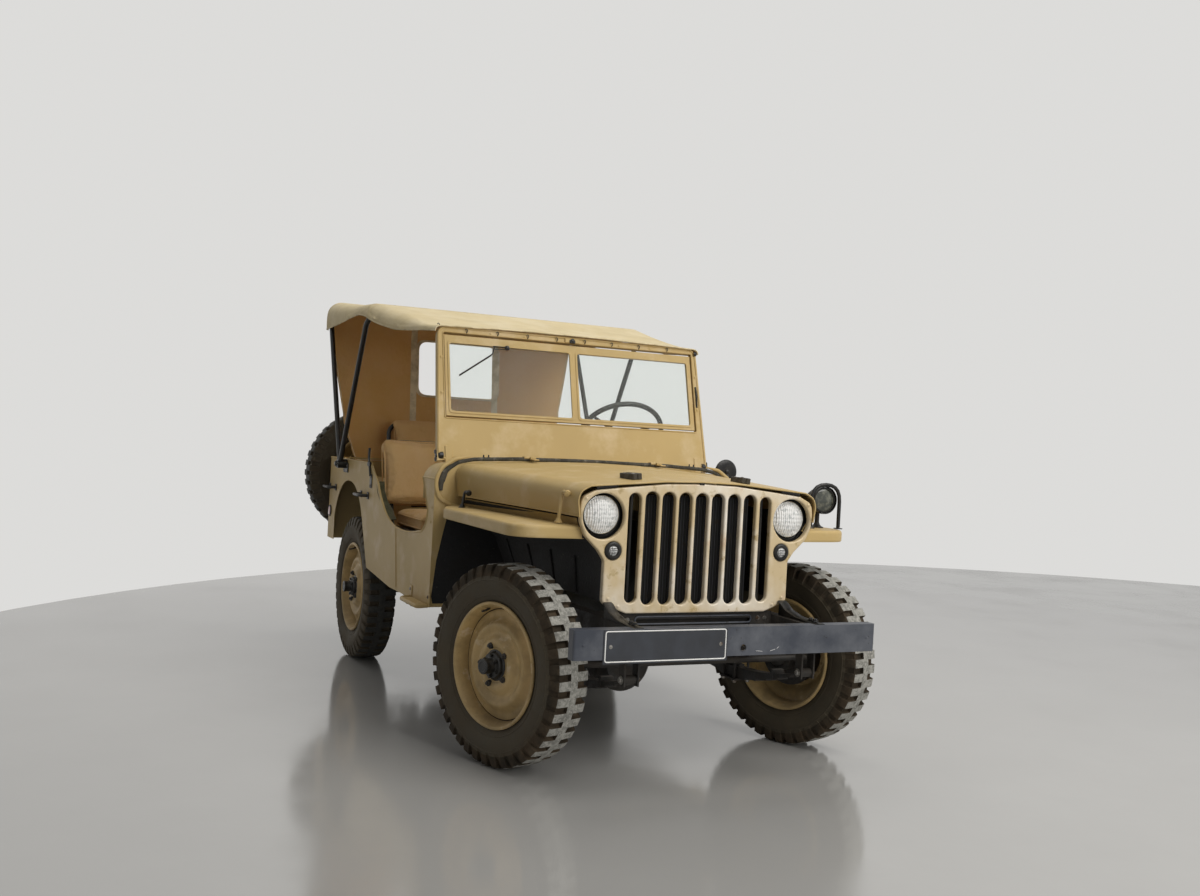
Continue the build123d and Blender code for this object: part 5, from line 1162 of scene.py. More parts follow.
def make_wheel(node, matrix, body, spare=False, valve_turn=0.0):
    """Pressed steel wheel with its nuts, hub and valve."""
    shape = Shape(matrix)
    front = [(r * MM, a * MM) for r, a in RIM_FRONT]
    back = [(r * MM, a * MM) for r, a in RIM_BACK]
    dark = {14, 15}
    shape.lathe(
        front, "wheel_paint", sides=120,
        choose=lambda row: "groove_dust" if row in dark else "wheel_paint",
    )
    shape.lathe(back, "wheel_paint", sides=96)
    if spare:
        shape.lathe(
            [
                (50 * MM, 50 * MM), (48.5 * MM, 49 * MM), (48.5 * MM, 39 * MM), (50 * MM, 37 * MM),
                (122 * MM, 37 * MM)
            ],
            "wheel_paint", sides=72,
        )
        for nut in range(5):
            turn = tau * (nut + 0.25) / 5
            place = Vector((69.9 * MM * cos(turn), 69.9 * MM * sin(turn), 50 * MM))
            shape.lathe(
                [(13 * MM, 0.2 * MM), (11.5 * MM, 0.6 * MM), (8 * MM, -4 * MM), (0, -4 * MM)],
                "groove_dust", matrix=Matrix.Translation(place), sides=20,
            )
    else:
        shape.lathe(
            [(122 * MM, 37 * MM), (122 * MM, -3 * MM), (23 * MM, -3 * MM), (23 * MM, 37 * MM), (0, 37 * MM)],
            "chassis_black", sides=72,
        )
        hub = [
            (56, 49.5), (55, 51.5), (50, 53), (47.5, 56), (47, 64), (45.5, 68), (43, 70.5), (31, 71.2),
            (28, 73), (26.4, 77), (25.6, 98), (27, 100), (27, 107), (25, 109.4), (18, 110), (16, 108.6),
            (0, 108.4),
        ]
        shape.lathe([(r * MM, a * MM) for r, a in hub], "black_paint", sides=48)
        for stud in range(6):
            turn = tau * stud / 6
            shape.bolt(
                (37 * MM * cos(turn), 37 * MM * sin(turn), 70.6 * MM), (0, 0, 1), "black_paint",
                width=13 * MM, height=9 * MM, washer=False,
            )
        for nut in range(5):
            turn = tau * (nut + 0.25) / 5
            place = Vector((69.9 * MM * cos(turn), 69.9 * MM * sin(turn), 50 * MM))
            matrix_nut = Matrix.Translation(place)
            shape.lathe(
                [(15.5, 0), (15.5, 1.6), (12.6, 2.4), (12.4, 3)], "wheel_paint",
                matrix=matrix_nut @ IN_MM,
                sides=24,
            )
            shape.lathe(
                [(11.6, 1.0), (11.6, 13.0), (10.2, 15.4), (6.6, 16.4), (6.4, 21.0), (5.2, 22.2), (0, 22.2)],
                "chassis_black", matrix=matrix_nut @ IN_MM, sides=6,
            )
    valve = Vector((cos(valve_turn), sin(valve_turn), 0))
    shape.tube(
        [
            valve * (203 * MM) + UP * 40 * MM, valve * (196 * MM) + UP * 56 * MM,
            valve * (193 * MM) + UP * 76 * MM
        ],
        [5.2 * MM, 4.2 * MM, 3.6 * MM], "chassis_black", sides=10,
    )
    made = shape.build(node + "_pressing", body, smooth=30, weld=1e-5)
    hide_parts(node)
    return made


WHEELS = (
    ("front_right", "roll_front_right", "front_right_wheel", -1),
    ("front_left", "roll_front_left", "front_left_wheel", 1),
    ("rear_right", "roll_rear_right", "rear_right_wheel", -1),
    ("rear_left", "roll_rear_left", "rear_left_wheel", 1),
)


class CAR_OT_wheels(bpy.types.Operator):
    """Dresses the four road wheels and the spare."""

    bl_idname = "car.wheels"
    bl_label = "Wheels and tyres"

    def execute(self, context):
        for place, joint, body, side in WHEELS:
            centre, axis = joint_place(joint)
            if axis.y < 0:
                axis = -axis
            matrix = frame_of(centre, axis * side)
            # Rear tyres take the black tread, painted shade; the front ones keep the pale tread faces
            tread = "tread_faces" if place.startswith("front") else "tread_dark"
            make_tyre("tyre_" + place, matrix, body, phase=0.11 * side, tread=tread)
            make_wheel("wheel_" + place, matrix, body, valve_turn=radians(-18) * side)
        low, high = node_box("spare_tyre")
        matrix = frame_of((low + high) / 2, -AHEAD)
        # The spare also takes the black tread, painted shade
        make_tyre("spare_tyre", matrix, "car", phase=0.05, tread="tread_dark")
        make_wheel("spare_rim", matrix, "car", spare=True, valve_turn=radians(60))
        return {"FINISHED"}


# Front end

FRONT_X = joints["steer_right"]["pos_m"][0]
REAR_X = joints["roll_rear_right"]["pos_m"][0]
GRILLE_X = node_box("grille")[1].x
HOOD_FRONT_X = node_box("hood")[1].x
COWL_FRONT_X = FRONT_X - 668 * MM
GRILLE_DEPTH = 25 * MM

# Columns: half-width, height, in millimetres
GRILLE_TOP = ((480.0, 930.0), (477.0, 958.0), (466.0, 977.0), (421.0, 999.0), (142.0, 1028.0), (0.0, 1032.0))
GRILLE_FLANK = (
    (476.0, 884.0), (456.0, 838.0), (405.0, 790.0), (380.0, 755.0), (380.0, 605.0), (285.0, 570.0)
)
HOOD_FRONT = ((482.0, 905.0), (490.0, 962.0), (482.0, 994.0), (446.0, 1014.0), (150.0, 1038.0), (0.0, 1041.0))
HOOD_REAR = (
    (606.0, 912.0), (618.0, 1000.0), (611.0, 1025.0), (585.0, 1043.0), (205.0, 1067.0), (0.0, 1071.0)
)
HEADLAMP = (387.5, 908.0, 80.0)
MARKER = (347.0, 789.0, 32.0)


def both_sides(half):
    """Outline of both sides from the half-widths of one, left to right over the middle."""
    left = [(-y * MM, z * MM) for y, z in half]
    return left + [(-y, z) for y, z in reversed(left[:-1])]


def flat_matrix(x):
    """Plane across the car: X to the left, Y up, Z forward."""
    return Matrix(((0, 0, 1, x), (1, 0, 0, 0), (0, 1, 0, 0), (0, 0, 0, 1)))


def circle(centre_x, centre_y, radius, sides=64):
    """Closed ring of points."""
    return [
        (centre_x + radius * cos(tau * side / sides), centre_y + radius * sin(tau * side / sides))
        for side in range(sides)
    ]


def stadium(centre_x, low, high, width, steps=14):
    """Upright slot with round ends."""
    radius = width / 2
    outline = []
    for step in range(steps + 1):
        turn = pi * step / steps
        outline.append((centre_x + radius * cos(turn), high - radius + radius * sin(turn)))
    for step in range(steps + 1):
        turn = pi + pi * step / steps
        outline.append((centre_x + radius * cos(turn), low + radius + radius * sin(turn)))
    return outline


def grille_outlines():
    """Edge, slots and lamp openings of the grille."""
    half = [(-y * MM, z * MM, 0) for y, z in (*reversed(GRILLE_FLANK), *GRILLE_TOP)]
    full = half + [(-x, z, 0) for x, z, _ in reversed(half[:-1])]
    edge = [(p.x, p.y) for p in rounded_path(full, 26 * MM, steps=5, closed=True)]
    outlines = [edge]
    for slot in range(-4, 5):
        trim, width = (7 * MM, 48 * MM) if abs(slot) == 4 else (0, 53 * MM)
        outlines.append(stadium(slot * 67.5 * MM, 599 * MM + trim, 999 * MM - trim, width))
    for y, z, radius in (HEADLAMP, MARKER):
        for side in (-1, 1):
            outlines.append(circle(side * y * MM, z * MM, radius * MM))
    return outlines


class CAR_OT_grille(bpy.types.Operator):
    """Presses the slotted grille with its rolled lips."""

    bl_idname = "car.grille"
    bl_label = "Grille"

    def execute(self, context):
        mesh = plate_mesh(
            "grille_pressing", grille_outlines(), GRILLE_DEPTH, 6 * MM,
            flat_matrix(GRILLE_X - GRILLE_DEPTH / 2)
        )
        mesh.materials.clear()
        mesh.materials.append(finish("worn_paint"))
        mesh.shade_smooth()
        mesh.set_sharp_from_angle(angle=radians(38))
        made = bpy.data.objects.new("grille_pressing", mesh)
        context.collection.objects.link(made)
        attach(made, "car")
        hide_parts("grille")
        trim = Shape()
        for side in (-1, 1):
            for y, z in ((458, 968), (358, 622), (318, 596)):
                trim.bolt(
                    (GRILLE_X, side * y * MM, z * MM), AHEAD, "worn_paint", width=11 * MM, height=4 * MM,
                    dome=True
                )
        trim.tube(
            [(GRILLE_X - 34 * MM, -270 * MM, 598 * MM), (GRILLE_X - 34 * MM, -270 * MM, 990 * MM)], 7 * MM,
            "black_paint",
        )
        trim.tube(
            [(GRILLE_X - 36 * MM, 270 * MM, 598 * MM), (GRILLE_X - 36 * MM, 270 * MM, 990 * MM)], 7 * MM,
            "black_paint",
        )
        made = trim.build("grille_fixings")
        return {"FINISHED"}


class CAR_OT_lamps(bpy.types.Operator):
    """Fits the headlamps and the marker lamps behind the grille."""

    bl_idname = "car.lamps"
    bl_label = "Front lamps"

    def execute(self, context):
        heads = Shape()
        for side in (-1, 1):
            lamp_centre = (GRILLE_X - 26 * MM, side * HEADLAMP[0] * MM, (HEADLAMP[1] + 4) * MM)
            matrix = frame_of(lamp_centre, AHEAD) @ IN_MM
            heads.lathe(
                [
                    (92, -3), (84, -3), (82, -10), (78, -18), (73, -20), (68, -18), (67, -12), (67, -15),
                    (60, -15)
                ],
                "black_paint", matrix=matrix, sides=64,
            )
            heads.lathe(
                [(67, -16), (68.4, -8), (68, -2), (66.6, 1), (64.8, 1.6), (63, 0), (62.4, -3)],
                "bright_metal", matrix=matrix, sides=64,
            )
            # Near-white lens: painted reflection of the bright reflector behind it
            heads.lathe(
                [(63, -1.5), (59, 3), (50, 9), (38, 14), (25, 17), (12, 18.4), (0, 18.6)],
                "lens_painted_reflection", matrix=matrix, sides=64,
            )
            heads.lathe(
                [
                    (62, -4), (59, -14), (50, -34), (36, -52), (18, -63), (0, -66)
                ], "bright_metal", matrix=matrix, sides=48
            )
            heads.lathe(
                [(0, -66), (7, -60), (7, -46), (10, -40), (10.5, -32), (7, -26), (0, -24)], "plate_line",
                matrix=matrix, sides=24,
            )
            heads.lathe(
                [(92, -3), (90, -9), (76, -17), (70, -40), (52, -72), (30, -90), (0, -94)], "black_paint",
                matrix=matrix, sides=48,
            )
        made = heads.build("headlamp_units", smooth=40)
        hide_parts("headlamps")
        marks = Shape()
        for side in (-1, 1):
            matrix = frame_of((GRILLE_X, side * MARKER[0] * MM, MARKER[1] * MM), AHEAD) @ IN_MM
            marks.lathe(
                [
                    (38, -5), (33, -5), (32.4, 0), (30, 4), (26, 6), (20, 5.6), (17.6, 3), (17.2, -3)
                ], "black_paint",
                matrix=matrix, sides=48,
            )
            # Near-white lens: painted reflection of the lamp's inside
            marks.lathe(
                [(17.4, 0), (15, 4), (10, 6.6), (5, 7.8), (0, 8)], "lens_painted_reflection", matrix=matrix, sides=40
            )
            for step in (-9, -3, 3, 9):
                half = sqrt(15.0 ** 2 - step ** 2)
                marks.tube(
                    [(step, -half, 6.6), (step, 0, 8.4), (step, half, 6.6)], 1.1, "black_paint", sides=6,
                    matrix=matrix
                )
            marks.lathe([(17, -3), (12, -10), (6, -13), (0, -14)], "plate_line", matrix=matrix, sides=32)
            marks.lathe(
                [(38, -5), (38, -8), (30, -14), (26, -34), (0, -40)], "black_paint", matrix=matrix, sides=32
            )
        made = marks.build("marker_units", smooth=40)
        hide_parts("marker_lamps")
        return {"FINISHED"}


def sheet_rows(shape, rows, inside, thickness, outer, inner=None, rim=None, ring=False):
    """Sheet with two faces and rims over rows of points; inside tells which way is in, ring joins the rows' ends."""
    inside = Vector(inside)
    high, wide = len(rows), len(rows[0])
    rows = [[Vector(point) for point in row] for row in rows]
    normals = []
    for i in range(high):
        line = []
        for j in range(wide):
            du = rows[min(i + 1, high - 1)][j] - rows[max(i - 1, 0)][j]
            if ring:
                dv = rows[i][(j + 1) % (wide - 1)] - rows[i][(j - 1) % (wide - 1)]
            else:
                dv = rows[i][min(j + 1, wide - 1)] - rows[i][max(j - 1, 0)]
            normal = du.cross(dv)
            if normal.length < 1e-12:
                normal = line[-1] if line else UP
            line.append(normal.normalized())
        normals.append(line)
    centre_i, centre_j = high // 2, wide // 2
    if normals[centre_i][centre_j].dot(rows[centre_i][centre_j] - inside) < 0:
        normals = [[-normal for normal in line] for line in normals]
    under = [
        [point - normal * thickness for point, normal in zip(row, line)] for row, line in zip(rows, normals)
    ]
    shape.grid(rows, outer)
    shape.grid([list(reversed(row)) for row in under], inner or outer)
    edges = [(rows[0], under[0]), (rows[-1], under[-1])]
    if not ring:
        edges += [([row[end] for row in rows], [row[end] for row in under]) for end in (0, -1)]
    for top, low in edges:
        shape.grid([top, low], rim or outer)
    return under


def hood_rows(front_x, rear_x, columns=97, stations=17, drop=0.0):
    """Rows of the hood's skin from rear to front."""
    front = [Vector((0, y, z)) for y, z in both_sides(HOOD_FRONT)]
    rear = [Vector((0, y, z)) for y, z in both_sides(HOOD_REAR)]
    front = resampled(rounded_path(front, 34 * MM, steps=6), columns)
    rear = resampled(rounded_path(rear, 44 * MM, steps=6), columns)
    rows = []
    for station in range(stations):
        share = station / (stations - 1)
        row = []
        for a, b in zip(rear, front):
            point = a.lerp(b, share)
            bow = 5 * MM * sin(pi * share) * max(0.0, 1 - abs(point.y) / 0.6)
            row.append(Vector((rear_x + (front_x - rear_x) * share, point.y, point.z + bow - drop)))
        rows.append(row)
    return rows


class CAR_OT_hood(bpy.types.Operator):
    """Lays the hood skin with its rolled edges, buffers, catches and rest blocks."""

    bl_idname = "car.hood"
    bl_label = "Hood"

    def execute(self, context):
        rear_x = COWL_FRONT_X + 10 * MM
        rows = hood_rows(HOOD_FRONT_X - 2 * MM, rear_x)
        skin = Shape()
        sheet_rows(skin, rows, (1.0, 0, 0.9), 2.6 * MM, "sand_paint")
        for end in (0, -1):
            # Rolled front and rear edges
            lip = [point - UP * 2.4 * MM for point in rows[end]]
            skin.tube(lip, 3.0 * MM, "sand_paint", sides=8)
        for column in (0, -1):
            skin.tube([row[column] + UP * 2 * MM for row in rows], 3.4 * MM, "sand_paint", sides=8)
        high = node_box("hood")[1]
        for y in (-300, 300):
            # Hinge leaves
            skin.slab(
                (rear_x, y * MM, high.z - 14 * MM), (rear_x + 46 * MM, (y + 24) * MM, high.z - 9 * MM),
                "sand_paint", edge=1.4 * MM,
            )
            skin.tube(
                [
                    (COWL_FRONT_X + 3 * MM, y * MM, 1.080), (COWL_FRONT_X + 3 * MM, (y + 24) * MM, 1.080)
                ], 5 * MM,
                "sand_paint", sides=16,
            )
            skin.slab(
                (COWL_FRONT_X + 3 * MM, y * MM, 1.071), (rear_x + 8 * MM, (y + 24) * MM, 1.084), "sand_paint",
                edge=1 * MM,
            )
            for step in (16, 34):
                skin.bolt(
                    (rear_x + step * MM, (y + 12) * MM, high.z - 9 * MM), UP, "sand_paint", width=9 * MM,
                    height=2.6 * MM, washer=False, dome=True,
                )
        made = skin.build("hood_skin", "hood_lid", smooth=30)
        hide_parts("hood")

        buffers = Shape()
        for y, z, half in ((-382, 1010.0, 40), (376, 1010.0, 40), (-6, 1033.0, 9)):
            # Rubber buffers between the grille's top and the hood's lip
            x = GRILLE_X - 3 * MM
            lean = -y * 0.00036
            buffers.tube(
                [
                    (x, (y - half) * MM, (z - half * lean) * MM), (x, y * MM, (z + 1) * MM),
                    (x, (y + half) * MM, (z + half * lean) * MM)
                ],
                6.5 * MM, "splash_black", sides=8,
            )
        made = buffers.build("hood_buffers", "hood_lid", smooth=50)

        blocks = Shape()
        place = node_box("hood_blocks")
        for side in (-1, 1):
            middle = Vector(((place[0].x + place[1].x) / 2, side * 231 * MM, 0))
            lean = atan2(1037 - 1008, 430 - 150) * side
            turn = Matrix.Rotation(-lean, 4, "X") @ Matrix.Rotation(radians(5.4) * -side, 4, "Z")
            seat = Matrix.Translation((middle.x, middle.y, place[0].z + 9.5 * MM)) @ turn
            for board in (-1, 1):
                blocks.slab(
                    (-47 * MM, board * 9.8 * MM - 9.2 * MM, -4 * MM), (
                        47 * MM, board * 9.8 * MM + 9.2 * MM, 19 * MM
                    ),
                    "painted_wood", edge=2.4 * MM, matrix=seat,
                )
            for x in (-30, 30):
                blocks.lathe(
                    [
                        (5.6 * MM, 18.6 * MM), (5.2 * MM, 20.2 * MM), (3 * MM, 21 * MM), (0, 21.2 * MM)
                    ], "bare_steel",
                    matrix=seat @ Matrix.Translation((x * MM, -9 * MM, 0)), sides=16,
                )
        made = blocks.build("hood_rests", "hood_lid", smooth=30)
        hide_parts("hood_blocks")

        catches = Shape()
        # Columns: distance ahead of the axle, half-width, lower end, upper end, finish, thickness
        for x, half, low_z, high_z, name, radius in (
            (188, 500, 880, 987, "sand_paint", 6.5), (-520, 613, 874, 940, "black_paint", 5.5),
        ):
            for side in (-1, 1):
                place = Vector((FRONT_X + x * MM, side * half * MM, 0))
                foot = place + Vector((-6 * MM, side * 20 * MM, low_z * MM))
                head = place + Vector((0, side * 13 * MM, high_z * MM))
                hook = place + Vector((26 * MM, side * 6 * MM, (high_z - 6) * MM))
                catches.tube([foot, head, hook], radius * MM, name, sides=12, bend=16 * MM)
                catches.lathe(
                    [(11, -3), (12, 2), (11, 7), (6, 9), (0, 9.4)], name,
                    matrix=frame_of(hook, (1, side * 0.2, -0.5)) @ IN_MM, sides=20,
                )
                catches.lathe(
                    [(14, -4), (14, 1), (10, 4), (8, 12), (0, 13)], name,
                    matrix=frame_of(foot, UP) @ IN_MM, sides=20,
                )
        made = catches.build("hood_catches", "car", smooth=36)
        return {"FINISHED"}


# Columns: half-width, height, in millimetres, from the lower end up to the middle
WEB_OUTER = (
    (686.0, 930.0), (693.0, 969.0), (675.0, 1019.0), (612.0, 1058.0), (545.0, 1072.0), (353.0, 1081.0),
    (0.0, 1084.5)
)
COWL_LIP = (
    (560.0, 868.0), (628.0, 870.0), (684.0, 898.0), (701.0, 942.0), (700.0, 984.0), (681.0, 1025.0),
    (626.0, 1062.0), (560.0, 1075.0),
)
SPLASH_EDGE = (
    (376.0, 470.0), (376.0, 866.0), (652.0, 866.0), (650.0, 809.0), (663.0, 748.0), (683.0, 645.0),
    (697.0, 500.0), (690.0, 470.0)
)


class CAR_OT_cowl_trim(bpy.types.Operator):
    """Laces the webbing round the cowl's front and covers the face behind the wheel."""

    bl_idname = "car.cowl_trim"
    bl_label = "Cowl webbing and splash panel"

    def execute(self, context):
        web = context.scene.trim_sizes.seal_width
        outer = [Vector((0, y, z)) for y, z in both_sides(WEB_OUTER)]
        outer = resampled(rounded_path(outer, 60 * MM, steps=6), 141)
        seal = Shape()
        rows = [[], [], [], [], []]
        for index, point in enumerate(outer):
            before, after = outer[max(0, index - 1)], outer[min(len(outer) - 1, index + 1)]
            along = (after - before).normalized()
            inward = Vector((0, along.z, -along.y))
            ripple = noise(Vector((point.y * 30, point.z * 30, 0))) * 1.0 * MM
            taper = min(1.0, 0.55 + min(index, len(outer) - 1 - index) / 9)
            taper *= 1 - 0.4 * min(1.0, max(0.0, (point.z - 1.0) / 0.05))
            for row, (share, lift) in zip(
                rows, ((0.0, 0.0), (0.18, 4.6), (0.5, 6.0), (0.82, 4.6), (1.0, 0.0))
            ):
                spot = point + inward * (web * share * taper + ripple)
                row.append(Vector((COWL_FRONT_X + (0.4 + lift) * MM, spot.y, spot.z)))
        seal.grid(rows, "webbing_cloth")
        back = [[Vector((COWL_FRONT_X + 0.4 * MM, p.y, p.z)) for p in row] for row in (rows[-1], rows[0])]
        seal.grid(back, "webbing_cloth")
        for index in range(5, len(outer) - 5, 5):
            # Lacing stitches across the webbing
            a, b = rows[1][index], rows[3][index]
            lift = Vector((1.0 * MM, 0, 0))
            seal.tube([a + lift, (a + b) / 2 + lift * 1.8, b + lift], 0.9 * MM, "strap_cloth", sides=6)
        made = seal.build("cowl_webbing", "car", smooth=60)

        lip = Shape()
        for side in (-1, 1):
            path = [Vector((COWL_FRONT_X + 1 * MM, side * y * MM, z * MM)) for y, z in COWL_LIP]
            path = resampled(rounded_path(path, 50 * MM, steps=6), 60)
            radii = [8.5 * MM * min(1.0, 0.3 + (59 - i) / 14, 0.45 + i / 10) for i in range(60)]
            lip.tube(path, radii, "sand_paint", sides=12)
            for y, z in ((500, 1082), (478, 1083)):
                lip.bolt(
                    (COWL_FRONT_X - 8 * MM, side * y * MM, (z - 9) * MM), UP, "black_paint", width=6 * MM,
                    height=11 * MM
                )
        made = lip.build("cowl_lip", "car", smooth=60)

        for place, side in (("left", 1), ("right", -1)):
            outline = [(side * y * MM, z * MM) for y, z in SPLASH_EDGE]
            mesh = plate_mesh(
                "splash_panel_" + place, [outline], 2.4 * MM, 0.8 * MM, flat_matrix(COWL_FRONT_X + 1.6 * MM)
            )
            mesh.materials.clear()
            mesh.materials.append(finish("splash_black"))
            made = bpy.data.objects.new("splash_panel_" + place, mesh)
            context.collection.objects.link(made)
            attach(made, "car")
        return {"FINISHED"}


def fender_shape(side):
    """Shelf, skirt and inner apron of one fender."""
    shape = Shape()
    rear_x = COWL_FRONT_X
    front_x = GRILLE_X - GRILLE_DEPTH - 0.5 * MM
    corner_x = FRONT_X + 225 * MM
    outer_y = 699 * MM
    top = 871.5 * MM
    share = (895 - 872) / (895 - 755)
    rear_in = (590 - (590 - 440) * share) * MM
    front_in = (466 - (466 - 376) * share) * MM
    outer = rounded_path(
        [
            (rear_x, 658 * MM, 0), (rear_x + 110 * MM, outer_y, 0), (corner_x, outer_y, 0),
            (front_x, front_in + 6 * MM, 0)
        ], 112 * MM, steps=14
    )
    outer = resampled(outer, 72)
    inner = resampled([Vector((rear_x, rear_in, 0)), Vector((front_x - 1 * MM, front_in, 0))], 72)
    rows = []
    round_edge = 13 * MM
    skirt = 45 * MM
    for a, b in zip(inner, outer):
        out = (b - a)
        reach = out.length
        out = out / reach if reach > 1e-6 else LEFT.copy()
        row = []
        flat = max(0.0, reach - round_edge)
        for step in range(7):
            spot = a + out * flat * step / 6
            rise = 3 * MM * sin(pi * step / 6)
            row.append(Vector((spot.x, spot.y, top - 1 * MM + rise)))
        for step in range(1, 7):
            turn = pi / 2 * step / 6
            spot = a + out * (flat + round_edge * sin(turn))
            row.append(Vector((spot.x, spot.y, top - 1 * MM - round_edge * (1 - cos(turn)))))
        edge = a + out * reach
        for drop in (20, 28, 36, 41):
            row.append(Vector((edge.x, edge.y, top - drop * MM)))
        fold = edge - out * 3 * MM
        row.append(Vector((fold.x, fold.y, top - skirt)))
        fold = edge - out * 9 * MM
        row.append(Vector((fold.x, fold.y, top - skirt + 1 * MM)))
        rows.append([Vector((p.x, p.y * side, p.z)) for p in row])
    sheet_rows(shape, rows, (FRONT_X - 0.2, side * 0.5, 0.6), 2.6 * MM, "sand_paint", inner="splash_black")
    strip, seal = [], []
    for station in range(21):
        run = station / 20
        x = rear_x + (front_x - rear_x) * run
        half = rear_in + (front_in - rear_in) * run
        head = (904 - 8 * run) * MM
        strip.append([(x, side * (half + 4 * MM), top - 4 * MM), (x, side * (half + 20 * MM), head)])
        seal.append([(x, side * (half + 2 * MM), top), (x, side * (half + 8 * MM), 930 * MM)])
    sheet_rows(shape, strip, (FRONT_X, 0, 0.88), 2.4 * MM, "sand_paint")
    # The seal rows make a black sheet standing up behind the hood's lower edge, painted shade of the gap between hood
    # and fender
    sheet_rows(shape, seal, (FRONT_X, 0, 0.88), 2.4 * MM, "splash_black")
    apron = []
    for station in range(15):
        run = station / 14
        x = rear_x + (front_x - rear_x) * run
        top_half = (590 + (466 - 590) * run) * MM
        waist = (440 + (376 - 440) * run) * MM
        line = rounded_path(
            [
                (x, side * top_half, 895 * MM), (x, side * waist, 755 * MM), (x, side * 376 * MM, 610 * MM)
            ], 30 * MM
        )
        apron.append(resampled(line, 18))
    sheet_rows(shape, apron, (FRONT_X, 0, 0.8), 2.6 * MM, "splash_black", inner="splash_black")
    for station in range(2, 13, 3):
        run = station / 14
        x = rear_x + (front_x - rear_x) * run
        waist = (440 + (376 - 440) * run) * MM
        shape.tube(
            [
                (x, side * (waist + 4 * MM), 750 * MM), (x, side * (376 + 4) * MM, 618 * MM)
            ], 4 * MM, "splash_black",
            sides=8,
        )
    for x in (560, 760, 960, 1160, 1340):
        run = (x * MM - rear_x) / (front_x - rear_x)
        y = (rear_in + (front_in - rear_in) * run) + 22 * MM
        shape.bolt(
            (x * MM, side * y, top + 1.5 * MM), UP, "sand_paint", width=10 * MM, height=3 * MM, dome=True
        )
    return shape


class CAR_OT_fenders(bpy.types.Operator):
    """Folds both front fenders and their inner aprons."""

    bl_idname = "car.fenders"
    bl_label = "Fenders"

    def execute(self, context):
        for place, side in (("left", 1), ("right", -1)):
            made = fender_shape(side).build("fender_skin_" + place, "car", smooth=34)
            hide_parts("fender_" + place)
        return {"FINISHED"}


class CAR_OT_driving_lamp(bpy.types.Operator):
    """Stands the shielded lamp and its hoop on the left fender."""

    bl_idname = "car.driving_lamp"
    bl_label = "Driving lamp"

    def execute(self, context):
        shape = Shape()
        x, y, z = FRONT_X + 110 * MM, 620 * MM, 983 * MM
        foot_z = node_box("driving_lamp")[0].z
        matrix = frame_of((x, y, z), AHEAD) @ Matrix.Scale(1.14 * MM, 4)
        shape.lathe(
            [
                (0, -44), (10, -43), (22, -37), (31, -27), (37, -13), (40, 2), (41, 18), (41.5, 26), (44, 28),
                (44.5, 34), (42.5, 38), (39, 38), (38, 34),
            ],
            "black_paint", matrix=matrix, sides=48,
        )
        shape.lathe([(39, 35), (30, 39), (16, 42), (0, 42.6)], "smoked_glass", matrix=matrix, sides=40)
        shape.lathe([(38, 33), (30, 14), (14, -4), (0, -8)], "bright_metal", matrix=matrix, sides=32)
        shape.lathe(
            [(46, 22), (48, 30), (47, 44), (46, 44), (45, 30)], "black_paint", matrix=matrix, sides=40
        )
        shape.tube([(x, y, foot_z + 2 * MM), (x, y, z - 38 * MM)], 9 * MM, "black_paint", sides=16)
        shape.lathe(
            [(26, 0), (26, 4), (18, 7), (12, 14), (10, 20), (0, 20)], "black_paint",
            matrix=Matrix.Translation((x, y, foot_z)) @ IN_MM, sides=28,
        )
        guard_x = FRONT_X + 160 * MM
        hoop = [
            (guard_x, y - 66 * MM, foot_z + 3 * MM), (guard_x, y - 66 * MM, 1.044),
            (guard_x, y + 66 * MM, 1.044),
            (guard_x, y + 66 * MM, foot_z + 3 * MM),
        ]
        shape.tube(hoop, 7.5 * MM, "black_paint", sides=12, bend=70 * MM)
        for side in (-1, 1):
            spot = Vector((guard_x, y + side * 66 * MM, foot_z))
            shape.slab(
                spot + Vector((-14, -12, 0)) * MM, spot + Vector((14, 12, 4)) * MM, "black_paint",
                edge=1.2 * MM
            )
            shape.bolt(
                spot + Vector((9, 0, 4)) * MM, UP, "bare_steel", width=7 * MM, height=3 * MM, washer=False
            )
        made = shape.build("driving_lamp_unit", "car", smooth=36)
        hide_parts("driving_lamp")
        return {"FINISHED"}


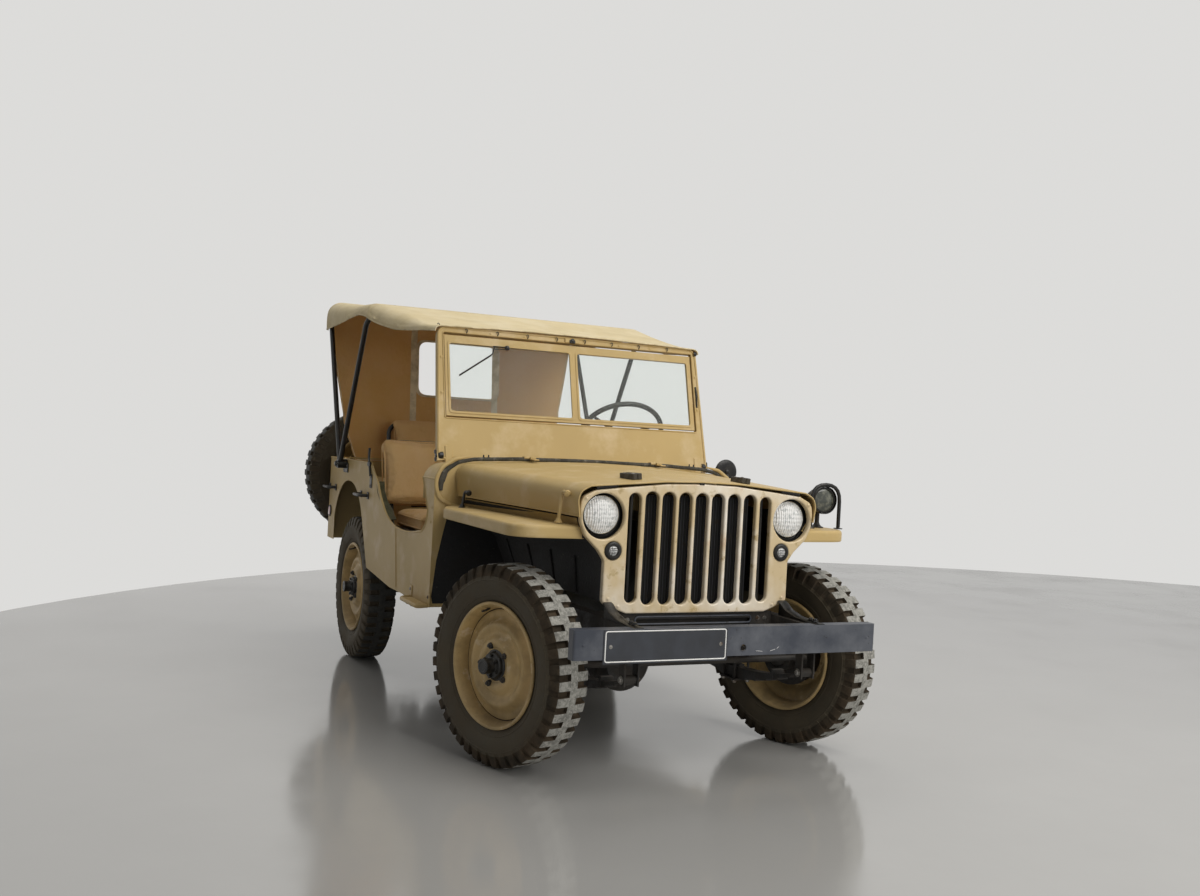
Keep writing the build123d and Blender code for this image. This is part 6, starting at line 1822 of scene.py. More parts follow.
class CAR_OT_nose(bpy.types.Operator):
    """Adds the blank plate, frame horns, bolts, scratches and the cross panel's trim at the nose."""

    bl_idname = "car.nose"
    bl_label = "Bumper and nose trim"

    def execute(self, context):
        face = node_box("front_bumper")[1].x
        plate = Shape()
        y0, y1, z0, z1 = -490 * MM, -25 * MM, 449 * MM, 562 * MM
        plate.slab((face + 0.4 * MM, y0, z0), (face + 2.4 * MM, y1, z1), "plate_enamel", edge=0.7 * MM)
        line = rounded_path(
            [(face + 2.6 * MM, y0 + 7 * MM, z0 + 7 * MM), (face + 2.6 * MM, y1 - 7 * MM, z0 + 7 * MM),
             (face + 2.6 * MM, y1 - 7 * MM, z1 - 7 * MM), (face + 2.6 * MM, y0 + 7 * MM, z1 - 7 * MM)],
            8 * MM, closed=True,
        )
        plate.tube(line, 2.0 * MM, "plate_line", sides=6, closed=True, flat=0.4)
        for y in (y0 + 26 * MM, y1 - 26 * MM):
            plate.bolt(
                (face + 2.4 * MM, y, (z0 + z1) / 2), AHEAD, "bare_steel", width=9 * MM, height=2.6 * MM,
                dome=True
            )
        made = plate.build("blank_plate", "car", smooth=34)

        horns = Shape()
        top = 557.3 * MM
        for side in (-1, 1):
            y = side * 360 * MM
            path = [
                Vector((GRILLE_X + 3 * MM, y, 612 * MM)), Vector((GRILLE_X + 16 * MM, y, 608 * MM)),
                Vector((GRILLE_X + 52 * MM, y, 586 * MM)), Vector((GRILLE_X + 120 * MM, y, 571 * MM)),
                Vector((GRILLE_X + 200 * MM, y, 566 * MM)), Vector((face - 5 * MM, y, 564 * MM)),
            ]
            path = resampled(rounded_path(path, 60 * MM, steps=4), 22)
            strip = []
            for offset in (-19, -14, 0, 14, 19):
                sag = 3 * MM if abs(offset) == 19 else 0
                strip.append([point + Vector((0, offset * MM, -sag)) for point in path])
            sheet_rows(horns, strip, (GRILLE_X + 0.1, y, 0.4), 4 * MM, "black_paint")
            for offset in (-12, 12):
                web = [
                    [point + Vector((0, offset * MM, -2 * MM)) for point in path],
                    [Vector((point.x, y + offset * MM, min(top, point.z - 3 * MM))) for point in path],
                ]
                sheet_rows(horns, web, (GRILLE_X + 0.1, y, 0.5), 3 * MM, "black_paint")
            for x in (GRILLE_X + 190 * MM, face - 40 * MM):
                horns.bolt((x, y, 569 * MM), UP, "black_paint", width=16 * MM, height=8 * MM)
        made = horns.build("frame_horns", "car", smooth=34)

        bolts = Shape()
        for y, z in ((-560, 512), (560, 512)):
            bolts.bolt((face, y * MM, z * MM), AHEAD, "bumper_paint", width=9 * MM, height=2 * MM, dome=True)
        for y, z, run, rise in ((92, 478, 26, -3), (150, 476, 20, 5), (176, 483, 9, 7)):
            # Scratches down to bare metal
            bolts.tube(
                [
                    (face + 0.3 * MM, y * MM, z * MM), (face + 0.3 * MM, (y + run) * MM, (z + rise) * MM)
                ], 1.1 * MM,
                "plate_line", sides=6, flat=0.5,
            )
        crank = frame_of((face, 40 * MM, 490 * MM), AHEAD) @ IN_MM
        bolts.lathe([(13, 0), (12.6, 2.2), (11.4, 2.4), (11.2, 0)], "bumper_paint", matrix=crank, sides=36)
        made = bolts.build("bumper_bolts", "car", smooth=34)

        panel = Shape()
        slot = stadium(0, -240 * MM, 240 * MM, 26 * MM)
        x = GRILLE_X - GRILLE_DEPTH + 8.4 * MM
        panel.tube(
            [Vector((x, -y, 543 * MM + z)) for z, y in slot], 3 * MM, "bumper_paint", sides=8, closed=True
        )
        for side in (-1, 1):
            for y in (270, 300):
                panel.bolt((x, side * y * MM, 545 * MM), AHEAD, "bare_steel", width=12 * MM, height=6 * MM)
        made = panel.build("cross_panel_trim", "car", smooth=34)
        return {"FINISHED"}


class CAR_OT_undergear(bpy.types.Operator):
    """Adds spring clips, shackles, nuts and brake lines below the car."""

    bl_idname = "car.undergear"
    bl_label = "Springs and axle trim"

    def execute(self, context):
        shape = Shape()
        axle_z = 357 * MM
        for axle_x in (FRONT_X, REAR_X):
            for side in (-1, 1):
                y = side * 352 * MM
                for shift in (-40, 40):
                    x = axle_x + shift * MM
                    loop = [
                        (x, y - 30 * MM, 262 * MM), (x, y - 30 * MM, axle_z + 38 * MM),
                        (x, y + 30 * MM, axle_z + 38 * MM),
                        (x, y + 30 * MM, 262 * MM),
                    ]
                    shape.tube(loop, 5.5 * MM, "chassis_black", sides=10, bend=24 * MM)
                    for edge in (-30, 30):
                        shape.bolt(
                            (x, y + edge * MM, 268 * MM), -UP, "bare_steel", width=16 * MM, height=11 * MM
                        )
                shape.slab(
                    (axle_x - 56 * MM, y - 40 * MM, 268 * MM), (axle_x + 56 * MM, y + 40 * MM, 276 * MM),
                    "chassis_black", edge=2 * MM,
                )
                for end in (-1, 1):
                    eye_x = axle_x + end * 455 * MM
                    for face in (-1, 1):
                        eye = Vector((eye_x, y + face * 29 * MM, 379 * MM))
                        shape.bolt(eye, (0, face, 0), "bare_steel", width=20 * MM, height=9 * MM)
                for share in (-0.62, 0.62):
                    x = axle_x + share * 455 * MM
                    shape.slab(
                        (x - 9 * MM, y - 25 * MM, 318 * MM), (x + 9 * MM, y + 25 * MM, 358 * MM),
                        "chassis_black",
                        edge=2 * MM,
                    )
        for axle_x, half, sign in ((FRONT_X, 420, -1), (REAR_X, 560, 1)):
            bowl = Vector((axle_x, -170 * MM, axle_z))
            for step in range(10):
                turn = tau * step / 10
                spot = bowl + Vector((-sign * 56 * MM, 92 * MM * cos(turn), 92 * MM * sin(turn)))
                shape.bolt(spot, (-sign, 0, 0), "bare_steel", width=13 * MM, height=6 * MM)
            shape.tube(
                [(axle_x + 34 * MM, -half * MM, axle_z + 20 * MM), (axle_x + 36 * MM, -60 * MM, axle_z + 36 * MM),
                 (axle_x + 36 * MM, half * MM, axle_z + 20 * MM)],
                3.2 * MM, "bare_steel", sides=8, bend=40 * MM,
            )
        made = shape.build("spring_trim", "car", smooth=34)
        return {"FINISHED"}


# Windshield, body trim and inside

SCREEN_FOOT = Vector((FRONT_X - 827 * MM, 0, 1046 * MM))
SCREEN_LEAN = radians(14.6)
SCREEN_OUT = Vector((cos(SCREEN_LEAN), 0, sin(SCREEN_LEAN)))
SCREEN_UP = Vector((-sin(SCREEN_LEAN), 0, cos(SCREEN_LEAN)))
BODY_HALF = node_box("side_panel_left")[1].y


def screen_matrix(out=12.0):
    """Plane of the windshield's front face: X to the left, Y up the slope, Z forward."""
    matrix = Matrix((LEFT, SCREEN_UP, SCREEN_OUT)).transposed().to_4x4()
    matrix.translation = SCREEN_FOOT + SCREEN_OUT * (out * MM)
    return matrix @ IN_MM


def flat_frame(shape, outer, inner, height, name, matrix, chamfer=2.0):
    """Flat frame between two closed outlines of equal length, with its rims."""
    def ring(points, up):
        return [(point[0], point[1], up) for point in points]

    rows = [
        ring(inner, 0), ring(inner, height - chamfer), ring(narrowed(inner, -chamfer), height),
        ring(narrowed(outer, chamfer), height), ring(outer, height - chamfer), ring(outer, 0),
    ]
    shape.grid(rows, name, wrap=True, matrix=matrix)


def narrowed(outline, inset):
    """Closed outline drawn in towards its middle by a distance."""
    middle_x = sum(point[0] for point in outline) / len(outline)
    middle_y = sum(point[1] for point in outline) / len(outline)
    drawn = []
    for point in outline:
        away = Vector((point[0] - middle_x, point[1] - middle_y))
        length = away.length or 1.0
        drawn.append((point[0] - away.x / length * inset, point[1] - away.y / length * inset))
    return drawn


def rectangle(x0, y0, x1, y1, radius, steps=6):
    """Closed outline of a rectangle with round corners."""
    corners = [(x0, y0, 0), (x1, y0, 0), (x1, y1, 0), (x0, y1, 0)]
    return [(point.x, point.y) for point in rounded_path(corners, radius, steps=steps, closed=True)]


class CAR_OT_windshield(bpy.types.Operator):
    """Adds beads, clips, a wiper and catches to the windshield."""

    bl_idname = "car.windshield"
    bl_label = "Windshield trim"

    def execute(self, context):
        trim = Shape()
        face = screen_matrix(12.0)
        outline = [(-648, 8), (648, 8), (634, 596), (-634, 596)]
        bead = [
            (p.x, p.y, 0.6) for p in rounded_path([(x, y, 0) for x, y in outline], 44, steps=6, closed=True)
        ]
        trim.tube(bead, 5.0, "sand_paint", sides=8, closed=True, matrix=face, flat=0.8)
        opening = [(x, y, 0.4) for x, y in rectangle(-616, 188, 616, 574, 10)]
        trim.tube(opening, 3.2, "sand_paint", sides=8, closed=True, matrix=face)
        made = trim.build("screen_beads", "car", smooth=36)

        sash = Shape()
        vent = screen_matrix(7.0)
        for side in (-1, 1):
            x0, x1 = sorted((side * 13, side * 590))
            pane = [(x, y, 0.4) for x, y in rectangle(x0, 219, x1, 529, 14)]
            sash.tube(pane, 3.0, "black_paint", sides=8, closed=True, matrix=vent, flat=0.7)
            x0, x1 = sorted((side * 9, side * 596))
            outer = rectangle(x0, 212, x1, 536, 18)
            inner = rectangle(x0 + 10, 222, x1 - 10, 526, 14)
            flat_frame(sash, outer, inner, 3.0, "sand_paint", vent, chamfer=1.2)
        made = sash.build("vent_beads", "vent_sash", smooth=36)

        small = Shape()
        for y, s in (
            (-395, 581), (-235, 581), (235, 581), (395, 581), (-600, 300), (600, 300), (-600, 460), (600, 460)
        ):
            outward = 1 if abs(y) < 600 else 1.045
            spot = screen_matrix(12.0) @ Vector((y * outward, s, 0))
            small.bolt(spot, SCREEN_OUT, "sand_paint", width=13 * MM, height=4.5 * MM, dome=True)
        catch = screen_matrix(12.0)
        small.slab((-41, 572, 0), (29, 592, 7), "sand_paint", edge=2, matrix=catch)
        small.slab((-20, 569, 4), (8, 586, 13), "black_paint", edge=3, matrix=catch)
        small.lathe(
            [(9, 0), (9, 8), (6, 11), (0, 12)], "black_paint",
            matrix=catch @ Matrix.Translation((-6, 582, 6)), sides=20
        )
        knob = catch @ Matrix.Translation((626, 574, 2)) @ Matrix.Rotation(radians(90), 4, "Y")
        small.lathe([(10, 0), (11, 6), (10, 14), (6, 18), (0, 18.5)], "black_paint", matrix=knob, sides=20)
        small.tube(
            [(625, 310, 2), (625, 360, 8), (625, 410, 2)], 4.0, "black_paint", sides=8, matrix=catch, bend=14
        )
        for side in (-1, 1):
            # Pivot brackets at the foot of the frame, with their wing nuts
            small.slab(
                (side * 604 - 17, -26, -26), (side * 604 + 17, 66, 4), "sand_paint", edge=3, matrix=catch
            )
            arm = catch @ Matrix.Translation((side * 640, 24, -8)) @ Matrix.Rotation(radians(90) * side, 4, "Y")
            small.lathe(
                [(17, -12), (17, 4), (13, 9), (8, 10), (8, 20), (0, 20)], "black_paint", matrix=arm, sides=24
            )
            for wing in (-1, 1):
                small.slab(
                    (side * 660 - 3, 24 + wing * 16 - 9, -16), (side * 660 + 3, 24 + wing * 16 + 9, -3),
                    "black_paint",
                    edge=2.5, matrix=catch,
                )
        made = small.build("screen_fittings", "car", smooth=34)

        # The wiper swings out with the sash
        wiper = Shape()
        hub = catch @ Matrix.Translation((-322, 522, 0))
        wiper.lathe([(11, 0), (11, 5), (8, 9), (6, 14), (0, 15)], "black_paint", matrix=hub, sides=24)
        wiper.tube([(-322, 522, 12), (-392, 520, 15)], 2.4, "black_paint", sides=8, matrix=catch)
        wiper.tube([(-316, 512, 12), (-386, 508, 15)], 1.6, "black_paint", sides=8, matrix=catch)
        wiper.tube(
            [(-386, 518, 13), (-394, 486, 10), (-548, 380, 7)], 2.6, "black_paint", sides=8, matrix=catch,
            bend=12
        )
        wiper.tube([(-400, 480, 5), (-548, 378, 4)], 3.0, "tyre_rubber", sides=6, matrix=catch, flat=0.5)
        made = wiper.build("screen_wiper", "vent_sash", smooth=34)
        return {"FINISHED"}


def rim_loop(mesh, y):
    """Longest run of the panel's upper outline, from its front to its rear corner."""
    form = bmesh.new()
    form.from_mesh(mesh)
    bmesh.ops.remove_doubles(form, verts=form.verts, dist=1e-5)
    bmesh.ops.dissolve_limit(form, angle_limit=radians(1), verts=form.verts, edges=form.edges)
    outer = min(vertex.co.y for vertex in form.verts)
    faces = [
        face for face in form.faces if abs(face.normal.y + 1) < 0.02 and face.calc_center_median().y < outer + 1e-4
    ]
    face = max(faces, key=lambda item: item.calc_area())
    corners = [vertex.co.copy() for vertex in face.verts]
    form.free()
    count = len(corners)
    front = max(range(count), key=lambda i: corners[i].x + corners[i].z * 0.6)
    rear = min(range(count), key=lambda i: corners[i].x - corners[i].z * 0.6)
    step = 1
    forward = [corners[(front + i * step) % count] for i in range(count)]
    stop = next(i for i, point in enumerate(forward) if (point - corners[rear]).length < 1e-6)
    one = forward[: stop + 1]
    other = [corners[(front - i) % count] for i in range(count - stop + 1)]
    chosen = max((one, other), key=lambda run: sum(point.z for point in run) / len(run))
    return [Vector((point.x, y, point.z)) for point in chosen]


class CAR_OT_body_trim(bpy.types.Operator):
    """Adds rolled rims, creases, handles, straps, steps and lamps to the body."""

    bl_idname = "car.body_trim"
    bl_label = "Body trim"

    def execute(self, context):
        rim = context.scene.trim_sizes.rim_bead
        edges = Shape()
        for side in (-1, 1):
            path = rim_loop(frame["nodes"]["side_panel_right"].data, side * (BODY_HALF - 1.5 * MM))
            edges.tube(path, rim, "sand_paint", sides=10)
        rear_x = node_box("rear_panel")[1].x
        edges.tube(
            [(rear_x - 2 * MM, -BODY_HALF + 2 * MM, 1.0), (rear_x - 2 * MM, BODY_HALF - 2 * MM, 1.0)], rim,
            "sand_paint", sides=10,
        )
        for side in (-1, 1):
            y = side * (BODY_HALF + 0.4 * MM)
            crease = [
                Vector((FRONT_X - 1218 * MM, y, 748 * MM)), Vector((FRONT_X - 1196 * MM, y, 640 * MM)),
                Vector((FRONT_X - 1180 * MM, y, 560 * MM)), Vector((FRONT_X - 1160 * MM, y, 470 * MM)),
            ]
            edges.tube(
                resampled(rounded_path(crease, 60 * MM), 20), 2.6 * MM, "sand_paint", sides=8, flat=0.7
            )
            for x in (-700, -690):
                edges.bolt(
                    (FRONT_X + x * MM, y, (800 + 60 * (x + 700) / 10) * MM), (0, side, 0), "sand_paint",
                    width=11 * MM, height=3 * MM, dome=True,
                )
        made = edges.build("rolled_rims", "car", smooth=40)

        handles = Shape()
        low, high = node_box("body_handles")
        for side in (-1, 1):
            for x0, x1 in ((low.x + 8 * MM, low.x + 148 * MM), (high.x - 148 * MM, high.x - 8 * MM)):
                y = side * (BODY_HALF + 1 * MM)
                out = side * (high.y - 8 * MM)
                z = (low.z + high.z) / 2
                handles.tube(
                    [
                        (x0, y, z), (x0 + 6 * MM, out, z), (x1 - 6 * MM, out, z), (x1, y, z)
                    ], 8 * MM, "black_paint",
                    sides=12, bend=26 * MM,
                )
                for x in (x0, x1):
                    handles.slab(
                        (x - 17 * MM, min(y, y + side * 4 * MM), z - 17 * MM),
                        (x + 17 * MM, max(y, y + side * 4 * MM), z + 17 * MM), "black_paint", edge=1.6 * MM,
                    )
                    for turn in (45, 225):
                        spot = Vector(
                            (
                                x + 13 * MM * cos(radians(turn)), y + side * 4 * MM,
                                z + 13 * MM * sin(radians(turn))
                            )
                        )
                        handles.bolt(
                            spot, (0, side, 0), "bare_steel", width=6 * MM, height=2.4 * MM, washer=False,
                            dome=True
                        )
        made = handles.build("grab_handles", "car", smooth=40)
        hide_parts("body_handles")

        extras = Shape()
        for side in (-1, 1):
            y = side * BODY_HALF
            out = Vector((0, side, 0))
            # Clamp bar with its wing screw, behind the door cut
            x0, x1 = FRONT_X - 1738 * MM, FRONT_X - 1698 * MM
            extras.tube(
                [
                    (x0, y + side * 6 * MM, 1.073), (x0 + 4 * MM, y + side * 8 * MM, 1.02),
                    (x1, y + side * 6 * MM, 938 * MM)
                ],
                6 * MM, "black_paint", sides=10, bend=20 * MM,
            )
            extras.slab(
                (x0 - 12 * MM, min(y, y + side * 12 * MM), 985 * MM), (
                    x0 + 34 * MM, max(y, y + side * 12 * MM), 1.006
                ),
                "black_paint", edge=3 * MM,
            )
            extras.slab(
                (x1 - 20 * MM, min(y, y + side * 4 * MM), 880 * MM), (
                    x1 + 20 * MM, max(y, y + side * 4 * MM), 948 * MM
                ),
                "black_paint", edge=2 * MM,
            )
            for z in (892, 934):
                extras.bolt((x1, y + side * 4 * MM, z * MM), out, "bare_steel", width=9 * MM, height=4 * MM)
            # Feet of the bows
            pivot = Vector((FRONT_X - 2227 * MM, side * (BODY_HALF + 0.5 * MM), 977 * MM))
            extras.slab(
                pivot + Vector((-50 * MM, min(0, side * 5 * MM), -45 * MM)),
                pivot + Vector((45 * MM, max(0, side * 5 * MM), 4 * MM)), "black_paint", edge=2 * MM,
            )
            for x, z in ((-38, -34), (34, -34), (-38, -8), (34, -8)):
                extras.bolt(
                    pivot + Vector((x * MM, side * 5 * MM, z * MM)), out, "bare_steel", width=9 * MM,
                    height=4 * MM
                )
            extras.bolt(
                pivot + Vector((0, side * 54 * MM, 0)), out, "black_paint", width=26 * MM, height=10 * MM
            )
            # Reflector by the rear corner
            spot = frame_of((FRONT_X - 2563 * MM, y, 706 * MM), out) @ IN_MM
            extras.lathe(
                [(31, 0), (31, 4), (28, 7), (26, 7.4), (25, 5)], "black_paint", matrix=spot, sides=40
            )
            extras.lathe([(25.5, 5), (24, 7.4), (16, 9), (0, 9.6)], "red_lens", matrix=spot, sides=40)
        made = extras.build("body_fittings", "car", smooth=34)

        step = Shape()
        for side in (-1, 1):
            y = side * BODY_HALF
            a, b = FRONT_X - 925 * MM, FRONT_X - 670 * MM
            out = side * 46 * MM
            tread = [
                (a, y + side * 2 * MM, 462 * MM), (a + 6 * MM, y + out, 458 * MM),
                (b - 6 * MM, y + out, 458 * MM),
                (b, y + side * 2 * MM, 462 * MM),
            ]
            step.tube(tread, 9 * MM, "sand_paint", sides=10, bend=30 * MM)
            step.slab(
                (a + 30 * MM, min(y + side * 2 * MM, y + out), 461 * MM),
                (b - 30 * MM, max(y + side * 2 * MM, y + out), 465 * MM), "sand_paint", edge=1 * MM,
            )
            for x in (a, b):
                step.slab(
                    (x - 20 * MM, min(y, y + side * 4 * MM), 456 * MM), (
                        x + 20 * MM, max(y, y + side * 4 * MM), 512 * MM
                    ),
                    "sand_paint", edge=1.6 * MM,
                )
                step.bolt(
                    (x, y + side * 4 * MM, 496 * MM), (0, side, 0), "bare_steel", width=10 * MM, height=4 * MM
                )
        made = step.build("side_steps", "car", smooth=34)

        strap = Shape()
        for side in (-1, 1):
            # Safety strap that hangs along the rear edge of the door opening, its width across the car
            path = [(-1600, 918), (-1566, 872), (-1508, 826), (-1424, 790), (-1345, 757)]
            path = [Vector((FRONT_X + x * MM, side * 686 * MM, z * MM)) for x, z in path]
            path = resampled(rounded_path(path, 70 * MM, steps=6), 30)
            rows = [
                [
                    spot + Vector((0, side * (half + 3 * sin(step * 0.25)) * MM, 0)) for half in (-20, -10, 0, 10, 18)
                ]
                for step, spot in enumerate(path)
            ]
            sheet_rows(strap, rows, (FRONT_X - 1.5, 0, 0.8), 2.2 * MM, "strap_cloth")
            strap.bolt(
                (path[0].x, side * 694 * MM, path[0].z), (0, side, 0), "black_paint", width=12 * MM,
                height=8 * MM
            )
        made = strap.build("door_straps", "car", smooth=50)

        lamps = Shape()
        for side in (-1, 1):
            place = frame_of((node_box("rear_panel")[1].x - 2.4 * MM, side * 590 * MM, 640 * MM), -AHEAD) @ IN_MM
            lamps.lathe(
                [(40, 0), (40, 22), (37, 30), (33, 32), (31, 30)], "black_paint", matrix=place, sides=40
            )
            lamps.lathe([(31.5, 29), (28, 33), (18, 36), (0, 37)], "red_lens", matrix=place, sides=40)
            lamps.slab((-52, -30, 0), (52, 30, 3), "black_paint", edge=1.4, matrix=place)
        made = lamps.build("tail_lamps", "car", smooth=34)
        return {"FINISHED"}


class CAR_OT_mirror(bpy.types.Operator):
    """Hangs the round mirror on its arm."""

    bl_idname = "car.mirror"
    bl_label = "Mirror"

    def execute(self, context):
        shape = Shape()
        foot = Vector((FRONT_X - 730 * MM, BODY_HALF + 0.3 * MM, 960 * MM))
        centre = Vector((FRONT_X - 793 * MM, BODY_HALF + 40 * MM, 1.055))
        shape.tube(
            [
                foot, Vector((foot.x, centre.y, foot.z)), Vector((centre.x, centre.y, centre.z))
            ], 6 * MM, "black_paint",
            sides=12, bend=16 * MM,
        )
        plate = frame_of(foot, LEFT) @ IN_MM
        shape.lathe(
            [(18, 0), (18, 3), (15, 4.4), (8, 5), (8, 9), (0, 9)], "black_paint", matrix=plate, sides=28
        )
        # The back of the mirror looks ahead
        back = frame_of(centre, AHEAD) @ IN_MM
        shape.lathe(
            [
                (57, -7), (58, -4), (56.5, 0), (50, 3.6), (36, 6.2), (18, 7), (0, 7.2)
            ], "black_paint", matrix=back, sides=56
        )
        shape.lathe([(57, -7), (55.5, -8), (54, -6)], "black_paint", matrix=back, sides=56)
        shape.lathe([(54.5, -6), (30, -6.2), (0, -6.4)], "bright_metal", matrix=back, sides=48)
        shape.lathe([(12, 6), (11, 12), (7, 15), (0, 15.5)], "black_paint", matrix=back, sides=20)
        made = shape.build("round_mirror", "car", smooth=36)
        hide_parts("side_mirror")
        return {"FINISHED"}


class CAR_OT_controls(bpy.types.Operator):
    """Adds dials, knobs and a bar on the dash."""

    bl_idname = "car.controls"
    bl_label = "Dash and controls"

    def execute(self, context):
        dash = Shape()
        x = node_box("cowl")[0].x
        for y, z, radius in (
            (0.0, 968.0, 44.0), (-98.0, 992.0, 25.0), (-98.0, 936.0, 25.0), (98.0, 992.0, 25.0),
            (98.0, 936.0, 25.0),
        ):
            place = frame_of((x, y * MM, z * MM), -AHEAD) @ IN_MM
            dash.lathe(
                [
                    (radius + 5, 0), (radius + 5, 4), (radius + 2, 7), (radius - 1, 6), (radius - 1, 3)
                ], "black_paint",
                matrix=place, sides=40,
            )
            dash.lathe([(radius, 2.6), (0, 2.6)], "dial_face", matrix=place, sides=32)
            marks = 13 if radius > 30 else 7
            for mark in range(marks):
                turn = radians(-130 + 260 * mark / (marks - 1))
                inner, outer = radius * 0.72, radius * 0.9
                dash.slab(
                    (-0.9, inner, 2.7), (0.9, outer, 3.3), "dial_marks", edge=0.3,
                    matrix=place @ Matrix.Rotation(turn, 4, "Z"),
                )
            dash.slab(
                (-0.8, -radius * 0.2, 3.6), (0.8, radius * 0.68, 4.4), "dial_marks", edge=0.3,
                matrix=place @ Matrix.Rotation(radians(-70), 4, "Z"),
            )
            dash.lathe([(4, 3), (4, 5), (0, 5.4)], "black_paint", matrix=place, sides=16)
        for y, z in ((-190, 950), (-230, 950), (180, 950), (215, 950), (250, 950), (-190, 905)):
            place = frame_of((x, y * MM, z * MM), -AHEAD) @ IN_MM
            dash.lathe(
                [
                    (9, 0), (9, 3), (4, 4), (4, 16), (9, 18), (10, 24), (7, 28), (0, 28.6)
                ], "black_paint", matrix=place,
                sides=20,
            )
        dash.tube(
            [
                (x - 34 * MM, -560 * MM, 930 * MM), (x - 34 * MM, -320 * MM, 930 * MM)
            ], 9 * MM, "black_paint", sides=12
        )
        for y in (-560, -320):
            dash.tube(
                [(x, y * MM, 930 * MM), (x - 34 * MM, y * MM, 930 * MM)], 9 * MM, "black_paint", sides=12
            )
        made = dash.build("dash_dials", "car", smooth=34)
        return {"FINISHED"}


# Canvas and cushions

# Columns: distance behind the front axle, half-width, roof height, lower edge
CANVAS_STATIONS = (
    (955.0, 652.0, 1636.6, 1604.6), (1040.0, 664.5, 1646.0, 1611.0), (1140.0, 677.0, 1662.0, 1617.0),
    (1242.0, 690.0, 1684.0, 1620.6), (1400.0, 711.0, 1717.0, 1632.0), (1600.0, 738.0, 1755.0, 1668.0),
    (1700.0, 751.0, 1774.0, 1692.0), (1765.0, 758.0, 1782.4, 1712.0), (1838.0, 760.0, 1788.0, 1726.0),
    (1921.0, 760.0, 1794.0, 1735.0), (2100.0, 759.5, 1812.0, 1731.0), (2270.0, 759.0, 1829.0, 1722.0),
    (2450.0, 759.5, 1845.0, 1714.0), (2600.0, 760.0, 1860.0, 1710.5), (2652.0, 760.2, 1862.8, 1709.5),
    (2668.0, 758.0, 1860.0, 1709.3), (2679.0, 753.0, 1853.0, 1709.0), (2684.0, 745.0, 1843.0, 1708.6),
)


def station_at(distance):
    """Half-width, roof height and lower edge of the canvas at a distance."""
    for first, second in zip(CANVAS_STATIONS, CANVAS_STATIONS[1:]):
        if distance <= second[0]:
            share = (distance - first[0]) / (second[0] - first[0])
            share = max(0.0, share)
            return tuple(a + (b - a) * share for a, b in zip(first[1:], second[1:]))
    return CANVAS_STATIONS[-1][1:]


# Distance of the two bows behind the front axle, and how far each holds the cloth straight, in mm
FRONT_BOW, REAR_BOW, BOW_REACH = 1765.0, 2663.0, 260.0


def canvas_row(distance, sag, crown, columns=101):
    """Points of the canvas across the car at a distance behind the front axle."""
    half, top, low = station_at(distance)
    half, top, low = half * MM, top * MM, low * MM
    corner = min(78 * MM, (top - low) * 0.85)
    left = [Vector((0, -half, low)), Vector((0, -half - 1 * MM, (low + top) / 2 - corner * 0.3))]
    for step in range(9):
        turn = pi / 2 * step / 8
        left.append(Vector((0, -half + corner * (1 - cos(turn)), top - corner + corner * sin(turn))))
    right = [Vector((0, -point.y, point.z)) for point in reversed(left)]
    line = resampled(left + right, columns)
    x = FRONT_X - distance * MM
    # The cloth lies straight on the two bows
    loose = min(1.0, abs(distance - FRONT_BOW) / BOW_REACH, abs(distance - REAR_BOW) / BOW_REACH)
    row = []
    for point in line:
        across = abs(point.y) / half
        over = max(0.0, 1 - across ** 2)
        spot = Vector((x, point.y, point.z))
        upper = min(1.0, max(0.0, (point.z - (top - corner)) / corner))
        spot.z += (crown * over - crown * 0.9 - sag * over) * upper * loose
        # Small creases run from the corners towards the bows
        fold = noise(Vector((x * 5.0, point.y * 2.2, 4.0))) * 3.0 * MM
        fine = noise(Vector((x * 17.0, point.y * 9.0, 9.0))) * 1.0 * MM
        spot.z += (fold + fine) * upper * loose
        hang = 1 - upper
        ripple = sin(x * 21.0 + (0.6 if point.y > 0 else 2.1)) * 2.0 * MM
        ripple += noise(Vector((x * 9, point.z * 5, 2))) * 2 * MM
        # Folds fan out from where the front bow holds the cloth up
        run, drop = (distance - FRONT_BOW) * MM, top - point.z + 30 * MM
        reach = hypot(run, drop)
        fan = sin(atan2(run, drop) * 7.0) * 5 * MM * max(0.0, 1 - reach / 0.42)
        ripple += fan
        inward = -1 if point.y > 0 else 1
        spot.y += inward * abs(ripple) * hang * 1.2
        row.append(spot)
    return row


def canvas_sag(distance, depth):
    """Drop of the roof at a distance: none on the header and the bows."""
    spans = ((955.0, 1765.0), (1765.0, 2652.0))
    for low, high in spans:
        if low <= distance <= high:
            return depth * sin(pi * (distance - low) / (high - low))
    return 0.0


def canvas_distances():
    """Distances of the rows, closer together by the header and the bows."""
    placed = []
    for (low, high), count in (((955.0, 1765.0), 42), ((1765.0, 2652.0), 46), ((2652.0, 2684.0), 8)):
        for step in range(count):
            placed.append(low + (high - low) * step / count)
    return placed + [2684.0]


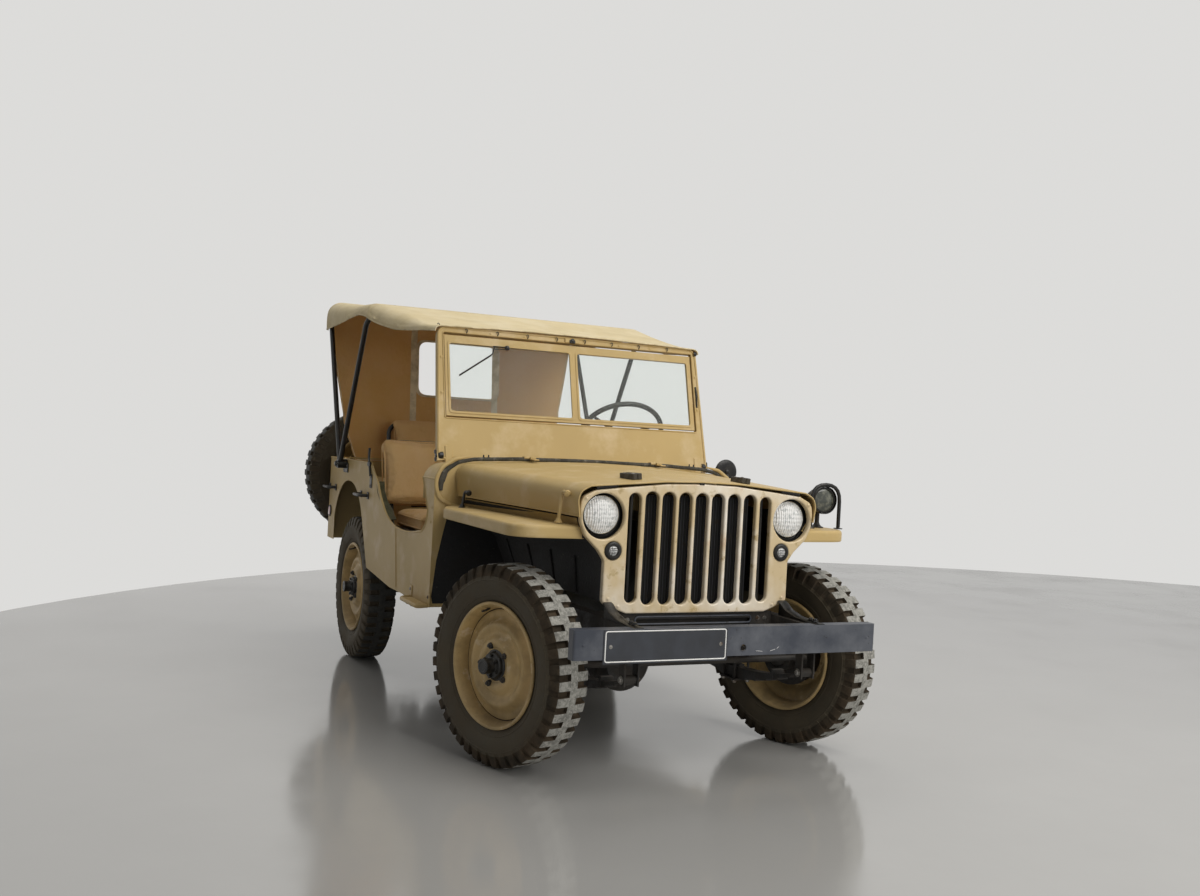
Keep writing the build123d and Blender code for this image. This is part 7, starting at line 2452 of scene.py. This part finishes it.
class CAR_OT_canopy(bpy.types.Operator):
    """Stretches the canvas roof over the bows."""

    bl_idname = "car.canopy"
    bl_label = "Canvas roof"

    def execute(self, context):
        sizes = context.scene.canvas_sizes
        distances = canvas_distances()
        rows = [canvas_row(d, canvas_sag(d, sizes.sag), sizes.crown) for d in distances]
        # The roof's rear edge turns down over the curtain
        shape = Shape()
        # The inner face takes the darker brown canvas finish, painted shade of the roof's underside
        sheet_rows(
            shape, rows, (FRONT_X - 1.8, 0, 1.3), sizes.thickness, "canvas_cloth", inner="canvas_painted_shade",
            rim="canvas_cloth",
        )
        made = shape.build("canopy_sheet", "car", smooth=70, weld=1e-5)
        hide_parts("canopy_roof")

        hem = Shape()
        for column in (0, -1):
            inward = 1 if column == 0 else -1
            hem.tube(
                [
                    row[column] + Vector((0, inward * 1.2 * MM, 1 * MM)) for row in rows
                ], sizes.hem, "piping_cloth", sides=8
            )
            for offset in (0, 1):
                # Double row of stitches above the hem
                line = [row[column].lerp(row[4 if column == 0 else -5], 0.42 + 0.2 * offset) for row in rows]
                outward = Vector((0, -inward * 0.5 * MM, 0))
                hem.tube([point + outward for point in line], 0.9 * MM, "piping_cloth", sides=6)
        hem.tube([point - UP * 1 * MM for point in rows[0]], sizes.hem, "piping_cloth", sides=8)
        for station in (955.0 + 26, 1765.0 - 20, 1765.0 + 20, 2663.0 - 24):
            row = canvas_row(station, canvas_sag(station, sizes.sag), sizes.crown)
            hem.tube([point + UP * 0.5 * MM for point in row[3:-3]], 1.1 * MM, "piping_cloth", sides=6)
        hooks = screen_matrix(12.0)
        for y, s in (
            (-632, 597), (-505, 582), (-361, 582), (-219, 582), (-78, 582), (61, 582), (198, 582), (338, 582),
            (487, 582)
        ):
            # Hooks that hold the hem over the header
            curl = [
                (y - 5, s - 9, 3), (y - 1, s - 3, 6), (y + 1, s + 4, 7), (y - 4, s + 10, 7), (y - 9, s + 5, 7)
            ]
            hem.tube(rounded_path(curl, 5, steps=3), 1.9, "black_paint", sides=8, matrix=hooks)
        made = hem.build("canopy_hem", "car", smooth=60)
        return {"FINISHED"}


# Columns: half-width, height above the ground, in millimetres
CURTAIN_EDGE = (
    (572.0, 985.0), (600.0, 1070.0), (636.0, 1177.0), (700.0, 1540.0), (733.0, 1734.0), (740.0, 1800.0),
    (716.0, 1832.0),
    (680.0, 1842.0),
)


def curtain_half(z):
    """Half-width of the curtain at a height."""
    for (w0, z0), (w1, z1) in zip(CURTAIN_EDGE, CURTAIN_EDGE[1:]):
        if z <= z1:
            return w0 + (w1 - w0) * max(0.0, z - z0) / (z1 - z0)
    return CURTAIN_EDGE[-1][0]


def curtain_point(y, z):
    """Point of the rear curtain's outer face."""
    foot_x, foot_z = FRONT_X - 2604.3 * MM, 985 * MM
    head_x, head_z = FRONT_X - 2684.0 * MM, 1712 * MM
    share = (z * MM - foot_z) / (head_z - foot_z)
    x = max(foot_x + (head_x - foot_x) * share, head_x)
    if share > 1:
        x += 9 * MM * min(1.0, (share - 1) * 8)
    fold = sin(y * 0.021 + z * 0.004) * 3.0 + noise(Vector((y * 0.006, z * 0.004, 7.0))) * 5.0
    hold = max(0.0, min(1.0, (1 - abs(share - 0.45) * 1.4)))
    return Vector((x + (3.5 + fold * hold * 0.55) * MM, y * MM, z * MM))


class CAR_OT_curtain(bpy.types.Operator):
    """Hangs the rear curtain with its window binding and straps."""

    bl_idname = "car.curtain"
    bl_label = "Rear curtain"

    def execute(self, context):
        sizes = context.scene.canvas_sizes
        window = rectangle(-217, 1380, 258, 1688, 52, steps=8)
        window = [(p.x, p.y) for p in resampled([Vector((x, z, 0)) for x, z in window + window[:1]], 161)][
            :-1
        ]
        middle = Vector((20, 1534))
        outer = []
        for x, z in window:
            # Outer edge of the curtain along the line from the window's middle
            way = Vector((x, z)) - middle
            reach = 1.0
            for _ in range(400):
                spot = middle + way * reach
                if spot.y <= 986 or spot.y >= 1838 or abs(spot.x) >= curtain_half(spot.y) - 1:
                    break
                reach += 0.02
            outer.append(middle + way * reach)
        rows = []
        rings = 26
        for step in range(rings):
            share = step / (rings - 1)
            row = []
            for (x, z), rim_spot in zip(window, outer):
                spot = Vector((x, z)).lerp(rim_spot, share)
                row.append(curtain_point(spot.x, spot.y))
            rows.append(row + row[:1])
        shape = Shape()
        # The inner face takes the darker brown canvas finish, painted shade of the curtain's inside
        sheet_rows(
            shape, rows, (FRONT_X - 1.8, 0, 1.5), sizes.thickness, "canvas_cloth", inner="canvas_painted_shade",
            rim="canvas_cloth", ring=True,
        )
        made = shape.build("curtain_sheet", "car", smooth=70, weld=1e-5)
        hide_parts("rear_curtain")

        trim = Shape()
        thick = sizes.thickness
        ahead = Vector((thick + 0.6 * MM, 0, 0))
        binding = [curtain_point(*(middle + (Vector(spot) - middle) * 1.02)) + ahead for spot in window]
        wide = [curtain_point(*(middle + (Vector(spot) - middle) * 1.07)) + ahead for spot in window]
        trim.grid([[*binding, binding[0]], [*wide, wide[0]]], "piping_cloth")
        trim.tube(binding, 2.4 * MM, "piping_cloth", sides=8, closed=True)
        trim.tube(wide, 1.6 * MM, "piping_cloth", sides=6, closed=True)
        for side in (-1, 1):
            # Straps that hold the rolled curtain, on its inner face
            strap = []
            for step in range(28):
                z = 1826 - (1826 - 1010) * step / 27
                strap.append([curtain_point(side * y, z) + ahead * 1.6 for y in (230, 238, 258, 266)])
            sheet_rows(trim, strap, (FRONT_X - 3.2, side * 0.28, 1.4), 1.8 * MM, "piping_cloth")
            edge = [curtain_point(side * (curtain_half(z) - 5), z) for z in range(990, 1790, 24)]
            trim.tube(edge, 3.2 * MM, "piping_cloth", sides=8)
        foot = [curtain_point(y, 992) for y in range(-565, 566, 22)]
        trim.tube(foot, 3.4 * MM, "piping_cloth", sides=8)
        made = trim.build("curtain_trim", "car", smooth=60)
        return {"FINISHED"}


def cushion_form(name, size, crown, pull, matrix, thick_rows=9):
    """Closed crowned pad with its sides drawn in between the corners; size is half lengths and thickness."""
    half_x, half_y, thickness = size
    form = bmesh.new()
    cells_x, cells_y = 22, 26
    grid = {}

    def spot(u, v, w):
        shrink = 1 - pull * (1 - (abs(w) ** 2) * 0.6)
        edge_x = 1 - 0.055 * (1 - v * v) if abs(u) > 0.99 else 1
        edge_y = 1 - 0.045 * (1 - u * u) if abs(v) > 0.99 else 1
        x = half_x * u * edge_x
        y = half_y * v * edge_y
        corner = 0.0
        if abs(u) > 0.8 and abs(v) > 0.8:
            corner = ((abs(u) - 0.8) / 0.2) * ((abs(v) - 0.8) / 0.2)
        x *= 1 - corner * 0.05
        y *= 1 - corner * 0.04
        rise = thickness / 2 * w
        dome = (1 - u ** 4) * (1 - v ** 4)
        if w > 0:
            rise += crown * dome * w
        return Vector((x * shrink, y * shrink, rise))

    def vertex(u, v, w):
        key = (round(u, 5), round(v, 5), round(w, 5))
        if key not in grid:
            grid[key] = form.verts.new(spot(u, v, w))
        return grid[key]

    us = [-1 + 2 * i / cells_x for i in range(cells_x + 1)]
    vs = [-1 + 2 * i / cells_y for i in range(cells_y + 1)]
    ws = [-1 + 2 * i / thick_rows for i in range(thick_rows + 1)]
    for w, flip in ((1.0, False), (-1.0, True)):
        for a, b in zip(us, us[1:]):
            for c, d in zip(vs, vs[1:]):
                corners = [vertex(a, c, w), vertex(b, c, w), vertex(b, d, w), vertex(a, d, w)]
                form.faces.new(reversed(corners) if flip else corners)
    for a, b in zip(us, us[1:]):
        for low, high in zip(ws, ws[1:]):
            form.faces.new([vertex(a, -1, low), vertex(b, -1, low), vertex(b, -1, high), vertex(a, -1, high)])
            form.faces.new([vertex(b, 1, low), vertex(a, 1, low), vertex(a, 1, high), vertex(b, 1, high)])
    for c, d in zip(vs, vs[1:]):
        for low, high in zip(ws, ws[1:]):
            form.faces.new([vertex(1, c, low), vertex(1, d, low), vertex(1, d, high), vertex(1, c, high)])
            form.faces.new([vertex(-1, d, low), vertex(-1, c, low), vertex(-1, c, high), vertex(-1, d, high)])
    bmesh.ops.recalc_face_normals(form, faces=form.faces)
    mesh = bpy.data.meshes.new(name)
    form.to_mesh(mesh)
    form.free()
    mesh.transform(matrix)
    made = bpy.data.objects.new(name, mesh)
    bpy.context.collection.objects.link(made)
    mesh.materials.append(finish("seat_cloth"))
    return made


def puffed(made, cap):
    """Blows a pad up as cloth, no point moving further than a cap."""
    remesh = made.modifiers.new("remesh", "REMESH")
    remesh.mode = "VOXEL"
    remesh.voxel_size = 9 * MM
    remesh.use_smooth_shade = True
    applied(made)
    start = [vertex.co.copy() for vertex in made.data.vertices]
    cloth = made.modifiers.new("cloth", "CLOTH")
    cloth.settings.quality = 5
    cloth.settings.mass = 0.3
    cloth.settings.tension_stiffness = 20
    cloth.settings.compression_stiffness = 12
    cloth.settings.shear_stiffness = 8
    cloth.settings.bending_stiffness = 0.6
    cloth.settings.use_pressure = True
    cloth.settings.uniform_pressure_force = 4
    cloth.settings.effector_weights.gravity = 0
    cloth.collision_settings.use_collision = False
    cloth.point_cache.frame_start = 1
    cloth.point_cache.frame_end = 16
    scene = bpy.context.scene
    for step in range(1, 17):
        scene.frame_set(step)
    applied(made)
    scene.frame_set(1)
    for vertex, first in zip(made.data.vertices, start):
        move = vertex.co - first
        if move.length > cap:
            vertex.co = first + move.normalized() * cap
    smooth = made.modifiers.new("smooth", "SUBSURF")
    smooth.levels = smooth.render_levels = 1
    applied(made)
    made.data.shade_smooth()
    if not made.data.materials:
        made.data.materials.append(finish("seat_cloth"))


def pad_matrix(centre, normal, across=LEFT):
    """Matrix of a pad: X across, Y along the slope, Z out of its face."""
    axis_z = Vector(normal).normalized()
    axis_x = (across - axis_z * across.dot(axis_z)).normalized()
    axis_y = axis_z.cross(axis_x)
    matrix = Matrix((axis_x, axis_y, axis_z)).transposed().to_4x4()
    matrix.translation = Vector(centre)
    return matrix


def seat_pads():
    """Name, half sizes and thickness, centre, face direction, crown."""
    pads = []
    seat_foot = 717.3 * MM
    for place, y in (("right", -420), ("left", 420)):
        centre = Vector((-239 * MM + 40 * MM, y * MM, seat_foot + 31 * MM))
        pads.append(("seat_pad_" + place, (205 * MM, 222 * MM, 60 * MM), centre, UP, 15 * MM))
        run, rise = 105.0, 403.0
        lean = Vector((rise, 0, run)).normalized()
        base = Vector((FRONT_X - 1590 * MM, y * 1.03 * MM, 705 * MM))
        slope = Vector((-run, 0, rise)).normalized()
        centre = base + slope * 262 * MM + lean * 8 * MM
        pads.append(("back_pad_" + place, (246 * MM, 174 * MM, 72 * MM), centre, lean, 16 * MM))
    centre = Vector((FRONT_X - 2230 * MM, 0, 782.3 * MM + 30 * MM))
    pads.append(("bench_pad", (420 * MM, 160 * MM, 58 * MM), centre, UP, 14 * MM))
    run, rise = 60.0, 430.0
    lean = Vector((rise, 0, run)).normalized()
    slope = Vector((-run, 0, rise)).normalized()
    base = Vector((FRONT_X - 2440 * MM, 0, 770 * MM))
    pads.append(
        ("bench_back", (420 * MM, 160 * MM, 60 * MM), base + slope * 312 * MM + lean * 6 * MM, lean, 12 * MM)
    )
    return pads


class CAR_OT_cushions(bpy.types.Operator):
    """Blows up the seat cushions as cloth and sews their piping on."""

    bl_idname = "car.cushions"
    bl_label = "Cushions"

    def execute(self, context):
        groups = {"front": [], "rear": []}
        for name, (half_across, half_along, thickness), centre, normal, crown in seat_pads():
            matrix = pad_matrix(centre, normal)
            made = cushion_form(name, (half_across, half_along, thickness), crown * 0.45, 0.02, matrix)
            puffed(made, crown)
            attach(made, "car")
            groups["rear" if name.startswith("bench") else "front"].append(made)
            piping = Shape(matrix)
            outline = rectangle(-half_across, -half_along, half_across, half_along, 50 * MM, steps=8)
            local = matrix.inverted()
            skin = BVHTree.FromPolygons(
                [local @ vertex.co for vertex in made.data.vertices], [
                    face.vertices[:] for face in made.data.polygons
                ]
            )
            for height in (thickness * 0.34, -thickness * 0.34):
                loop = []
                for x, y in outline:
                    # The piping follows the cushion's own edge
                    start, goal = Vector((x * 1.4, y * 1.4, height)), Vector((x * 0.4, y * 0.4, height))
                    hit = skin.ray_cast(start, goal - start)[0]
                    if hit is not None:
                        loop.append(hit)
                piping.tube(loop, 3.4 * MM, "seat_cloth", sides=8, closed=True)
            made = piping.build(name + "_piping", "car", smooth=60)
        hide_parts("front_cushions")
        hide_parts("rear_cushions")
        return {"FINISHED"}


# Finishes of the CAD nodes that stay

NODE_FINISHES = {
    "sand_paint": (
        "side_panel_right", "side_panel_left", "rear_panel", "cowl", "windshield_frame", "vent_frame",
        "steering_column",
    ),
    "wheel_house_paint": ("body_floor", "wheel_houses"),
    "black_paint": (
        "top_bows", "floor_controls", "steering_wheel", "tow_hook", "rear_bumperettes", "seat_frames"
    ),
    "chassis_black": (
        "front_axle", "rear_axle", "knuckle_right", "knuckle_left", "tie_rod", "drag_link", "drop_arm",
        "leaf_springs",
        "frame_rails", "drive_shafts", "exhaust",
    ),
    "bumper_paint": ("front_bumper",),
    "engine_paint": ("engine_block",),
    "radiator_fins": ("radiator",),
    "clear_glass": ("windshield_glass",),
}


class CAR_OT_node_finishes(bpy.types.Operator):
    """Gives the carried-over CAD parts their finishes."""

    bl_idname = "car.node_finishes"
    bl_label = "Finishes of the CAD parts"

    def execute(self, context):
        for label, names in NODE_FINISHES.items():
            material = finish(label)
            for name in names:
                node = frame["nodes"][name]
                for slot in node.material_slots:
                    slot.material = material
        return {"FINISHED"}


# Stage


class CAR_OT_stage(bpy.types.Operator):
    """Sets the floor, the lamps and the camera."""

    bl_idname = "car.stage"
    bl_label = "Stage"

    def execute(self, context):
        sizes = context.scene.stage_sizes
        form = bmesh.new()
        heart = Vector((1.87, 3.56, -0.5 * MM))
        middle = form.verts.new(heart)
        rings = []
        for reach in (1.2, 2.4, 3.8, 5.2, 7.33):
            turns = [tau * step / 96 for step in range(96)]
            around = [Vector((reach * cos(turn), reach * sin(turn), 0)) for turn in turns]
            rings.append([form.verts.new(heart + offset) for offset in around])
        for step in range(96):
            form.faces.new([middle, rings[0][step], rings[0][(step + 1) % 96]])
            for inner, outer in zip(rings, rings[1:]):
                form.faces.new([inner[step], outer[step], outer[(step + 1) % 96], inner[(step + 1) % 96]])
        mesh = bpy.data.meshes.new("floor")
        form.to_mesh(mesh)
        form.free()
        floor = bpy.data.objects.new("floor", mesh)
        context.collection.objects.link(floor)
        made = Finish("floor_paint", tuple(sizes.floor_colour), 0.08)
        made.patches(darker(tuple(sizes.floor_colour), 0.95), 0.2, Scale=1.4, Amount=0.66, Softness=0.3)
        made.gloss(specular=0.5, ior=2.2)
        mesh.materials.append(made.material)

        world = bpy.data.worlds.new("studio")
        context.scene.world = world
        world.use_nodes = True
        tree = world.node_tree
        back = tree.nodes["Background"]
        back.inputs["Color"].default_value = (1.0, 0.975, 0.94, 1)
        back.inputs["Strength"].default_value = 0.2
        plain = tree.nodes.new("ShaderNodeBackground")
        plain.inputs["Color"].default_value = (*sizes.wall_colour, 1)
        plain.inputs["Strength"].default_value = 1.0
        ray = tree.nodes.new("ShaderNodeLightPath")
        either = tree.nodes.new("ShaderNodeMath")
        either.operation = "MAXIMUM"
        third = tree.nodes.new("ShaderNodeMath")
        third.operation = "MAXIMUM"
        tree.links.new(ray.outputs["Is Camera Ray"], either.inputs[0])
        tree.links.new(ray.outputs["Is Glossy Ray"], either.inputs[1])
        tree.links.new(either.outputs[0], third.inputs[0])
        tree.links.new(ray.outputs["Is Transmission Ray"], third.inputs[1])
        mix = tree.nodes.new("ShaderNodeMixShader")
        tree.links.new(third.outputs[0], mix.inputs[0])
        tree.links.new(back.outputs[0], mix.inputs[1])
        tree.links.new(plain.outputs[0], mix.inputs[2])
        tree.links.new(mix.outputs[0], tree.nodes["World Output"].inputs["Surface"])

        # Columns: name, place, aim, size, power, colour
        lamps = (
            ("key_panel", (3.8, 1.6, 4.9), (0.8, 0.0, 0.6), 4.2, 190.0, (1.0, 0.98, 0.94)),
            ("front_panel", (8.2, 2.2, 2.4), (1.2, 0.0, 0.7), 3.6, 190.0, (1.0, 0.985, 0.96)),
            ("top_panel", (-1.2, 0.2, 5.4), (-0.6, 0.0, 1.0), 3.6, 70.0, (1.0, 0.98, 0.95)),
            ("rear_panel_lamp", (-5.4, -1.4, 3.4), (-0.6, 0.0, 0.8), 3.4, 48.0, (1.0, 0.98, 0.95)),
        )
        for name, place, aim, size, power, colour in lamps:
            light = bpy.data.lights.new(name, "AREA")
            light.energy = power
            light.size = size
            light.color = colour
            lamp = bpy.data.objects.new(name, light)
            lamp.visible_glossy = name == "key_panel"
            lamp.matrix_world = frame_of(place, Vector(place) - Vector(aim))
            context.collection.objects.link(lamp)

        yaw, pitch, roll = sizes.camera_yaw, sizes.camera_pitch, sizes.camera_roll
        look = Vector((cos(yaw) * cos(pitch), sin(yaw) * cos(pitch), sin(pitch)))
        right = Vector((sin(yaw), -cos(yaw), 0))
        above = right.cross(look)
        right_2 = right * cos(roll) + above * sin(roll)
        above_2 = above * cos(roll) - right * sin(roll)
        matrix = Matrix((right_2, above_2, -look)).transposed().to_4x4()
        matrix.translation = Vector(sizes.camera_place)
        lens = bpy.data.cameras.new("view")
        lens.lens = sizes.lens
        lens.sensor_width = 36.0
        lens.clip_end = 200.0
        camera = bpy.data.objects.new("view", lens)
        camera.matrix_world = matrix
        context.collection.objects.link(camera)
        context.scene.camera = camera
        context.scene.view_settings.view_transform = "Standard"
        return {"FINISHED"}


OPERATORS = (
    CAR_OT_stage,
    CAR_OT_node_finishes,
    CAR_OT_wheels,
    CAR_OT_grille,
    CAR_OT_lamps,
    CAR_OT_hood,
    CAR_OT_cowl_trim,
    CAR_OT_fenders,
    CAR_OT_driving_lamp,
    CAR_OT_nose,
    CAR_OT_undergear,
    CAR_OT_windshield,
    CAR_OT_body_trim,
    CAR_OT_mirror,
    CAR_OT_controls,
    CAR_OT_canopy,
    CAR_OT_curtain,
    CAR_OT_cushions,
)


class CAR_PT_builder(bpy.types.Panel):
    """Lists the pieces of the car and their sizes."""

    bl_idname = "CAR_PT_builder"
    bl_label = "Army car"
    bl_space_type = "VIEW_3D"
    bl_region_type = "UI"
    bl_category = "Army car"

    def draw(self, context):
        layout = self.layout
        for operator in OPERATORS:
            layout.operator(operator.bl_idname, text=operator.bl_label)
        for label, group in GROUPS.items():
            box = layout.box()
            box.label(text=group.__doc__)
            for field in group.__annotations__:
                box.prop(getattr(context.scene, label), field)


def register():
    """Registers the settings, the operators and the panel."""
    for label, group in GROUPS.items():
        bpy.utils.register_class(group)
        setattr(bpy.types.Scene, label, bpy.props.PointerProperty(type=group))
    for operator in OPERATORS:
        bpy.utils.register_class(operator)
    bpy.utils.register_class(CAR_PT_builder)


def unregister():
    """Takes everything off again."""
    bpy.utils.unregister_class(CAR_PT_builder)
    for operator in reversed(OPERATORS):
        bpy.utils.unregister_class(operator)
    for label, group in reversed(GROUPS.items()):
        delattr(bpy.types.Scene, label)
        bpy.utils.unregister_class(group)


def main():
    """Makes every piece."""
    register()
    for operator in OPERATORS:
        group, name = operator.bl_idname.split(".")
        getattr(getattr(bpy.ops, group), name)()


if __name__ == "__main__":
    main()
